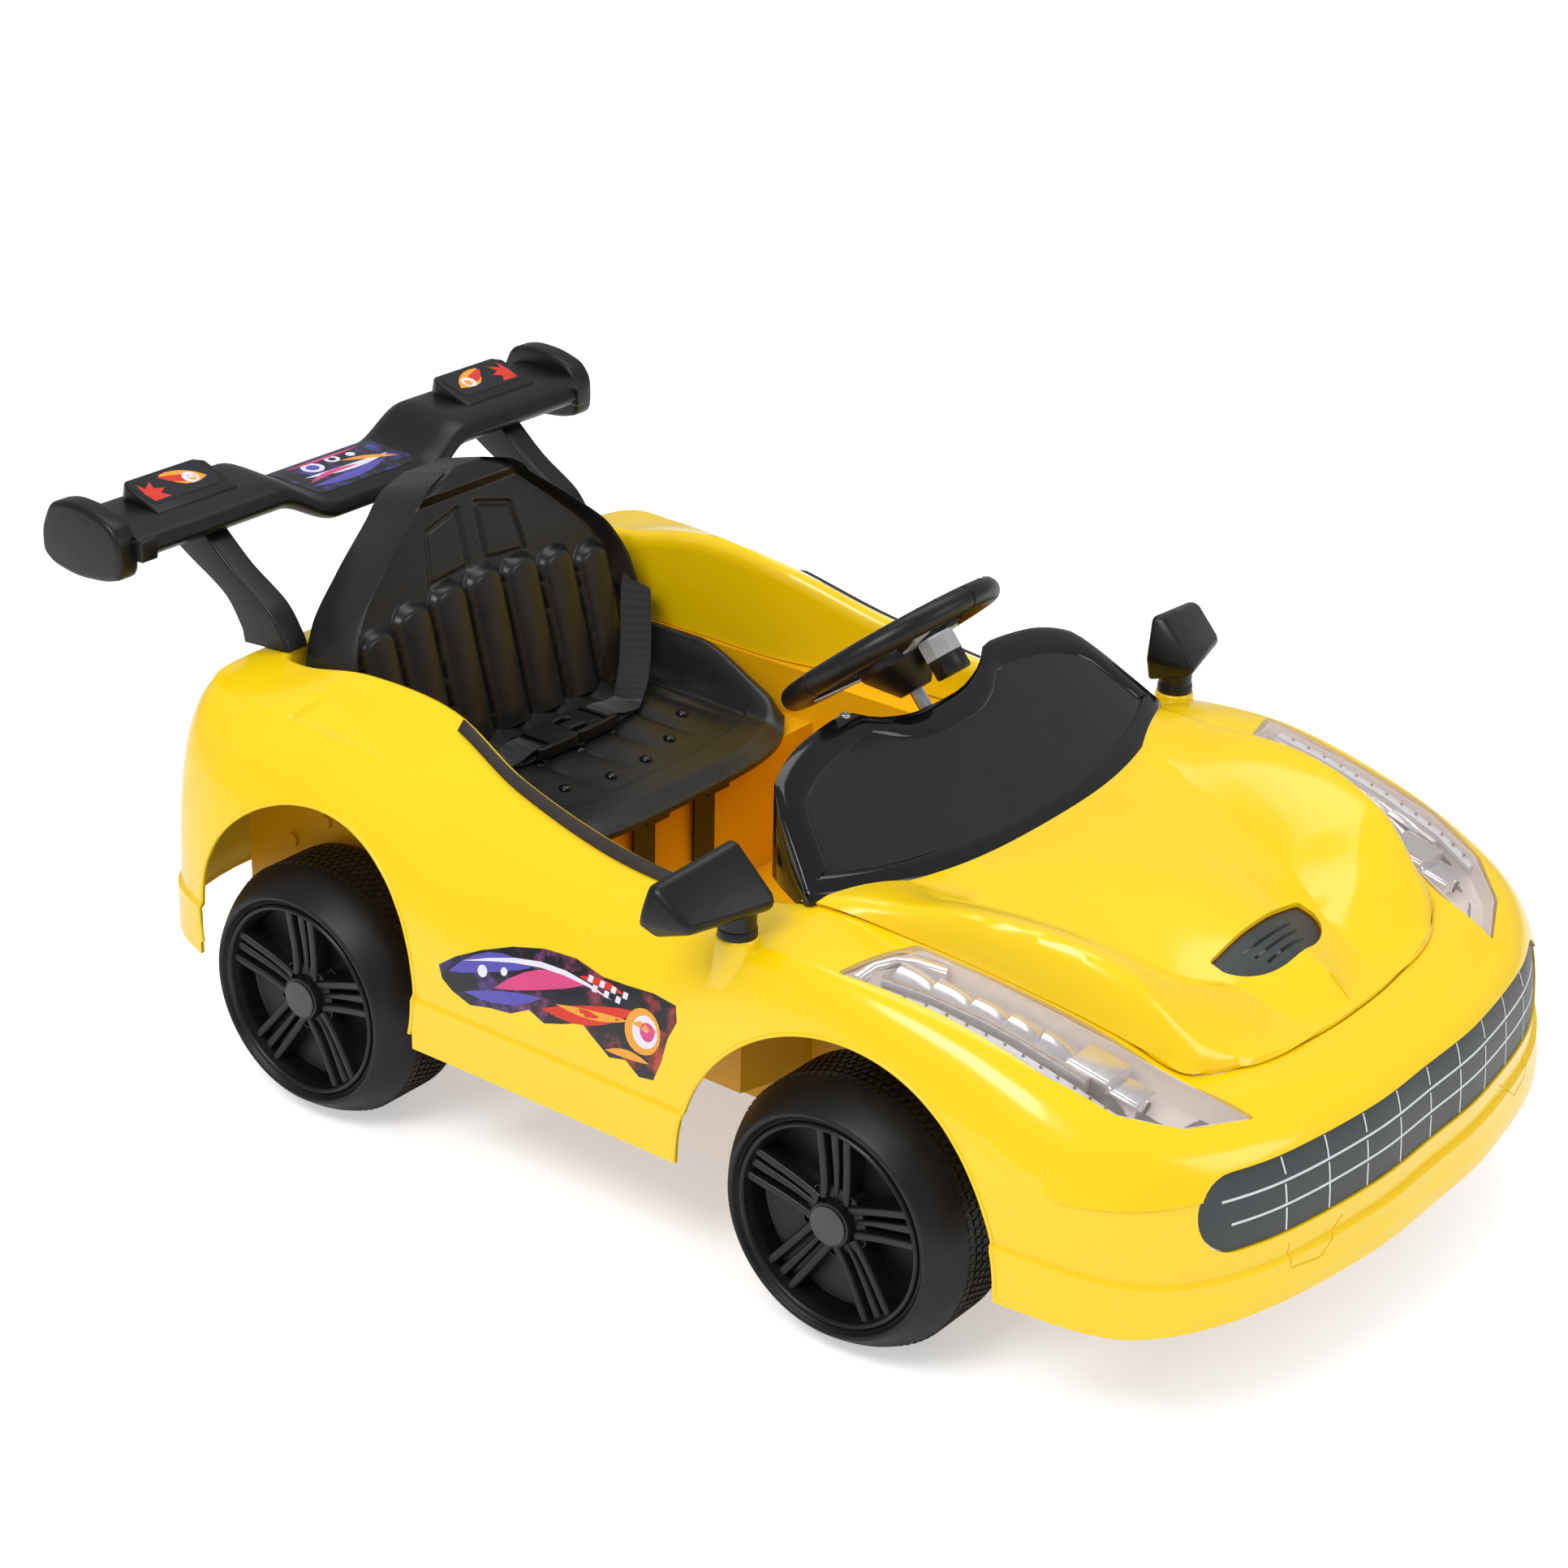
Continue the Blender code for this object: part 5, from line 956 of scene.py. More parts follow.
def bonnet_shares(u):
    """Shares of one section's points, with one on the crest and one on the foot."""
    crest = min(max(where(u, 0), 0.10), 0.70)
    foot = min(max(where(u, 1), crest + 0.08), 0.92)
    return (list(np.linspace(0, crest, 9)) + list(np.linspace(crest, foot, 13)[1:])
            + list(np.linspace(foot, 1, 8)[1:]))


SCOOP_REAR, SCOOP_FRONT, SCOOP_HALF = 0.599, 0.636, 0.058


def scoop_outline(grow=0.0):
    """Plan outline of the bonnet plate: straight behind, bowed in front."""
    rear, half = SCOOP_REAR - grow, SCOOP_HALF + grow
    bow = SCOOP_FRONT - SCOOP_REAR + 2 * grow
    front = [(rear + bow * math.cos(a) ** 0.8, half * math.sin(a))
             for a in np.linspace(-1.35, 1.35, 25)]
    return front + [(rear + 0.001, half - 0.0018), (rear, half - 0.005), (rear, -half + 0.005),
                    (rear + 0.001, -half + 0.0018)]


# %% Draw the bonnet and cut its openings
sections = sorted({BONNET_FROM} | {round(float(u), 3) for u in np.arange(9.0, LAST + 1e-6, 0.1)})
rows = []
for u in sections:
    points = [bonnet_point(u, w) for w in bonnet_shares(u)]
    points[-1][1] = 0.0
    rows.append(points + [p * (1, -1, 1) for p in points[:-1][::-1]])
bonnet = sheet("bonnet_moulding", rows, BODY_YELLOW, angle=28, flip=True)
BONNET_TREE = surface_of(bonnet)
thicken(bonnet, WALL)

WHEEL_CENTRE = (0.297, 0.0, 0.3595)
COLUMN_TURN = Matrix.Rotation(-math.radians(40), 3, "Y")


def passage():
    """Round bar along the steering column, for cutting its way through."""
    return turned("tool", [(0.009, -0.30), (0.009, 0.02)], GREY_PLASTIC, WHEEL_CENTRE, sides=40,
                  turn=COLUMN_TURN, closed=False)


carve(bonnet, prism("tool", scoop_outline(), "z", 0.18, 0.30), angle=28)
carve(bonnet, passage(), angle=28)
dress(bonnet, "car", "body_yellow", "bonnet")

# %% [markdown]
# ## Grille foil
# The grille is dark foil laid into a shallow recess. Its print is two long curved lines and some
# short upright ones. The lines are thin strips laid on the skin: each is a flat outline that
# is cut into small tiles, and every corner is dropped onto the skin by a ray and lifted a little,
# so a strip follows the curve of the nose exactly.

# %% Laying flat shapes on a curved skin
def tiles(outline, step):
    """Flat outline cut into tiles small enough to bend."""
    work = bmesh.new()
    verts = [work.verts.new((p[0], p[1], 0)) for p in outline]
    work.faces.new(verts)
    points = np.array(outline, float)
    for axis, normal in enumerate(((1, 0, 0), (0, 1, 0))):
        low, high = points[:, axis].min(), points[:, axis].max()
        for level in np.arange(low + step, high, step):
            bmesh.ops.bisect_plane(work, geom=work.verts[:] + work.edges[:] + work.faces[:],
                                   plane_co=[level * n for n in normal], plane_no=normal,
                                   dist=1e-7)
    bmesh.ops.triangulate(work, faces=[f for f in work.faces if len(f.verts) > 4])
    flat = [tuple(v.co[:2]) for v in work.verts]
    work.verts.index_update()
    faces = [tuple(v.index for v in f.verts) for f in work.faces]
    work.free()
    return flat, faces


def laid(name, outline, find, material, thick, step, lift=0.0):
    """Thin closed patch: find gives point and outward normal for each flat corner."""
    flat, faces = tiles(outline, step)
    top, under = [], []
    for a, b in flat:
        spot, normal = find(a, b)
        top.append(spot + normal * lift)
        under.append(spot + normal * (lift - thick))
    edges = [pair for face in faces for pair in zip(face, face[1:] + face[:1])]
    inner_edges = {(b, a) for a, b in edges}
    count = len(top)
    walls = [(b, a, a + count, b + count) for a, b in edges if (a, b) not in inner_edges]
    below = [tuple(k + count for k in face[::-1]) for face in faces]
    return solid(name, top + under, faces + below + walls, material, 40)


def from_front(y, z):
    return skin_hit(0, y, z, "x")


def from_above(x, y):
    return drop_on(SKIN_TREE, x, y)


def on_bonnet(x, y):
    return drop_on(BONNET_TREE, x, y)


# %% Grille foil and its white lines
grille = laid("grille_foil", grille_outline(-0.0004)[:-1], from_front, FOIL_GREY,
              lift=-0.0015, thick=0.0022, step=0.012)
dress(grille, "car", "sticker_grey", "grille_insert")


def strip_line(points, width):
    """Flat ribbon outline along points."""
    points = [np.array(p, float) for p in points]
    one, other = [], []
    for k, p in enumerate(points):
        along = points[min(k + 1, len(points) - 1)] - points[max(k - 1, 0)]
        across = np.array((-along[1], along[0])) / np.linalg.norm(along) * width / 2
        one.append(tuple(p + across))
        other.append(tuple(p - across))
    return one + other[::-1]


lines = []
for z, reach in ((0.1705, 0.205), (0.1545, 0.200)):
    row = [(y, z + 0.0010 * math.cos(y / reach * 1.2)) for y in np.linspace(-reach, reach, 41)]
    lines.append(strip_line(row, 0.0016))
UPRIGHTS = (-0.158, -0.118, -0.079, -0.040, 0.0, 0.040, 0.079, 0.118, 0.158)
THREE_SHORT = ((0.1372, 0.1530), (0.1560, 0.1690), (0.1745, 0.1868))
TWO_LONG = ((0.1372, 0.1690), (0.1720, 0.1870))
for k, y in enumerate(UPRIGHTS):
    for low, high in TWO_LONG if k % 2 else THREE_SHORT:
        lines.append(strip_line([(y, z) for z in np.linspace(low, high, 4)], 0.0013))
strips = [laid("line", outline, from_front, FOIL_WHITE, lift=-0.00135, thick=0.0002,
               step=0.012) for outline in lines]
dress(joined("grille_lines", strips), "car", "sticker_grey")

# %% [markdown]
# ## Bonnet plate
# A grey plate lies in a recess between the ridges, with three short slats along its straight rear
# edge. Plate and slats are laid on the bonnet's surface in the same way as the grille's lines.

# %% Bonnet plate with its moulded slats
plate = laid("scoop_plate", scoop_outline(-0.0004), on_bonnet, FOIL_GREY, lift=-0.0012,
             thick=0.0030, step=0.008)
dress(plate, "car", "sticker_grey", "bonnet_scoop")
slats = []
for k, x in enumerate((0.6065, 0.6135, 0.6205)):
    reach = 0.030 - 0.004 * k
    row = [(x + 0.004 * (1 - (y / 0.05) ** 2), y) for y in np.linspace(-reach, reach, 15)]
    slats.append(laid("slat", strip_line(row, 0.0018), on_bonnet, GLOSS_BLACK, lift=-0.0008,
                      thick=0.0006, step=0.01))
dress(joined("scoop_slats", slats), "car", "sticker_grey")

# %% [markdown]
# ## Headlamps
# Each lamp is a clear blade let into the shoulder, and everything that makes it a lamp is behind
# the lens: a tray with a pale wall of painted light and a floor of painted shade, a bright arc at
# the rear, five crescent louvres against a straight bar, a strip of small diodes and a two-step
# projector block with a round eye. All of them are placed by the skin's own coordinates and a
# depth, so both lamps stay under their lenses.

# %% Lens and tray, with painted light and shade
def below(u, v, drop, sign):
    """Point under the skin at u, v."""
    p = plain_skin(u, v)
    return np.array((p[0], sign * p[1], p[2] - drop))


# Pale wall of painted light: a band that makes the lamp look lit from inside.
LAMP_WALL_PAINTED_LIGHT = moulded("frosted_lamp_rim", "D2C6BE", "DED2CA", 0.24, 0.05,
                    0.8, 0.1, 12, 0.2, 0.5, 0.2)
# Floor of painted shade: a dark ground for the bright pieces, standing for the shade in the
# crescents' hollows.
LAMP_FLOOR_PAINTED_SHADE = moulded("smoked_lamp_base", "4A4B4F", "5A5B60", 0.24, 0.05,
                    0.8, 0.1, 12, 0.2, 0.5)
# Size of each ring of the tray against its rim, and how far it lies under the skin.
TRAY_STEPS = ((1.0, 0.0024), (0.99, 0.0060), (0.94, 0.0150), (0.84, 0.0190), (0.40, 0.0200))


def tray_outline(sign, scale):
    """Plan outline of the tray, shrunk towards its middle."""
    flat = np.array(lamp_outline(sign, -0.0034))
    middle = flat.mean(axis=0)
    return [tuple(p) for p in middle + (flat - middle) * scale]


def lamp_shade_plate(sign):
    """Dark plate of painted shade on the tray's floor, which shows between the bright pieces."""
    return laid("base", tray_outline(sign, 0.90), from_above, LAMP_FLOOR_PAINTED_SHADE, lift=-0.0172,
                thick=0.0012, step=0.012)


def lamp_tray(sign):
    """Bowl under the lens, open at the top."""
    rings = [[(x, y, from_above(x, y)[0].z - drop) for x, y in tray_outline(sign, scale)]
             for scale, drop in TRAY_STEPS]
    count, total = len(rings[0]), len(rings) * len(rings[0])
    faces = grid_faces(len(rings), count, wrap=True)
    faces.append(tuple(range(total - count, total))[::-1])
    if sign < 0:
        faces = [f[::-1] for f in faces]
    # The tray's pale wall is painted light.
    item = solid("tray", flatten(rings), faces, LAMP_WALL_PAINTED_LIGHT, 30, closed=False)
    return thicken(item, 0.0009, offset=0.0)


def lamp_bar(points, width, height, material, sign):
    """Bar of upright rectangular section with softened top, through (u, v, drop) points."""
    rings = []
    path = [below(u, v, drop, sign) for u, v, drop in points]
    for k, p in enumerate(path):
        along = path[min(k + 1, len(path) - 1)] - path[max(k - 1, 0)]
        across = np.array((-along[1], along[0], 0))
        across = across / np.linalg.norm(across) * width / 2
        rings.append([p - across - height * UP, p + across - height * UP,
                      p + across - 0.2 * height * UP, p + across * 0.7, p - across * 0.7,
                      p - across - 0.2 * height * UP])
    return loft("bar", rings, material, 50)


def crescent(u0, sign):
    """Half dome against the bar, steep in front and falling away behind."""
    rows = []
    for b in np.linspace(0, 1, 9):
        row = []
        for a in np.linspace(0, 1, 13):
            v = 1.385 + 0.42 * a
            rise = 0.0105 * math.sin(math.pi * (0.12 + 0.80 * a)) * math.sqrt(max(1 - b * b, 0))
            sweep = 0.26 * (a - 0.3) ** 2
            row.append(below(u0 + 0.10 + 0.40 * b - sweep, v, 0.0150 - rise, sign))
        rows.append(row)
    item = sheet("crescent", rows, CHROME, flip=sign < 0, angle=60)
    return thicken(item, 0.0006)


# Straight bar and rear arc, as skin coordinates u and v and the depth under the skin.
BAR_LINE = ((10.05, 1.30, 0.0040), (10.4, 1.34, 0.0038), (11.0, 1.35, 0.0038),
            (11.7, 1.32, 0.0040), (12.1, 1.28, 0.0050))
ARC_LINE = ((9.82, 1.16, 0.0045), (9.84, 1.42, 0.0036), (9.93, 1.66, 0.0036),
            (10.08, 1.78, 0.0040), (10.34, 1.86, 0.0046))
for side, sign in SIDES:
    cover = laid(f"lamp_lens_{side}", lamp_outline(sign, -0.0004), from_above, CLEAR_LENS,
                 lift=-0.0001, thick=0.0014, step=0.008)
    dress(cover, "car", "clear_lens", f"headlight_lens_{side}")
    # The dark plate under the crescents is painted shade.
    parts = [lamp_tray(sign), lamp_shade_plate(sign), lamp_bar(BAR_LINE, 0.0046, 0.0095, CHROME, sign),
             lamp_bar(ARC_LINE, 0.0130, 0.0105, CHROME, sign)]
    parts += [crescent(9.97 + 0.345 * k, sign) for k in range(5)]
    dress(joined(f"headlight_tray_{side}", parts), "car", "chrome",
          f"headlight_reflector_{side}")

# %% [markdown]
# ## Diodes and projector
# Along the outer edge of each lamp runs a pale strip with a row of small diodes, turned buttons two
# millimetres across. In front of the louvres sit two rounded blocks, one a step lower than the other.
# The smaller one has a round eye cut into its face, with a bright ring round it.

# %% Diodes and projector blocks
# White plastic strip: a soft light line without a mirror's contrast.
DIODE_STRIP = moulded("diode_strip_white", "B9BCC2", "D2D4D8", 0.30, 0.05, 0.8, 0.2, 4, 0.2)
DIODE_LINE = ((9.98, 1.12, 0.0060), (10.6, 1.18, 0.0055), (11.3, 1.17, 0.0055),
              (12.0, 1.12, 0.0060), (12.6, 1.05, 0.0070))


def block(centre, ahead, size):
    """Rounded block along a direction: size is length, width, height."""
    ahead = ahead.normalized()
    aside = Vector((-ahead.y, ahead.x, 0)).normalized()
    up = ahead.cross(aside)
    length, width, height = size
    outline = rounded_box(width, height, 0.28 * min(width, height))
    rings = [[Vector(centre) + ahead * along * length + aside * y * scale + up * z * scale
              for y, z in outline]
             for along, scale in ((-0.5, 1), (0.44, 1), (0.485, 0.96), (0.5, 0.88))]
    return loft("block", rings, CHROME, 40)


for side, sign in SIDES:
    lit = [lamp_bar(DIODE_LINE, 0.0066, 0.0040, DIODE_STRIP, sign)]
    for u in np.arange(10.15, 12.5, 0.19):
        spot = below(u, curve_through(DIODE_LINE, u), 0.0054, sign)
        lit.append(turned("diode", [(0.0010, -0.001), (0.0010, 0.0006), (0.0006, 0.0011)],
                          GREY_PLASTIC, spot, sides=10, closed=False))
    dress(joined(f"diode_strip_{side}", lit), "car", "clear_lens")
    here, there = below(12.06, 1.60, 0.0125, sign), below(12.50, 1.52, 0.0140, sign)
    ahead = Vector(there - here)
    ahead.z *= 0.45
    big = block(here, ahead, (0.030, 0.032, 0.0130))
    small = block(there, ahead, (0.024, 0.025, 0.0125))
    level = ahead.normalized()
    turn = level.to_track_quat("Z", "Y").to_matrix()
    eye = turned("eye", [(0.0044, -0.007), (0.0044, 0.009)], CHROME,
                 Vector(there) + level * 0.009, sides=32, turn=turn, closed=False)
    carve(small, eye)
    ring = turned("ring", [(0.0044, -0.001), (0.0056, -0.001), (0.0056, 0.0006),
                           (0.0044, 0.0012)], CHROME, Vector(there) + level * 0.0120,
                  sides=32, turn=turn)
    dress(joined(f"projector_{side}", [big, small, ring]), "car", "chrome")

# %% [markdown]
# ## Tail lamps
# A red lens bulges from each round opening in the tail, and a thin bright ring hides its edge. The
# lens is a flat disc laid on the skin and lifted most in its middle.

# %% Round tail lamps
for side, sign in SIDES:
    def bulged(y, z, sign=sign):
        spot, normal = skin_hit(-1, y, z, "x")
        away = math.hypot(y - sign * TAIL_LAMP_Y, z - TAIL_LAMP_Z) / 0.0196
        return spot + normal * 0.0022 * (1 - away * away), normal

    centre = (sign * TAIL_LAMP_Y, TAIL_LAMP_Z)
    lamp = laid(f"tail_lens_{side}", arc(centre, TAIL_LAMP_RADIUS - 0.0006, 0, 354, 60), bulged,
                RED_LENS, thick=0.0024, step=0.004)
    dress(lamp, "car", "red_lens", f"tail_lamp_{side}")
    rim = [skin_hit(-1, y, z, "x") for y, z in arc(centre, TAIL_LAMP_RADIUS, 0, 354, 60)]
    dress(swept(f"tail_lamp_ring_{side}", [p + n * 0.0002 for p, n in rim], 0.0011, CHROME,
                sides=8, closed=True), "car", "chrome")

# %% [markdown]
# ## Windscreen hood
# The windscreen is a hollow black hood: a thick rounded lip goes all the way round a sunken
# panel. It is one closed bar, swept round the outline, whose section is a wall that comes up
# from the bonnet, rolls over and drops into the pocket. The foot of the wall is dropped onto
# whatever is below it, bonnet or rim, so the hood sits down without a gap.

# %% Outline and slope of the hood
SCREEN_HALF, SCREEN_FRAME = 0.2095, 0.016


def screen_front(y, inset=0.0):
    """Front edge at width y, as x."""
    return 0.438 - inset - 0.66 * y * y - 8.87 * y**4


def screen_rear(y, inset):
    """Rear edge at width y, as x."""
    return inset + curve_through(((0.0, 0.3385), (0.022, 0.338), (0.060, 0.330),
                                  (0.084, 0.319), (0.128, 0.3215), (0.172, 0.3315),
                                  (SCREEN_HALF, 0.387)), abs(y))


def screen_height(x, y):
    """Height of the sloping top, which rises from the front edge to the rear one."""
    rise = 0.655 + 2.0 * y * y
    return 0.2662 + 0.22 * y * y + rise * (screen_front(y) - x)


def screen_line(y, inset, part):
    """Point in plan at width y, from the rear edge (0) to the front edge (1)."""
    scale = (SCREEN_HALF - inset) / SCREEN_HALF
    front = screen_front(y * scale, inset)
    rear = min(screen_rear(y, 1.15 * inset), front - 0.002)
    return rear + (front - rear) * part, y * scale


def foot_of(x, y):
    """Height of what carries the hood at a place in plan."""
    levels = [0.262]
    for surface in (SKIN_TREE, BONNET_TREE):
        spot = drop_on(surface, x, y)[0]
        if spot is not None:
            levels.append(spot.z + 0.0007)
    return max(levels)


# %% Hood lip
# Section of the lip as (inset, lift above the slope). None goes down to what carries the hood.
LIP_SECTION = ((0, None), (0, -0.0045), (0.0006, -0.0022), (0.0020, -0.0008), (0.0045, 0.0),
               (0.0090, 0.0004), (0.0125, -0.0002), (0.0148, -0.0014), (0.0158, -0.0030),
               (0.0160, -0.0058), (0.0035, -0.0070), (0.0032, None))
ys = np.concatenate([-SCREEN_HALF * np.cos(np.linspace(0, math.pi / 2, 30)),
                     SCREEN_HALF * np.sin(np.linspace(0, math.pi / 2, 30))[1:]])
walk = [(y, 1) for y in ys] + [(y, 0) for y in ys[::-1]]
feet = {}
for y, part in walk:
    x, across = screen_line(y, 0.0, part)
    feet[(y, part)] = min(foot_of(x, across), screen_height(x, across) - 0.006)
rings = []
for inset, lift in LIP_SECTION:
    ring = []
    for y, part in walk:
        x, across = screen_line(y, inset, part)
        z = feet[(y, part)] if lift is None else screen_height(x, across) + lift
        ring.append((x, across, z))
    rings.append(ring)
hood = hoop("windscreen_hood", rings, GLOSS_BLACK, 40)
carve(hood, passage(), angle=40)
dress(hood, "car", "gloss_black", "windshield")

# %% Hood panel
# Smoked sheet: nearly black, with a broad soft reflection that the lip doesn't have.
PANEL_GREY = moulded("vacuum_formed_panel_smoked", "1B1B1B", "232221", 0.20, 0.04,
                     0.8, 0.05, 50, 0.10, 0.45)
rows = []
for y in ys:
    row = []
    for part in np.linspace(0, 1, 25):
        x, across = screen_line(y, SCREEN_FRAME - 0.0002, part)
        row.append((x, across, screen_height(x, across) - 0.0030))
    rows.append(row)
panel = thicken(sheet("windscreen_panel", rows, PANEL_GREY, angle=40), 0.0015)
dress(panel, "car", "gloss_black", "windshield_panel")

# %% [markdown]
# ## Sill trims and mirrors
# A dark strip is pressed over the cockpit rim on each side. Each mirror is a small faceted shell
# on a stub. The shell is the smallest convex solid round a handful of measured corners, with its
# edges rounded by a bevel, as a mould with such facets has them.

# %% Sill trims
TRIM_FROM, TRIM_TO = 5.15, 7.95
TRIM_SECTION = ((0, 0), (0.010, 0), (0.0100, 0.0012), (0.0092, 0.0019), (0.0078, 0.0022),
                (0.0022, 0.0022), (0.0008, 0.0019), (0, 0.0012))
for side, sign in SIDES:
    rings = []
    for u in np.linspace(TRIM_FROM, TRIM_TO, 57):
        shoulder, rim = guides(u)[1:3]
        across = (shoulder - rim) / np.linalg.norm(shoulder - rim)
        up = np.cross(across, np.array((1.0, 0, 0)))
        up = up * (1 if up[2] > 0 else -1) / np.linalg.norm(up)
        base = rim + up * 0.0006
        end = 0.35 + 0.65 * min(1, min(u - TRIM_FROM, TRIM_TO - u) / 0.05)
        rings.append([(base + across * a + up * b * end) * (1, sign, 1)
                      for a, b in TRIM_SECTION])
    trim = loft(f"sill_strip_{side}", rings, TRIM_BROWN, 50)
    dress(trim, "car", "satin_black", f"sill_trim_{side}")

# %% Mirror shells, stubs and faces
# Corners of one mirror from its foot's centre: round its glass, then over its back.
MIRROR_RIM = ((-0.0170, -0.0130, 0.0585), (-0.0285, 0.0550, 0.0465), (-0.0300, 0.0660, 0.0230),
              (-0.0270, 0.0500, 0.0075), (-0.0160, -0.0140, 0.0070), (-0.0155, -0.0200, 0.0260))
MIRROR_FACE = ((-0.0095, -0.0090, 0.0600), (-0.0200, 0.0590, 0.0480), (0.0050, 0.0545, 0.0250),
               (0.0234, -0.0120, 0.0255), (0.0180, -0.0120, 0.0180), (0.0010, 0.0500, 0.0180))


def hull(name, points, material):
    """Smallest convex solid round the points."""
    work = bmesh.new()
    for point in points:
        work.verts.new(point)
    done = bmesh.ops.convex_hull(work, input=work.verts)
    loose = [v for v in done["geom_interior"] if isinstance(v, bmesh.types.BMVert)]
    bmesh.ops.delete(work, geom=loose, context="VERTS")
    bmesh.ops.dissolve_limit(work, angle_limit=math.radians(4), verts=work.verts,
                             edges=work.edges)
    work.verts.index_update()
    verts = [tuple(v.co) for v in work.verts]
    faces = [tuple(v.index for v in f.verts) for f in work.faces]
    work.free()
    return solid(name, verts, faces, material)


def mirror_ring(sign, scale, depth):
    """The rim's corners, shrunk to their middle and moved along x."""
    rim = np.array(MIRROR_RIM)
    middle = rim.mean(axis=0)
    ring = middle + (rim - middle) * scale + np.array((depth, 0, 0))
    return [(MIRROR_X + x, sign * (MIRROR_Y + y), MIRROR_Z + z) for x, y, z in ring]


for side, sign in SIDES:
    spot = np.array((MIRROR_X, sign * MIRROR_Y, MIRROR_Z))
    stub = turned(f"mirror_foot_{side}", [(0.0132, 0.0003), (0.0130, 0.0054),
                                          (0.0126, 0.0061), (0.0, 0.0062), (0.0, 0.0003)],
                  SATIN_BLACK, spot, sides=48)
    dress(stub, "car", "satin_black", f"mirror_stub_{side}")
    corners = [spot + (x, sign * y, z) for x, y, z in MIRROR_RIM + MIRROR_FACE]
    shell = round_edges(hull(f"mirror_shell_{side}", corners, SATIN_BLACK), 0.0062, 6, 18, 30)
    neck = turned("neck", [(0.0126, 0.0065), (0.0122, 0.0090), (0.0128, 0.020)], SATIN_BLACK,
                  spot, sides=40, closed=False)
    carve(shell, neck, "UNION", 30)
    pocket = loft("pocket", [mirror_ring(sign, 0.86, -0.012), mirror_ring(sign, 0.86, 0.0045)],
                  SATIN_BLACK)
    carve(shell, pocket, angle=30)
    dress(shell, f"mirror_{side}", "satin_black", f"mirror_housing_{side}")
    face = loft(f"mirror_face_{side}", [mirror_ring(sign, 0.85, 0.0018),
                                        mirror_ring(sign, 0.85, 0.0042)], MIRROR_FOIL, 20)
    dress(face, f"mirror_{side}", "mirror_foil", f"mirror_glass_{side}")

# %% [markdown]
# ## Seat
# The bucket seat is blow moulded: one hollow shell with soft edges everywhere. Its back has seven
# upright ribs with round tops that climb towards the middle, two shallow outlined panels above
# them and a raised border. The pan has flutes that end before a flat front lip, with round
# buttons in the valleys. Both faces are height fields: a fine grid whose points are pushed in and
# out by a few simple waves, then wrapped over to the back and closed.

# %% Seat shape
SEAT_LEAN = math.radians(15)
LEAN = np.array((-math.sin(SEAT_LEAN), 0, math.cos(SEAT_LEAN)))
FACING = np.array((math.cos(SEAT_LEAN), 0, math.sin(SEAT_LEAN)))
SEAT_FOOT = np.array((-0.057, 0, 0.1965))
BACK_HIGH, BACK_THICK, RIB_PITCH = 0.205, 0.0365, 0.040
PAN_Z, SHELF_Z, PAN_HALF, SEAT_FRONT_X = 0.200, 0.185, 0.172, 0.122
GROOVE_WIDTH = 0.0030


def back_half(h):
    """Half width of the seat back at the height h along it."""
    return curve_through(((0.0, 0.150), (0.03, 0.158), (0.058, 0.163), (0.0885, 0.159),
                          (0.1196, 0.144), (0.151, 0.109), (0.180, 0.070), (0.197, 0.048),
                          (BACK_HIGH, 0.022)), h)


def outline_groove(y, h, corners):
    """1 on the edge of a four-sided outline, 0 away from it."""
    best = 1.0
    for k in range(4):
        a, b = np.array(corners[k]), np.array(corners[(k + 1) % 4])
        along = b - a
        t = min(max(np.dot((y, h) - a, along) / np.dot(along, along), 0), 1)
        best = min(best, float(np.linalg.norm((y, h) - a - along * t)) / GROOVE_WIDTH)
    return max(0.0, 1 - best * best) if best < 1 else 0.0


PANELS = (((0.010, 0.128), (0.052, 0.124), (0.046, 0.163), (0.010, 0.172)),
          ((-0.010, 0.128), (-0.052, 0.124), (-0.046, 0.163), (-0.010, 0.172)))


def back_relief(y, h, share):
    """Front relief of the seat back."""
    k = round(y / RIB_PITCH)
    local = (y - k * RIB_PITCH) / (RIB_PITCH * 0.5)
    top = 0.116 - 1.05 * (k * RIB_PITCH) ** 2
    radius = 0.40 * RIB_PITCH
    rib = 0.0
    if abs(k) <= 3:
        reach = math.sqrt(max(1 - (local / 0.92) ** 2, 0.0))
        cap = smoothstep((top - h + radius * reach * 0.8) / 0.010) if reach > 0 else 0.0
        rib = reach ** 0.75 * cap
    border = smoothstep((abs(share) - 0.875) / 0.085)
    groove = max(outline_groove(y, h, panel) for panel in PANELS)
    return 0.0085 * rib + 0.0115 * border - 0.0022 * groove


def closed_block(name, rows, behind):
    """Closed solid from a fine front grid and the points behind it."""
    count, columns = len(rows), len(rows[0])
    verts = flatten(rows)
    start = len(verts)
    verts += [behind(p) for p in verts]
    faces = grid_faces(count, columns)
    faces += [tuple(k + start for k in f[::-1]) for f in faces]
    rim = ([j for j in range(columns)] + [i * columns + columns - 1 for i in range(1, count)]
           + [(count - 1) * columns + j for j in range(columns - 2, -1, -1)]
           + [i * columns for i in range(count - 2, 0, -1)])
    for k, here in enumerate(rim):
        there = rim[(k + 1) % len(rim)]
        faces.append((here, there, start + there, start + here))
    return solid(name, verts, faces, SEAT_BLACK, 45)


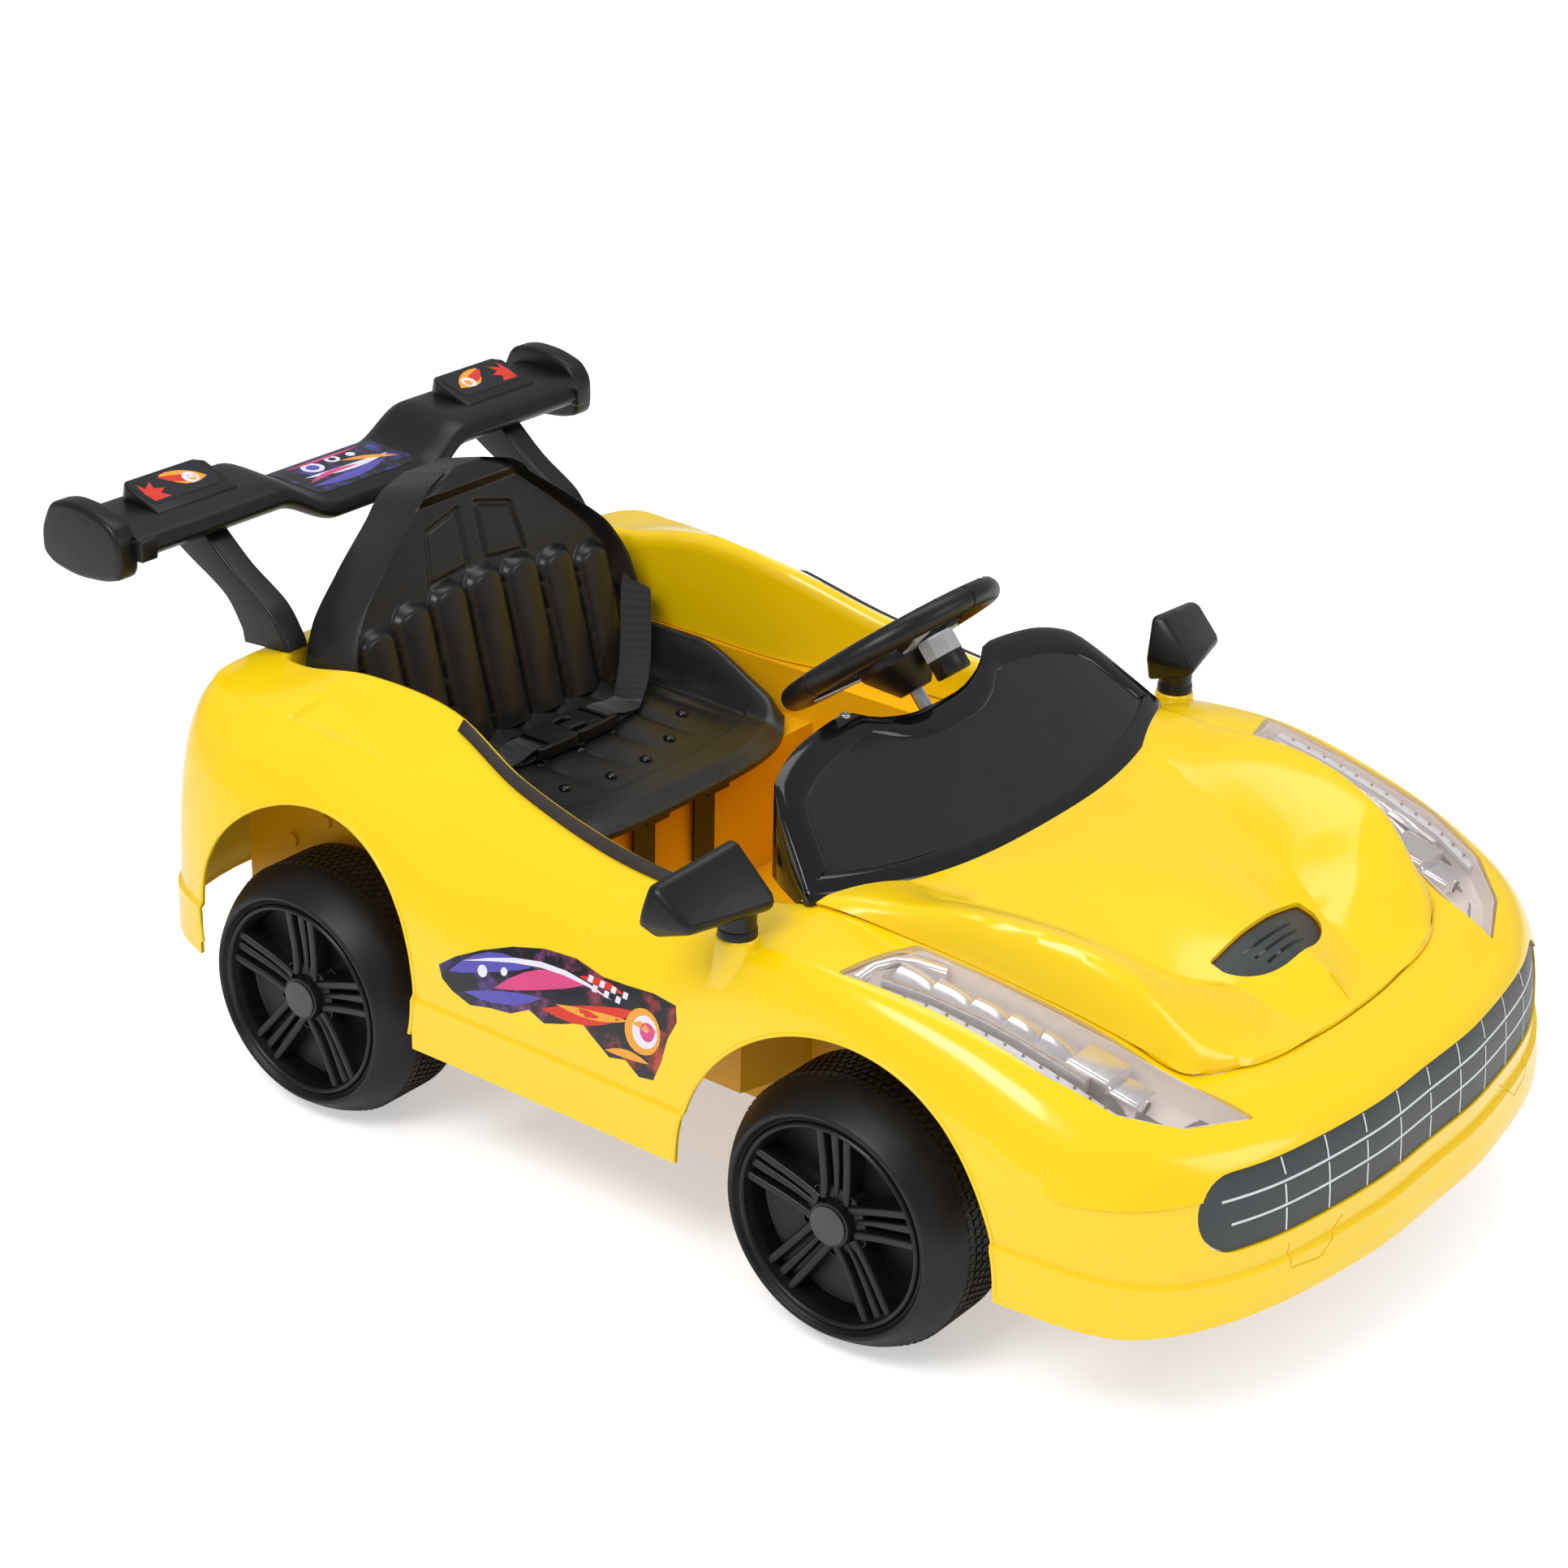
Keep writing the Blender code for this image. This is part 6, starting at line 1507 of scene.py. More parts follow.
# %% Seat back
heights = sorted(set(np.round(np.concatenate([
    np.linspace(0, 0.118, 66), np.linspace(0.118, 0.178, 56),
    np.linspace(0.178, BACK_HIGH - 0.0005, 22), [BACK_HIGH]]), 5)))
shares = np.linspace(-1, 1, 185)
rows = []
for h in heights:
    half = back_half(h)
    crown = max((h - 0.185) / (BACK_HIGH - 0.185), 0.0)
    row = []
    for share in shares:
        y = share * half
        edge = smoothstep((abs(share) - 0.955) / 0.045) ** 2
        relief = back_relief(y, h, share) - 0.012 * edge
        if h > 0.165:
            relief += 0.0115 * smoothstep((h - 0.182) / 0.009) * (1 - abs(share) ** 6)
            relief *= 1 - 0.35 * crown ** 3
        row.append(SEAT_FOOT + LEAN * h + np.array((0, y, 0)) + FACING * relief)
    rows.append(row)


def behind_back(point):
    """Point on the flat rear face, straight behind one on the front."""
    depth = float(np.dot(np.array(point) - SEAT_FOOT, FACING))
    return np.array(point) - FACING * (depth + BACK_THICK)


back = closed_block("seat_back", rows, behind_back)
print("seat back faces:", len(back.data.polygons))

# %% Seat pan with its front lip
def seat_front(y):
    """Front edge of the pan at width y, as x."""
    return SEAT_FRONT_X - 60.0 * y**4


def pan_height(y, along, share):
    """Height of the pan's top."""
    flute = abs(math.sin(math.pi * y / RIB_PITCH)) ** 0.55
    fade = smoothstep((0.78 - along) / 0.42) * smoothstep((0.136 - abs(y)) / 0.010)
    bolster = smoothstep((abs(share) - 0.80) / 0.14)
    high = 0.036 * curve_through(((0.0, 1.0), (0.45, 1.0), (0.85, 0.45), (1.0, 0.15)), along)
    edge = 0.010 * smoothstep((abs(share) - 0.955) / 0.045)
    fall = 0.006 * smoothstep((along - 0.90) / 0.10)
    step = 0.0016 * smoothstep((0.795 - along) / 0.006) * smoothstep((0.140 - abs(y)) / 0.004)
    return PAN_Z - 0.0044 + 0.0046 * flute * fade - step + high * bolster - edge - fall


pan_back = SEAT_FOOT[0] - 0.022
rows = []
for along in np.concatenate([np.linspace(0, 0.78, 60), np.linspace(0.783, 0.80, 6),
                             np.linspace(0.81, 0.90, 6), np.linspace(0.91, 1.0, 12)]):
    row = []
    for share in np.linspace(-1, 1, 181):
        y = share * (PAN_HALF - 0.012 * smoothstep((along - 0.5) / 0.5))
        x = pan_back + along * (seat_front(y) - pan_back)
        row.append(np.array((x, y, pan_height(y, along, share))))
    rows.append(row)
pan = closed_block("seat_pan", rows, lambda p: np.array((p[0], p[1], SHELF_Z + 0.0003)))
carve(pan, back, "UNION", 45)
pan.name = "seat_moulding"
dress(pan, "car", "satin_black", "seat")

# %% [markdown]
# ### Seat buttons
# Round buttons sit in the valleys of the pan. They repeat, so a small node tree puts one turned
# button on each of a handful of points and ends in plain geometry. Its inputs have names, and a
# modifier is given each value by the socket's identifier.

# %% Node trees that repeat a small part
def tree_with(name, inputs):
    """Geometry Nodes tree with a mesh going in and out, and its entry node."""
    tree = bpy.data.node_groups.new(name, "GeometryNodeTree")
    for label, kind in (("Geometry", "Geometry"),) + inputs:
        tree.interface.new_socket(label, in_out="INPUT", socket_type="NodeSocket" + kind)
    tree.interface.new_socket("Geometry", in_out="OUTPUT", socket_type="NodeSocketGeometry")
    return tree, add(tree, "NodeGroupInput")


def grown(host, tree, copies, material, values):
    """Finish a tree, run it on the host with values by input name, and leave plain mesh."""
    real = add(tree, "GeometryNodeRealizeInstances", {"Geometry": copies})
    painted = add(tree, "GeometryNodeSetMaterial", {"Geometry": real.outputs[0],
                                                    "Material": material})
    add(tree, "NodeGroupOutput", {0: painted.outputs[0]})
    grow = host.modifiers.new("grow", "NODES")
    grow.node_group = tree
    for socket in tree.interface.items_tree:
        if socket.in_out == "INPUT" and socket.name in values:
            grow[socket.identifier] = values[socket.name]
    return settle(host, 40)


def setter(name, material, part, points):
    """Mesh with a copy of part on each point."""
    mesh = bpy.data.meshes.new(name)
    mesh.from_pydata([tuple(float(c) for c in p) for p in points], [], [])
    tree, entry = tree_with(name, (("Part", "Object"), ("Size", "Float"), ("Tilt", "Vector")))
    info = add(tree, "GeometryNodeObjectInfo", {"Object": entry.outputs["Part"]})
    copies = add(tree, "GeometryNodeInstanceOnPoints",
                 {"Points": entry.outputs["Geometry"], "Instance": info.outputs["Geometry"],
                  "Rotation": entry.outputs["Tilt"], "Scale": entry.outputs["Size"]})
    host = grown(placed(name, mesh), tree, copies.outputs[0], material,
                 {"Part": part, "Size": 1.0, "Tilt": (0.0, 0.0, 0.0)})
    bpy.data.objects.remove(part)
    return host


def small_part(name, profile, sides, material):
    """Turned part centred on the origin, for setting on points."""
    return turned(name, profile, material, (-SHIFT, 0, 0), sides=sides, closed=False)


# Two bowed rows of buttons: widths, x in the middle, bow and lift.
BUTTON_ROWS = (((-0.100, -0.060, -0.020, 0.020, 0.060, 0.100), 0.062, 3.2, 0.0004),
               ((-0.080, -0.040, 0.0, 0.040, 0.080), 0.012, 3.0, 0.0010))
points = []
for widths, middle, bow, lift in BUTTON_ROWS:
    for y in widths:
        x = middle - bow * y * y
        along = (x - pan_back) / (seat_front(y) - pan_back)
        points.append((x + SHIFT, y, pan_height(y, along, y / PAN_HALF) + lift))
button = small_part("button", [(0.0048, -0.0010), (0.0050, 0.0), (0.0046, 0.0010),
                               (0.0036, 0.0019), (0.0020, 0.0025)], 24, GLOSS_BLACK)
dress(setter("seat_buttons", GLOSS_BLACK, button, points), "car", "gloss_black")

# %% [markdown]
# ## Rear wing
# The wing is one blow moulding too. Its section is a soft wedge that dips in the middle, with two
# raised pads and a plate on each end. It is lofted through many sections, and the pads and plates
# are joined on with rounded edges.

# %% Wing
WING_TOP, WING_CHORD, WING_THICK, WING_FRONT, WING_HALF = 0.385, 0.081, 0.022, -0.190, 0.242


def wing_section(y):
    """Outline of the wing's section in x and z at width y."""
    dip = 0.022 * (1 - smoothstep((abs(y) - 0.050) / 0.052))
    top = WING_TOP - dip
    under = WING_THICK - 0.15 * dip
    front = WING_FRONT + 0.25 * dip
    rear = WING_FRONT - WING_CHORD
    corners = ((front, top - 0.014), (front - 0.006, top - 0.004), (front - 0.020, top),
               (rear + 0.012, top + 0.002), (rear, top - 0.004), (rear + 0.002, top - 0.014),
               (rear + 0.020, top - under + 0.004), (front - 0.008, top - under))
    return softened(corners, (0, 0.25, 0.5, 0.75, 1.0), share=0.30)


rings = [[(x, y, z) for x, z in wing_section(y)]
         for y in np.linspace(-WING_HALF, WING_HALF, 97)]
wing = loft("wing_moulding", rings, SATIN_BLACK, 50)
print("wing faces:", len(wing.data.polygons))

# %% Pads, end plates and their sockets
PAD_OUTLINE = ((-0.262, 0.131), (-0.262, 0.198), (-0.254, 0.204), (-0.214, 0.204),
               (-0.214, 0.125), (-0.254, 0.125))
PLATE_OUTLINE = softened(((-0.283, 0.374), (-0.283, 0.355), (-0.272, 0.347), (-0.247, 0.343),
                          (-0.217, 0.346), (-0.199, 0.352), (-0.199, 0.380), (-0.209, 0.393),
                          (-0.231, 0.399), (-0.255, 0.400), (-0.273, 0.395)),
                         (0, 0.33, 0.67, 1), share=0.35)
SOCKET_OUTLINE = ((-0.208, 0.364), (-0.190, 0.364), (-0.190, 0.380), (-0.208, 0.380))
# Each is an outline, how far its two faces lie beyond the wing's end, and its rounding.
ENDS = ((PLATE_OUTLINE, -0.004, 0.016, 0.0045, 4, 40),
        (SOCKET_OUTLINE, -0.014, 0.002, 0.0016, 3, 30))
for _, sign in SIDES:
    rings = [[(x, sign * y, WING_TOP - 0.006) for x, y in PAD_OUTLINE],
             [(x + 0.004 if x < -0.22 else x, sign * y,
               WING_TOP + (0.0135 if x < -0.22 else 0.001)) for x, y in PAD_OUTLINE]]
    pad = round_edges(loft("pad", rings, SATIN_BLACK), 0.0022, 3, 30)
    carve(wing, pad, "UNION", 45)
    for outline, inner, outer, width, segments, limit in ENDS:
        low, high = sorted((sign * (WING_HALF + inner), sign * (WING_HALF + outer)))
        end = prism("end", outline, "y", low, high, SATIN_BLACK)
        carve(wing, round_edges(end, width, segments, limit), "UNION", 45)
dress(wing, "car", "satin_black", "spoiler_wing")

# %% [markdown]
# ## Struts
# Two flat struts curve back from the deck to the wing. Each is lofted through rounded sections
# that move back and widen near the top, and its foot is set down on the skin point by point.

# %% Struts
STRUT_Y, STRUT_WIDTH, STRUT_ROUND = 0.161, 0.022, 0.0035
deck = np.array([plain_skin(u, v) for u in np.linspace(0, 3, 61)
                 for v in np.linspace(0.8, 2, 41)])
for side, sign in SIDES:
    rings = []
    for t in np.linspace(0, 1, 25):
        front = curve_through(((0, -0.120), (0.35, -0.137), (0.7, -0.175), (1, -0.200)), t)
        chord = curve_through(((0, 0.047), (0.5, 0.046), (1, 0.056)), t)
        z = 0.2950 + (WING_TOP - WING_THICK - 0.2955) * t
        rings.append([(front - chord / 2 + x, sign * STRUT_Y + y, z)
                      for x, y in rounded_box(chord, STRUT_WIDTH, STRUT_ROUND)])
    seated = []
    for x, y, z in rings[0]:
        away = np.hypot(deck[:, 0] - x, deck[:, 1] - abs(y))
        seated.append((x, y, max(deck[int(away.argmin())][2] + 0.0006, 0.2885)))
    rings[0] = seated
    dress(loft(f"wing_strut_{side}", rings, SATIN_BLACK, 45), "car", "satin_black",
          f"spoiler_strut_{side}")

# %% [markdown]
# ## Steering wheel
# The ring is one hollow moulding with seams where its grips meet and small nicks on top. Three
# spokes carry silver plates, and an eight-sided sound box with a silver lid hangs behind the
# upper spoke. Everything is drawn in the wheel's own plane and turned to the column's slope.

# %% Ring and hub
RING_RADIUS, TUBE_RADIUS = 0.0765, 0.0088


def at_wheel(p):
    """Point given in the wheel's own plane."""
    return Vector(WHEEL_CENTRE) + COLUMN_TURN @ Vector(p)


rings = []
seams = [math.radians(a) for a in (1, 98, 262)]
steps = set(full_turn(144)) | {s + d for s in seams for d in (-0.014, -0.008, 0.008, 0.014)}
for a in sorted(steps):
    in_seam = min(abs(a - s) for s in seams) < 0.011
    tube = TUBE_RADIUS - (0.0010 if in_seam else 0.0)
    rings.append([at_wheel(polar(RING_RADIUS, a) + polar(1, a) * tube * math.cos(b)
                           + Vector((0, 0, tube * math.sin(b)))) for b in full_turn(28)])
ring = hoop("ring", rings, SATIN_BLACK, 50)
hub = turned("hub", [(0.012, -0.036), (0.019, -0.0275), (0.0215, -0.0245), (0.029, -0.0150),
                     (0.0300, -0.0130), (0.0300, -0.0050), (0.0290, -0.0022), (0.026, 0.0010),
                     (0.0098, 0.0010), (0.0095, 0.0006), (0.0095, -0.006), (0.0058, -0.006),
                     (0.0058, -0.036)], SATIN_BLACK, WHEEL_CENTRE, sides=64,
             turn=COLUMN_TURN)
print("ring faces:", len(ring.data.polygons))

# %% Spokes and their silver plates
parts, plates = [hub], []
for angle in (90, 210, 330):
    turn = Matrix.Rotation(math.radians(angle), 3, "Z")
    spoke_rings, plate_rings, under_rings = [], [], []
    for t in np.linspace(0, 1, 9):
        x = 0.020 + 0.052 * t
        half = 0.0105 - 0.004 * math.sin(math.pi * min(t * 1.15, 1)) - 0.002 * t
        top, low = -0.004 + 0.08 * (x - 0.02), -0.0115 + 0.09 * (x - 0.02)
        section = ((-half, low + 0.002), (-half + 0.002, low), (half - 0.002, low),
                   (half, low + 0.002), (half, top - 0.0015), (half - 0.0015, top),
                   (-half + 0.0015, top), (-half, top - 0.0015))
        spoke_rings.append([at_wheel(turn @ Vector((x, y, z))) for y, z in section])
        if 0.12 < t < 0.9:
            inner = half - 0.0022
            plate_rings.append([at_wheel(turn @ Vector((x, y, top + z))) for y, z in (
                (-inner, -0.0004), (inner, -0.0004), (inner, 0.0006), (inner - 0.0006, 0.0011),
                (-inner + 0.0006, 0.0011), (-inner, 0.0006))])
            under_rings.append([at_wheel(turn @ Vector((x, y, low + z))) for y, z in (
                (-inner, 0.0004), (inner, 0.0004), (inner, -0.0008), (inner - 0.0008, -0.0016),
                (-inner + 0.0008, -0.0016), (-inner, -0.0008))])
    parts.append(loft("spoke", spoke_rings, SATIN_BLACK, 40))
    plates.append(loft("plate", under_rings, SILVER_PAINT, 40))
    plates.append(loft("plate", plate_rings, SILVER_PAINT, 40))


# %% Sound box, its lid and the horn button
def octagon(grow):
    """Eight-sided outline of the sound box in the wheel's plane."""
    return [(0.038 + (0.013 + grow) * math.cos(a), (0.015 + grow) * math.sin(a))
            for a in np.linspace(math.pi / 8, 2 * math.pi + math.pi / 8, 8, endpoint=False)]


box_rings = [[at_wheel((x, y, z)) for x, y in octagon(g)]
             for g, z in ((-0.0012, -0.0400), (0.0, -0.0388), (0.0, -0.0260))]
parts.append(loft("sound_box", box_rings, SATIN_BLACK, 25))
lid_rings = [[at_wheel((x, y, z)) for x, y in octagon(g)]
             for g, z in ((-0.0004, -0.0262), (0.0004, -0.0256), (0.0004, -0.0125),
                          (-0.0012, -0.0108))]
plates.append(loft("lid", lid_rings, SILVER_PAINT, 25))
for part in parts:
    carve(ring, part, "UNION", 45)
ring.name = "steering_moulding"
dress(ring, "steering", "satin_black", "steering_wheel")
dress(joined("steering_plates", plates), "steering", "silver_plastic")
horn = turned("horn_cap", [(0.0090, -0.0035), (0.0090, 0.0026), (0.0086, 0.0036),
                           (0.0076, 0.0042), (0.0040, 0.0045), (0.0, 0.0045), (0.0, -0.0035)],
              SILVER_PAINT, WHEEL_CENTRE, sides=48, turn=COLUMN_TURN)
dress(horn, "horn", "silver_plastic", "horn_button")

# %% [markdown]
# ### Nicks
# Pairs of small black nicks mark the two grips. They are another part for the node tree that sets
# one thing on every point.

# %% Nicks on the ring
nick = small_part("nick", [(0.0009, -0.0006), (0.0009, 0.0002), (0.0005, 0.0004)], 8,
                  GLOSS_BLACK)
points = []
for a in np.radians((18, 29, 40, 51, 62, 73, 287, 298, 309, 320, 331, 342)):
    for b in (0.9, 1.15):
        p = at_wheel(polar(1, a) * (RING_RADIUS + TUBE_RADIUS * math.cos(b))
                     + Vector((0, 0, TUBE_RADIUS * math.sin(b))))
        points.append((p.x + SHIFT, p.y, p.z))
dress(setter("ring_nicks", GLOSS_BLACK, nick, points), "steering", "satin_black")

# %% [markdown]
# ## Wheels
# Each wheel is a blow-moulded tyre with a separate rim. The tyre is a turned profile with a soft
# shoulder. Its tread is hundreds of small bars that repeat round the rim of the wheel, so a node
# tree makes them: a circle of points, a bar on each, turned to face out from the axle.

# %% Wheels and the tyre's profile
WHEEL_RADIUS, WHEEL_WIDE = 0.095, 0.078
WHEELS = [(f"{end}_{side}", x, sign, face - WHEEL_WIDE) for side, sign in SIDES
          for end, x, face in (("rear", 0.0, 0.2920), ("front", 0.468, 0.2865))]


def wheel_turn(sign):
    """Turn that takes a profile's local Z outwards along the axle."""
    return Matrix.Rotation(-sign * math.pi / 2, 3, "X")


def wheel_at(x, sign, inner):
    """Middle of a wheel's inner face."""
    return (x, sign * inner, WHEEL_RADIUS)


# Radius and distance from the inner face.
TYRE = ((0.0726, 0.0020), (0.0790, 0.0004), (0.0872, 0.0), (0.0915, 0.0022), (0.0938, 0.0055),
        (0.0948, 0.0085), (0.0950, 0.0105), (0.0942, 0.0118), (0.0942, 0.0448),
        (0.0950, 0.0462), (0.0944, 0.0508), (0.0930, 0.0556), (0.0906, 0.0608),
        (0.0876, 0.0658), (0.0846, 0.0702), (0.0822, 0.0735), (0.0804, 0.0758),
        (0.0790, 0.0773), (0.0778, 0.0779), (0.0766, 0.0776), (0.0757, 0.0764),
        (0.0750, 0.0746), (0.0740, 0.0738), (0.0726, 0.0745))


print("wheels:", [wheel[0] for wheel in WHEELS])

# %% Tread bars round every tyre
TREAD_BARS, TREAD_RADIUS, TREAD_BAR = 96, 0.09445, (0.0011, 0.0036, 0.0050)
TREAD_LEVELS = (0.0150, 0.0217, 0.0284, 0.0351, 0.0418, 0.0485)


def tread():
    """One row of bars round the origin, in the plane z = 0."""
    tree, entry = tree_with("tread", (("Count", "Int"), ("Radius", "Float"), ("Bar", "Vector")))
    circle = add(tree, "GeometryNodeMeshCircle", {"Vertices": entry.outputs["Count"],
                                                  "Radius": entry.outputs["Radius"]})
    cube = add(tree, "GeometryNodeMeshCube", {"Size": entry.outputs["Bar"]})
    here = add(tree, "GeometryNodeInputPosition")
    outwards = add(tree, "FunctionNodeAlignRotationToVector", {"Vector": here.outputs[0]},
                   axis="X")
    copies = add(tree, "GeometryNodeInstanceOnPoints",
                 {"Points": circle.outputs[0], "Instance": cube.outputs["Mesh"],
                  "Rotation": outwards.outputs[0]})
    return grown(placed("tread", bpy.data.meshes.new("tread")), tree, copies.outputs[0],
                 WHEEL_BLACK, {"Count": TREAD_BARS, "Radius": TREAD_RADIUS, "Bar": TREAD_BAR})


for place, x, sign, inner in WHEELS:
    at, turn = wheel_at(x, sign, inner), wheel_turn(sign)
    pieces = [turned("tyre", TYRE, WHEEL_BLACK, at, sides=128, angle=50, turn=turn)]
    to_wheel = Matrix.Translation((at[0] + SHIFT, at[1], at[2])) @ turn.to_4x4()
    for row, level in enumerate(TREAD_LEVELS):
        bars = tread()
        bars.data.transform(Matrix.Rotation(row * math.pi / TREAD_BARS, 4, "Z"))
        bars.data.transform(Matrix.Translation((0, 0, level)))
        bars.data.transform(to_wheel)
        pieces.append(bars)
    dress(joined(f"tyre_moulding_{place}", pieces), f"wheel_{place}", "wheel_black",
          f"tyre_{place}")

# %% [markdown]
# ### Rims
# A rim is a dish with a rolled lip and five broad spokes. Each spoke is two strong bars with a
# thin one between them, so it shows two dark slots, and five round pockets sit between the
# spokes at the hub. Bars are lofted, because they widen and bend down into the dish.

# %% Rim with five slotted spokes
RIM = ((0.0053, 0.0), (0.013, 0.0), (0.013, 0.046), (0.064, 0.046), (0.066, 0.006),
       (0.0720, 0.006), (0.0720, 0.0745), (0.0714, 0.0762), (0.0702, 0.0770), (0.0690, 0.0766),
       (0.0682, 0.0756), (0.0676, 0.0742), (0.0672, 0.0720), (0.0662, 0.0700), (0.0655, 0.0660),
       (0.0648, 0.0560), (0.0630, 0.0545), (0.0250, 0.0545), (0.0240, 0.0560),
       (0.0240, 0.0640), (0.0232, 0.0652), (0.0170, 0.0665), (0.0162, 0.0690),
       (0.0160, 0.0722), (0.0154, 0.0733), (0.0145, 0.0736), (0.0053, 0.0736))


# Bars of one spoke: shift from its middle line, half width and height, each at hub and lip.
BARS = ((-0.0084, -0.0108, 0.0030, 0.0030, 0.0690, 0.0728),
        (0.0084, 0.0108, 0.0030, 0.0030, 0.0690, 0.0728),
        (0.0, 0.0, 0.0020, 0.0034, 0.0672, 0.0712),
        (0.0, 0.0, 0.0090, 0.0112, 0.0600, 0.0640))
BAR_LOW = 0.0540
POCKET = ((0.0052, -0.004), (0.0052, 0.0062), (0.0048, 0.0070), (0.0040, 0.0070),
          (0.0036, 0.0062), (0.0035, 0.0010), (0.0, 0.0010), (0.0, -0.004))


def spoke_bar(angle, inner_shift, outer_shift, half_in, half_out, level_in, level_out):
    """Sections of a bar from hub to lip, beside a spoke's own middle line."""
    rings = []
    for t in np.linspace(0, 1, 9):
        radius = 0.0155 + 0.0525 * t
        middle = inner_shift + (outer_shift - inner_shift) * t
        half = half_in + (half_out - half_in) * t
        top = level_in + (level_out - level_in) * smoothstep(t) - 0.0012 * math.sin(math.pi * t)
        section = ((-half - 0.0006, BAR_LOW), (half + 0.0006, BAR_LOW), (half, top - 0.0014),
                   (half - 0.0007, top - 0.0003), (half - 0.0014, top),
                   (-half + 0.0014, top), (-half + 0.0007, top - 0.0003), (-half, top - 0.0014))
        rings.append([(radius * math.cos(angle) - (middle + across) * math.sin(angle),
                       radius * math.sin(angle) + (middle + across) * math.cos(angle), z)
                      for across, z in section])
    return rings


for place, x, sign, inner in WHEELS:
    at, turn = wheel_at(x, sign, inner), wheel_turn(sign)
    pieces = [turned("rim", RIM, RIM_BLACK, at, sides=128, turn=turn, angle=40)]
    for k in range(5):
        angle = 2 * math.pi * k / 5 + math.pi / 2
        for bar in BARS:
            rings = [[Vector(at) + turn @ Vector(p) for p in section]
                     for section in spoke_bar(angle, *bar)]
            pieces.append(loft("bar", rings, RIM_BLACK, 40))
        spot = Vector(at) + turn @ polar(0.0212, angle + math.pi / 5, 0.0600)
        pieces.append(turned("pocket", POCKET, RIM_BLACK, spot, sides=24, turn=turn))
    dress(joined(f"rim_moulding_{place}", pieces), f"wheel_{place}", "wheel_black",
          f"rim_{place}")
    cap = turned(f"hub_disc_{place}", [(0.0, 0.0739), (0.0130, 0.0739), (0.0136, 0.0743),
                                       (0.0134, 0.0749), (0.0126, 0.0752), (0.0, 0.0752)],
                 GREY_CAP, at, sides=64, turn=turn)
    dress(cap, f"wheel_{place}", "grey_plastic", f"hub_cap_{place}")

# %% [markdown]
# ## Stickers on the doors and wing
# Each door has a printed vinyl sticker, and the wing has one on each pad and one in its dip. They
# are flat foils on curved plastic, so each is a flat outline cut into tiles and laid on the
# surface below. The picture on them is an invented one: comets, streaks and a few squares in the
# colours of the print. Each colour is a foil of its own, a fraction higher than the one below.

# %% Foil with a cloudy print
def printed_cloud(name, dark, first, second, low_x, high_x):
    """Dark print with glowing clouds, whose tone goes from first to second along x."""
    material, tree = blank(name)
    place = add(tree, "ShaderNodeTexCoord").outputs["Object"]
    along = add(tree, "ShaderNodeSeparateXYZ", {0: place})
    share = add(tree, "ShaderNodeMapRange", {0: along.outputs[0], 1: low_x, 2: high_x,
                                             3: 0.0, 4: 1.0})
    cloud = add(tree, "ShaderNodeTexNoise", {"Vector": place, "Scale": 55.0, "Detail": 5.0,
                                             "Roughness": 0.6})
    shown = add(tree, "ShaderNodeMapRange", {0: cloud.outputs["Fac"], 1: 0.50, 2: 0.72,
                                             3: 0.0, 4: 1.0})
    glow = add(tree, "ShaderNodeMix", {0: share.outputs[0], 6: linear(first),
                                       7: linear(second)}, data_type="RGBA")
    tint = add(tree, "ShaderNodeMix", {0: shown.outputs[0], 6: linear(dark), 7: glow.outputs[2]},
               data_type="RGBA")
    shader = add(tree, "ShaderNodeBsdfPrincipled", {"Base Color": tint.outputs[2],
                                                    "Roughness": 0.30,
                                                    "Specular IOR Level": 0.5})
    add(tree, "ShaderNodeOutputMaterial", {0: shader.outputs[0]})
    return material


# Glowing clouds on black: depth and colour behind the sharp marks.
FOIL_CLOUD = printed_cloud("foil_print_cloudy", "17151C", "4B46A8", "B8402A",
                           0.150 + SHIFT, 0.300 + SHIFT)


# %% Marks of the print, and the sticker that carries them
def streak(start, end, wide, bend):
    """Leaf shape from start to end, in millimetres, that bows to one side."""
    start, end = np.array(start, float), np.array(end, float)
    along = end - start
    across = np.array((-along[1], along[0])) / np.hypot(*along)
    line = []
    for sign in (1, -1):
        for t in np.linspace(0, 1, 7)[::sign][:-1]:
            half = sign * wide / 2 * math.sin(math.pi * t)**0.8
            line.append(tuple(start + along * t
                              + across * (bend * math.sin(math.pi * t) + half)))
    return line


def disc(a, b, radius):
    return [(a + radius * math.cos(k), b + radius * math.sin(k)) for k in full_turn(20)]


def square(a, b, size):
    """Leaning square with its lower corner at a and b."""
    return [(a, b), (a + size, b), (a + size * 1.1, b + size), (a + size * 0.1, b + size)]


def sticker(name, base, ground, marks, find):
    """Base foil with printed marks on it. Outlines are in millimetres."""
    layers = [laid("base", base, find, ground, lift=0.0003, thick=0.0005, step=6)]
    for level, (finish, outline) in enumerate(marks):
        layers.append(laid("mark", outline, find, finish, lift=0.00036 + 0.00001 * level,
                           thick=0.0002, step=6))
    return joined(name, layers)


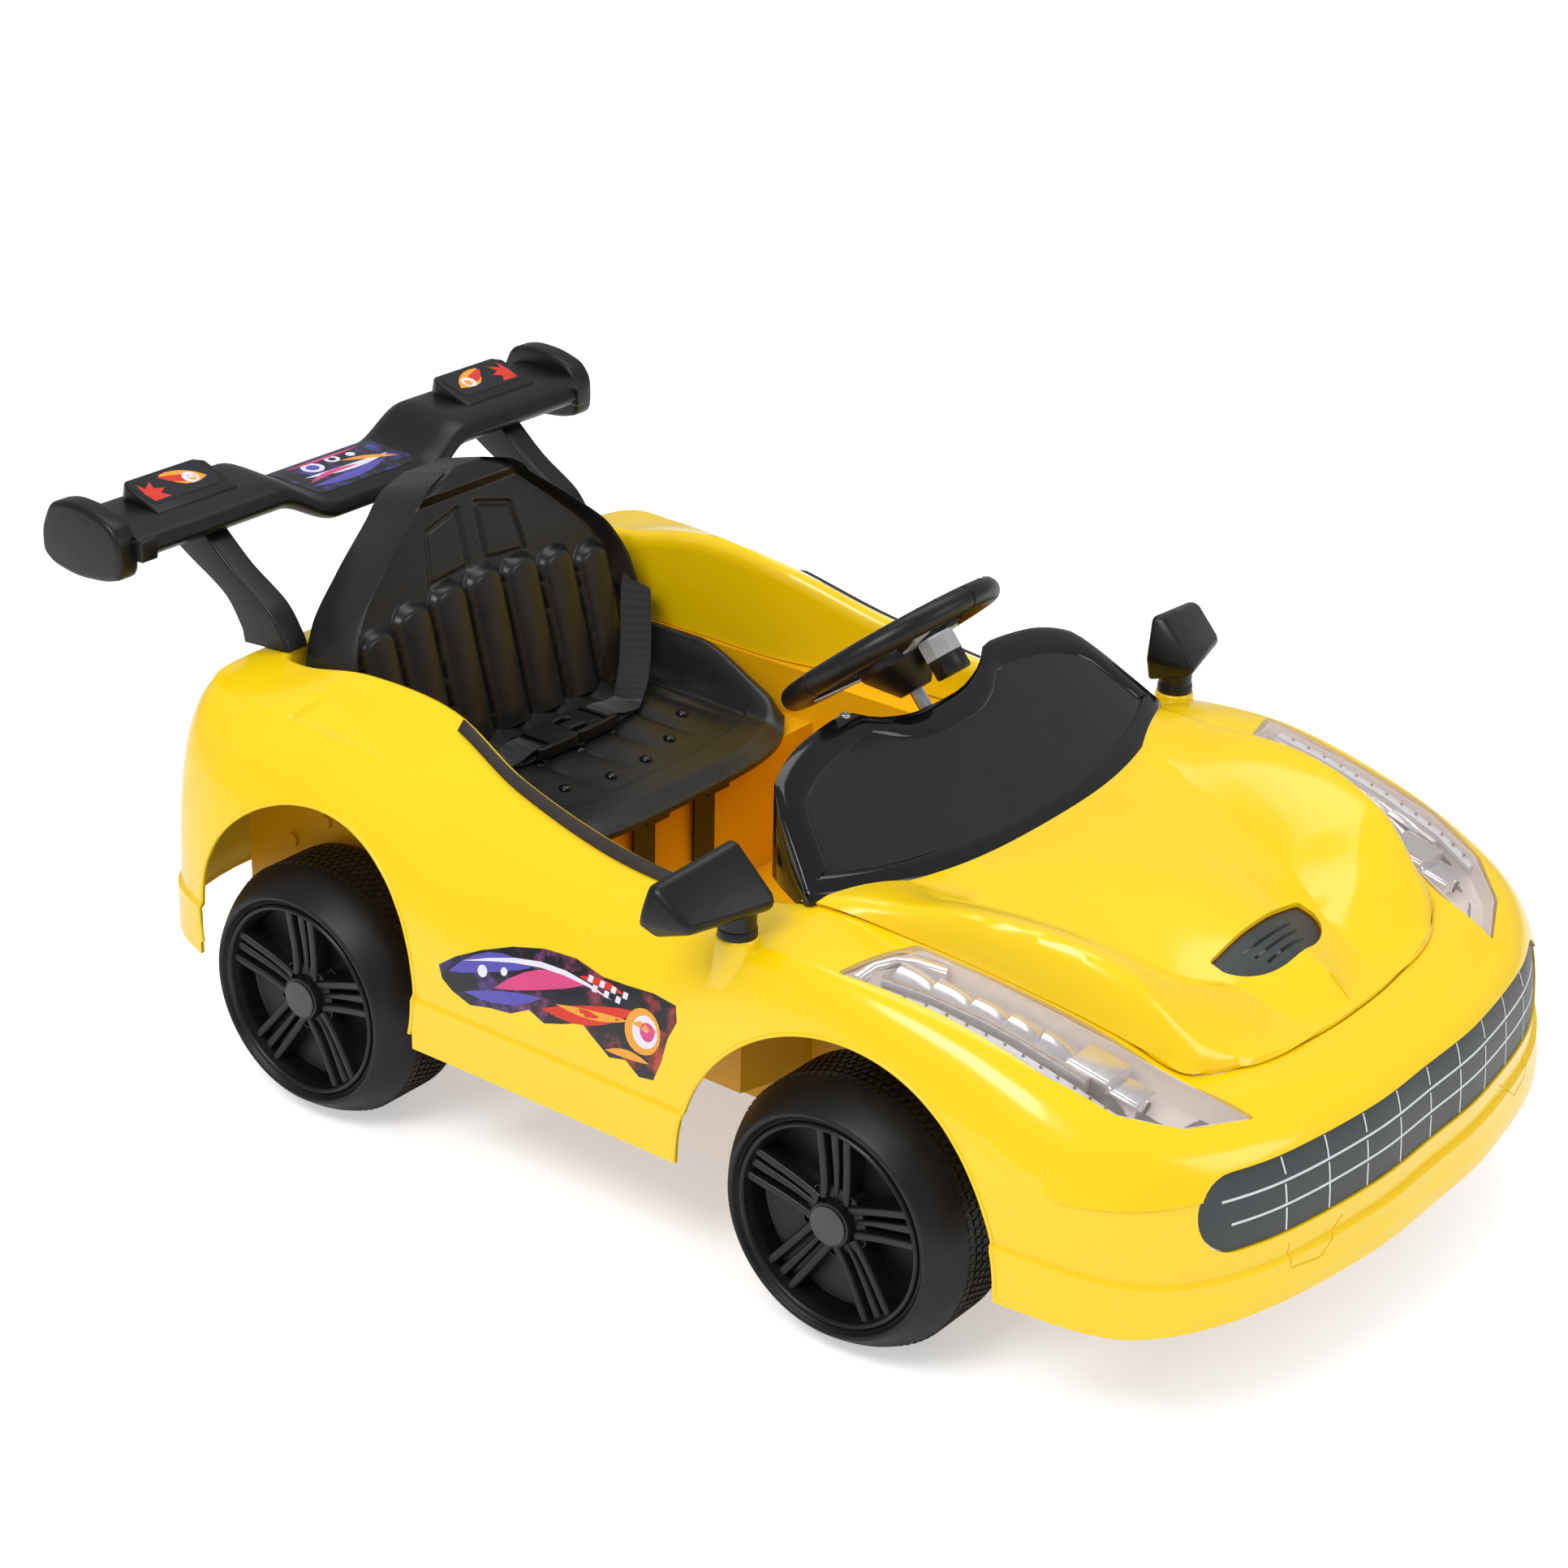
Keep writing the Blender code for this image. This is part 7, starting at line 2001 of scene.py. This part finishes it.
# %% Door stickers
DOOR_X, DOOR_Z = 0.135, 0.145
DOOR_BASE = ((0, 24), (14, 34), (34, 44), (58, 53), (84, 59), (112, 61), (138, 58), (160, 60),
             (184, 63), (204, 62), (207, 52), (201, 38), (198, 22), (192, 6), (180, 4),
             (168, 12), (154, 9), (142, 16), (128, 24), (112, 18), (96, 13), (82, 18),
             (66, 10), (48, 8), (30, 4), (14, 9), (4, 15))
DOOR_MARKS = [
    (FOIL_VIOLET, streak((9, 22), (78, 45), 13, 5)),
    (FOIL_VIOLET, streak((24, 12), (92, 29), 9, -2)),
    (FOIL_PINK, streak((50, 23), (126, 49), 13, 4)),
    (FOIL_RED, streak((92, 22), (172, 47), 13, -4)),
    (FOIL_RED, streak((118, 52), (160, 54), 5, 1)),
    (FOIL_AMBER, streak((104, 29), (168, 39), 6, -2)),
    (FOIL_PALE, streak((20, 33), (150, 47), 3.6, 9)), (FOIL_PALE, disc(38, 31, 4.2)),
    (FOIL_PALE, disc(56, 36, 2.8)), (FOIL_AMBER, disc(180, 36, 15.5)),
    (FOIL_PALE, disc(182, 36.5, 11.0)), (FOIL_PINK, disc(184, 37, 6.4)),
    (FOIL_AMBER, streak((150, 13), (188, 16), 6, 2)),
] + [(FOIL_PALE, square(126 + 5.4 * k, 51.5 - 4.6 * (k % 2), 4.2)) for k in range(7)]
for side, sign in SIDES:
    def on_door(a, b, sign=sign):
        return skin_hit(DOOR_X + a / 1000, sign * 0.3, DOOR_Z + b / 1000, "y")

    foil = sticker(f"door_sticker_{side}", DOOR_BASE, FOIL_CLOUD, DOOR_MARKS, on_door)
    dress(foil, "car", "sticker_grey")

# %% Wing stickers
WING_TREE = surface_of(wing)
PAD_BASE = ((2, 2), (64, 2), (68, 8), (68, 28), (64, 33), (4, 33), (0, 28), (0, 6))
PAD_MARKS = [(FOIL_AMBER, streak((28, 6), (62, 22), 17, 2)),
             (FOIL_RED, streak((26, 8), (56, 20), 9, 2)),
             (FOIL_PALE, disc(49, 18.5, 6.5)), (FOIL_AMBER, disc(50, 19, 3.6)),
             (FOIL_RED, ((4, 30), (20, 30), (15, 24), (22, 20), (14, 17), (17, 9), (8, 15),
                         (5, 8), (3, 20)))]
for side, sign in SIDES:
    def on_pad(a, b, sign=sign):
        return drop_on(WING_TREE, -0.2565 + b / 1000, sign * (0.200 - a / 1000))

    foil = sticker(f"pad_sticker_{side}", PAD_BASE, FOIL_INK, PAD_MARKS, on_pad)
    dress(foil, "car", "sticker_grey")

DIP_BASE = ((0, 4), (4, 0), (104, 0), (108, 4), (108, 56), (104, 60), (4, 60), (0, 56))
DIP_MARKS = [(FOIL_VIOLET, streak((6, 46), (92, 40), 11, 5)),
             (FOIL_PALE, streak((14, 30), (100, 34), 9, 4)),
             (FOIL_PINK, streak((10, 40), (66, 36), 6, -4)),
             (FOIL_AMBER, streak((60, 22), (102, 44), 7, -3)),
             (FOIL_PALE, disc(34, 18, 9.5)), (FOIL_VIOLET, disc(34, 18, 5.5)),
             (FOIL_PALE, disc(58, 15, 6.5)), (FOIL_INK, disc(58, 15, 3.2)),
             (FOIL_PALE, disc(76, 17, 4.0)), (FOIL_PINK, streak((14, 8), (94, 8), 4, 1))]


def on_dip(a, b):
    return drop_on(WING_TREE, -0.262 + b / 1000, (a - 54) / 1000)


foil = sticker("dip_sticker", DIP_BASE, FOIL_CLOUD, DIP_MARKS, on_dip)
dress(foil, "car", "sticker_grey")

# %% [markdown]
# ## Lap belt
# Two straps of black webbing come up between the seat and the walls, drop on to the pan and meet
# in a side-release buckle. Each is drawn as woven: a thin closed band that keeps its width along
# a smooth path, goes round the buckle's bar and comes back as a loose tail. Its own map carries
# the weave along the strap.

# %% Straps
SEAT_TREE = surface_of(pan)


def seat_top(x, y):
    """Height of the pan under the strap, looked for from just above it."""
    spot = drop_on(SEAT_TREE, x, y, 0.24)[0]
    return spot.z if spot else 0.19


BAND_SECTION = ((-1, -0.3), (-0.92, -1), (0.92, -1), (1, -0.3), (1, 0.3), (0.92, 1), (-0.92, 1),
                (-1, 0.3))


def strap(name, knots, width, thick):
    """Closed band along (x, y, z, tilt in degrees) knots, with its weave map. Also its length."""
    spans = [0.0]
    for a, b in zip(knots[:-1], knots[1:]):
        spans.append(spans[-1] + math.dist(a[:3], b[:3]))
    marks = np.linspace(0, spans[-1], 90)
    lines = [[(span, knot[i]) for span, knot in zip(spans, knots)] for i in range(4)]
    path = [Vector([curve_through(line, m) for line in lines[:3]]) for m in marks]
    tilts = [math.radians(curve_through(lines[3], m)) for m in marks]
    rings, run, lengths = [], 0.0, []
    for k, spot in enumerate(path):
        ahead = (path[min(k + 1, len(path) - 1)] - path[max(k - 1, 0)]).normalized()
        side = (Vector((1, 0, 0)) - ahead * ahead.x).normalized()
        side = Matrix.Rotation(tilts[k], 3, ahead) @ side
        up = side.cross(ahead)
        run += (spot - path[k - 1]).length if k else 0.0
        lengths.append(run)
        rings.append([spot + side * across * width / 2 + up * lift * thick / 2
                      for across, lift in BAND_SECTION])
    band = loft(name, rings, WEBBING, 40)
    layer = band.data.uv_layers.new(name="strap")
    spots = [Vector((p.x + SHIFT, p.y, p.z)) for p in path]
    tree = KDTree(len(spots))
    for k, spot in enumerate(spots):
        tree.insert(spot, k)
    tree.balance()
    for loop in band.data.loops:
        place = band.data.vertices[loop.vertex_index].co
        k = tree.find(place)[1]
        layer.data[loop.index].uv = ((place - spots[k]).length, lengths[k])
    return band, run


# %% Lay the straps
# From beside the seat down to the pan, and round the buckle's bar: x, y, z and tilt in degrees.
COMING_DOWN = ((-0.0880, 0.1670, 0.2560, -62), (-0.0780, 0.1640, 0.2655, -56),
               (-0.0660, 0.1560, 0.2660, -50), (-0.0560, 0.1450, 0.2560, -42),
               (-0.0430, 0.1300, 0.2360, -34), (-0.0290, 0.1120, 0.2180, -24),
               (-0.0180, 0.0950, 0.2085, -12))
ROUND_THE_BAR = ((-0.0040, 0.0430, 0.2022, 0), (-0.0040, 0.0375, 0.2042, 0),
                 (-0.0040, 0.0352, 0.2066, 0), (-0.0040, 0.0385, 0.2092, 0),
                 (-0.0042, 0.0470, 0.2088, 2), (-0.0050, 0.0600, 0.2056, 5),
                 (-0.0062, 0.0760, 0.2040, 8))
for side, sign in SIDES:
    knots = list(COMING_DOWN)
    for y in (0.078, 0.064, 0.052):
        x = -0.0040 - 0.006 * (y - 0.045) / 0.033
        high = max(seat_top(x + d, y) for d in (-0.011, -0.005, 0.0, 0.005, 0.011))
        knots.append((x, y, max(high + 0.0010, 0.2000), 0))
    knots += ROUND_THE_BAR
    if sign < 0:
        knots = [(x, -y, z, -tilt) for x, y, z, tilt in knots]
    band, length = strap(f"lap_strap_{side}", knots, 0.0245, 0.0013)
    print(f"strap length {length:.4f} m")
    dress(band, "car", "webbing", f"belt_webbing_{side}")

# %% [markdown]
# ### Buckle
# One half of the buckle is a plain case, the other has a frame with two springy prongs that reach
# into it. Both are flat outlines with rounded edges, and each has windows for its strap.

# %% Side-release buckle
case = [(-0.0190, -0.0440), (0.0110, -0.0440), (0.0132, -0.0400), (0.0136, -0.0040),
        (0.0118, -0.0005), (-0.0198, -0.0005), (-0.0216, -0.0040), (-0.0212, -0.0400)]
prongs = [(-0.0192, 0.0440), (0.0112, 0.0440), (0.0132, 0.0400), (0.0136, 0.0190),
          (0.0134, 0.0040), (0.0112, 0.0002), (0.0078, 0.0002), (0.0084, 0.0135),
          (0.0040, 0.0165), (0.0018, 0.0165), (0.0018, 0.0002), (-0.0098, 0.0002),
          (-0.0098, 0.0165), (-0.0120, 0.0165), (-0.0164, 0.0135), (-0.0158, 0.0002),
          (-0.0192, 0.0002), (-0.0214, 0.0040), (-0.0216, 0.0190), (-0.0212, 0.0400)]
halves = []
for outline, sign in ((case, -1), (prongs, 1)):
    half = round_edges(prism("half", outline, "z", 0.2000, 0.2096, SATIN_BLACK), 0.0011, 3, 40)
    for near, far in ((0.0385, 0.0415), (0.0300, 0.0350)):
        low, high = sorted((sign * near, sign * far))
        window = prism("window", [(-0.0175, low), (0.0095, low), (0.0095, high),
                                  (-0.0175, high)], "z", 0.19, 0.22)
        carve(half, window, angle=40)
    halves.append(half)
dress(joined("buckle_case", halves), "car", "satin_black", "belt_buckle")

# %% [markdown]
# ## Small things that repeat
# Four tabs hold the windscreen down on the bonnet, and one small screw pins the hood at its rear
# edge. A tab is a flat outline laid on the bonnet. The screw is a turned part, set on its point by
# the same node tree as the seat buttons.

# %% Windscreen tabs
HOOD_TREE = surface_of(hood)
tabs = []
for y in (-0.155, -0.050, 0.050, 0.155):
    front = max(x for x in np.arange(0.30, 0.48, 0.001) if drop_on(HOOD_TREE, x, y)[0])
    here = [(front - 0.004, y - 0.0085), (front + 0.0092, y - 0.0075),
            (front + 0.0100, y - 0.0062), (front + 0.0100, y + 0.0062),
            (front + 0.0092, y + 0.0075), (front - 0.004, y + 0.0085)]
    tabs.append(laid("tab", here, on_bonnet, GLOSS_BLACK, lift=0.0026, thick=0.0030, step=0.004))
dress(joined("windscreen_tabs", tabs), "car", "gloss_black")

# %% Screw
screw = small_part("screw", [(0.0036, -0.0010), (0.0036, 0.0004), (0.0030, 0.0013),
                             (0.0016, 0.0017), (0.0014, 0.0009), (0.0, 0.0009)], 20, ZINC)
spots = [drop_on(HOOD_TREE, x, -0.084)[0] for x in np.arange(0.310, 0.345, 0.001)]
top = max((p for p in spots if p), key=lambda p: p.z)
dress(setter("hood_screws", ZINC, screw, [(top.x + SHIFT, top.y, top.z)]), "car", "chrome")

# %% [markdown]
# ## Finishes on the solids that stay
# Floor tub, steel rods, knuckles, brackets, axle, gearbox, battery, pedal and switch are already
# right in shape, so their solids stay and only get a finish.

# %% Finishes by solid
# The floor tub's deeper orange is painted shade.
STAY = {
    "floor_tub": TUB_PAINTED_SHADE_ORANGE, "seat_bracket_left": BLACK_STEEL, "seat_bracket_right": BLACK_STEEL,
    "steering_shaft": ZINC, "column_bush": GREY_PLASTIC, "steering_knuckle_left": ZINC,
    "steering_knuckle_right": ZINC, "tie_rod": ZINC, "rear_axle": ZINC,
    "kingpin_bracket_left": GREY_PLASTIC, "kingpin_bracket_right": GREY_PLASTIC,
    "motor_gearbox": GREY_PLASTIC, "rear_wheel_spacer": GREY_PLASTIC, "battery": GREY_PLASTIC,
    "pedal_base": PEDAL_BLACK, "accelerator_pedal": PEDAL_BLACK, "switch_collar": SATIN_BLACK,
    "direction_switch": SWITCH_RED,
}
for name, finish in STAY.items():
    NODES[name].data.materials.clear()
    NODES[name].data.materials.append(finish)
print("solids with a finish:", len(STAY))

# %% [markdown]
# ## Floor, light and sky
# The floor is a wide white sheet that glows a little to the camera only. The world is plain white
# where the camera sees it, straight or through clear pieces. As light it is dimmer, and glossy
# reflections see it darker still, so that black plastic stays black. The lamps are large and soft,
# like the light boxes of a product studio: a key from the right side makes the long highlights, a
# second fills from in front, and a third from above and the left draws the rims.

# %% Floor
# Matt white paper: it takes a soft shadow and shows no reflection.
floor_material, tree = blank("studio_paper_white")
place = add(tree, "ShaderNodeTexCoord").outputs["Object"]
cloud = add(tree, "ShaderNodeTexNoise", {"Vector": place, "Scale": 3.0, "Detail": 2.0})
tint = add(tree, "ShaderNodeMix", {0: cloud.outputs["Fac"], 6: linear("FCFCFC"),
                                   7: linear("FFFFFF")}, data_type="RGBA")
paper = add(tree, "ShaderNodeBsdfPrincipled", {"Base Color": tint.outputs[2], "Roughness": 0.9,
                                               "Specular IOR Level": 0.1})
path = add(tree, "ShaderNodeLightPath")
seen = add(tree, "ShaderNodeMath", {0: path.outputs["Is Camera Ray"], 1: 0.45},
           operation="MULTIPLY")
glow = add(tree, "ShaderNodeEmission", {"Color": (1, 1, 1, 1), "Strength": seen.outputs[0]})
both = add(tree, "ShaderNodeAddShader", {0: paper.outputs[0], 1: glow.outputs[0]})
add(tree, "ShaderNodeOutputMaterial", {0: both.outputs[0]})
floor = solid("studio_floor", [(-6, -6, -0.0005), (6, -6, -0.0005), (6, 6, -0.0005),
                               (-6, 6, -0.0005)], [(0, 1, 2, 3)], floor_material, closed=False)
floor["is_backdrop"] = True

# %% World
world = bpy.data.worlds.new("studio_sky")
bpy.context.scene.world = world
world.use_nodes = True
sky = world.node_tree
sky.nodes.clear()
sky_path = add(sky, "ShaderNodeLightPath")
straight = add(sky, "ShaderNodeMath", {0: sky_path.outputs["Is Camera Ray"],
                                       1: sky_path.outputs["Is Transmission Ray"]},
               operation="MAXIMUM")
white = add(sky, "ShaderNodeBackground", {"Color": (1, 1, 1, 1), "Strength": 1.0})
soft = add(sky, "ShaderNodeBackground", {"Color": linear("F4F6FA"), "Strength": 0.80})
calm = add(sky, "ShaderNodeBackground", {"Color": linear("F4F6FA"), "Strength": 0.42})
lit = add(sky, "ShaderNodeMixShader", {0: sky_path.outputs["Is Glossy Ray"],
                                       1: soft.outputs[0], 2: calm.outputs[0]})
chosen = add(sky, "ShaderNodeMixShader", {0: straight.outputs[0], 1: lit.outputs[0],
                                          2: white.outputs[0]})
add(sky, "ShaderNodeOutputWorld", {0: chosen.outputs[0]})


# %% Light boxes
def lamp_box(name, place, aim, width, height, power):
    """Rectangular lamp that looks at a point. Power is in watts."""
    data = bpy.data.lights.new(name, "AREA")
    data.shape = "RECTANGLE"
    data.size, data.size_y = width, height
    data.energy = power
    look = (Vector(aim) - Vector(place)).to_track_quat("-Z", "Y")
    placed(name, data).matrix_world = Matrix.Translation(place) @ look.to_matrix().to_4x4()


lamp_box("key", (0.2, -1.9, 2.3), (0, 0, 0.15), 1.4, 0.8, 31)
lamp_box("fill", (2.4, 0.6, 1.5), (0, 0, 0.15), 1.2, 1.0, 10)
lamp_box("top", (-0.3, 0.6, 2.6), (0, 0, 0.1), 2.0, 1.2, 17)
bpy.context.scene.view_settings.view_transform = "Standard"

# %% [markdown]
# ## Sizes and finish
# The dressed car has to stay in the box of the solids, so the box round the dressed car is worked
# out.

# %% Box round the dressed car
low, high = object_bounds()
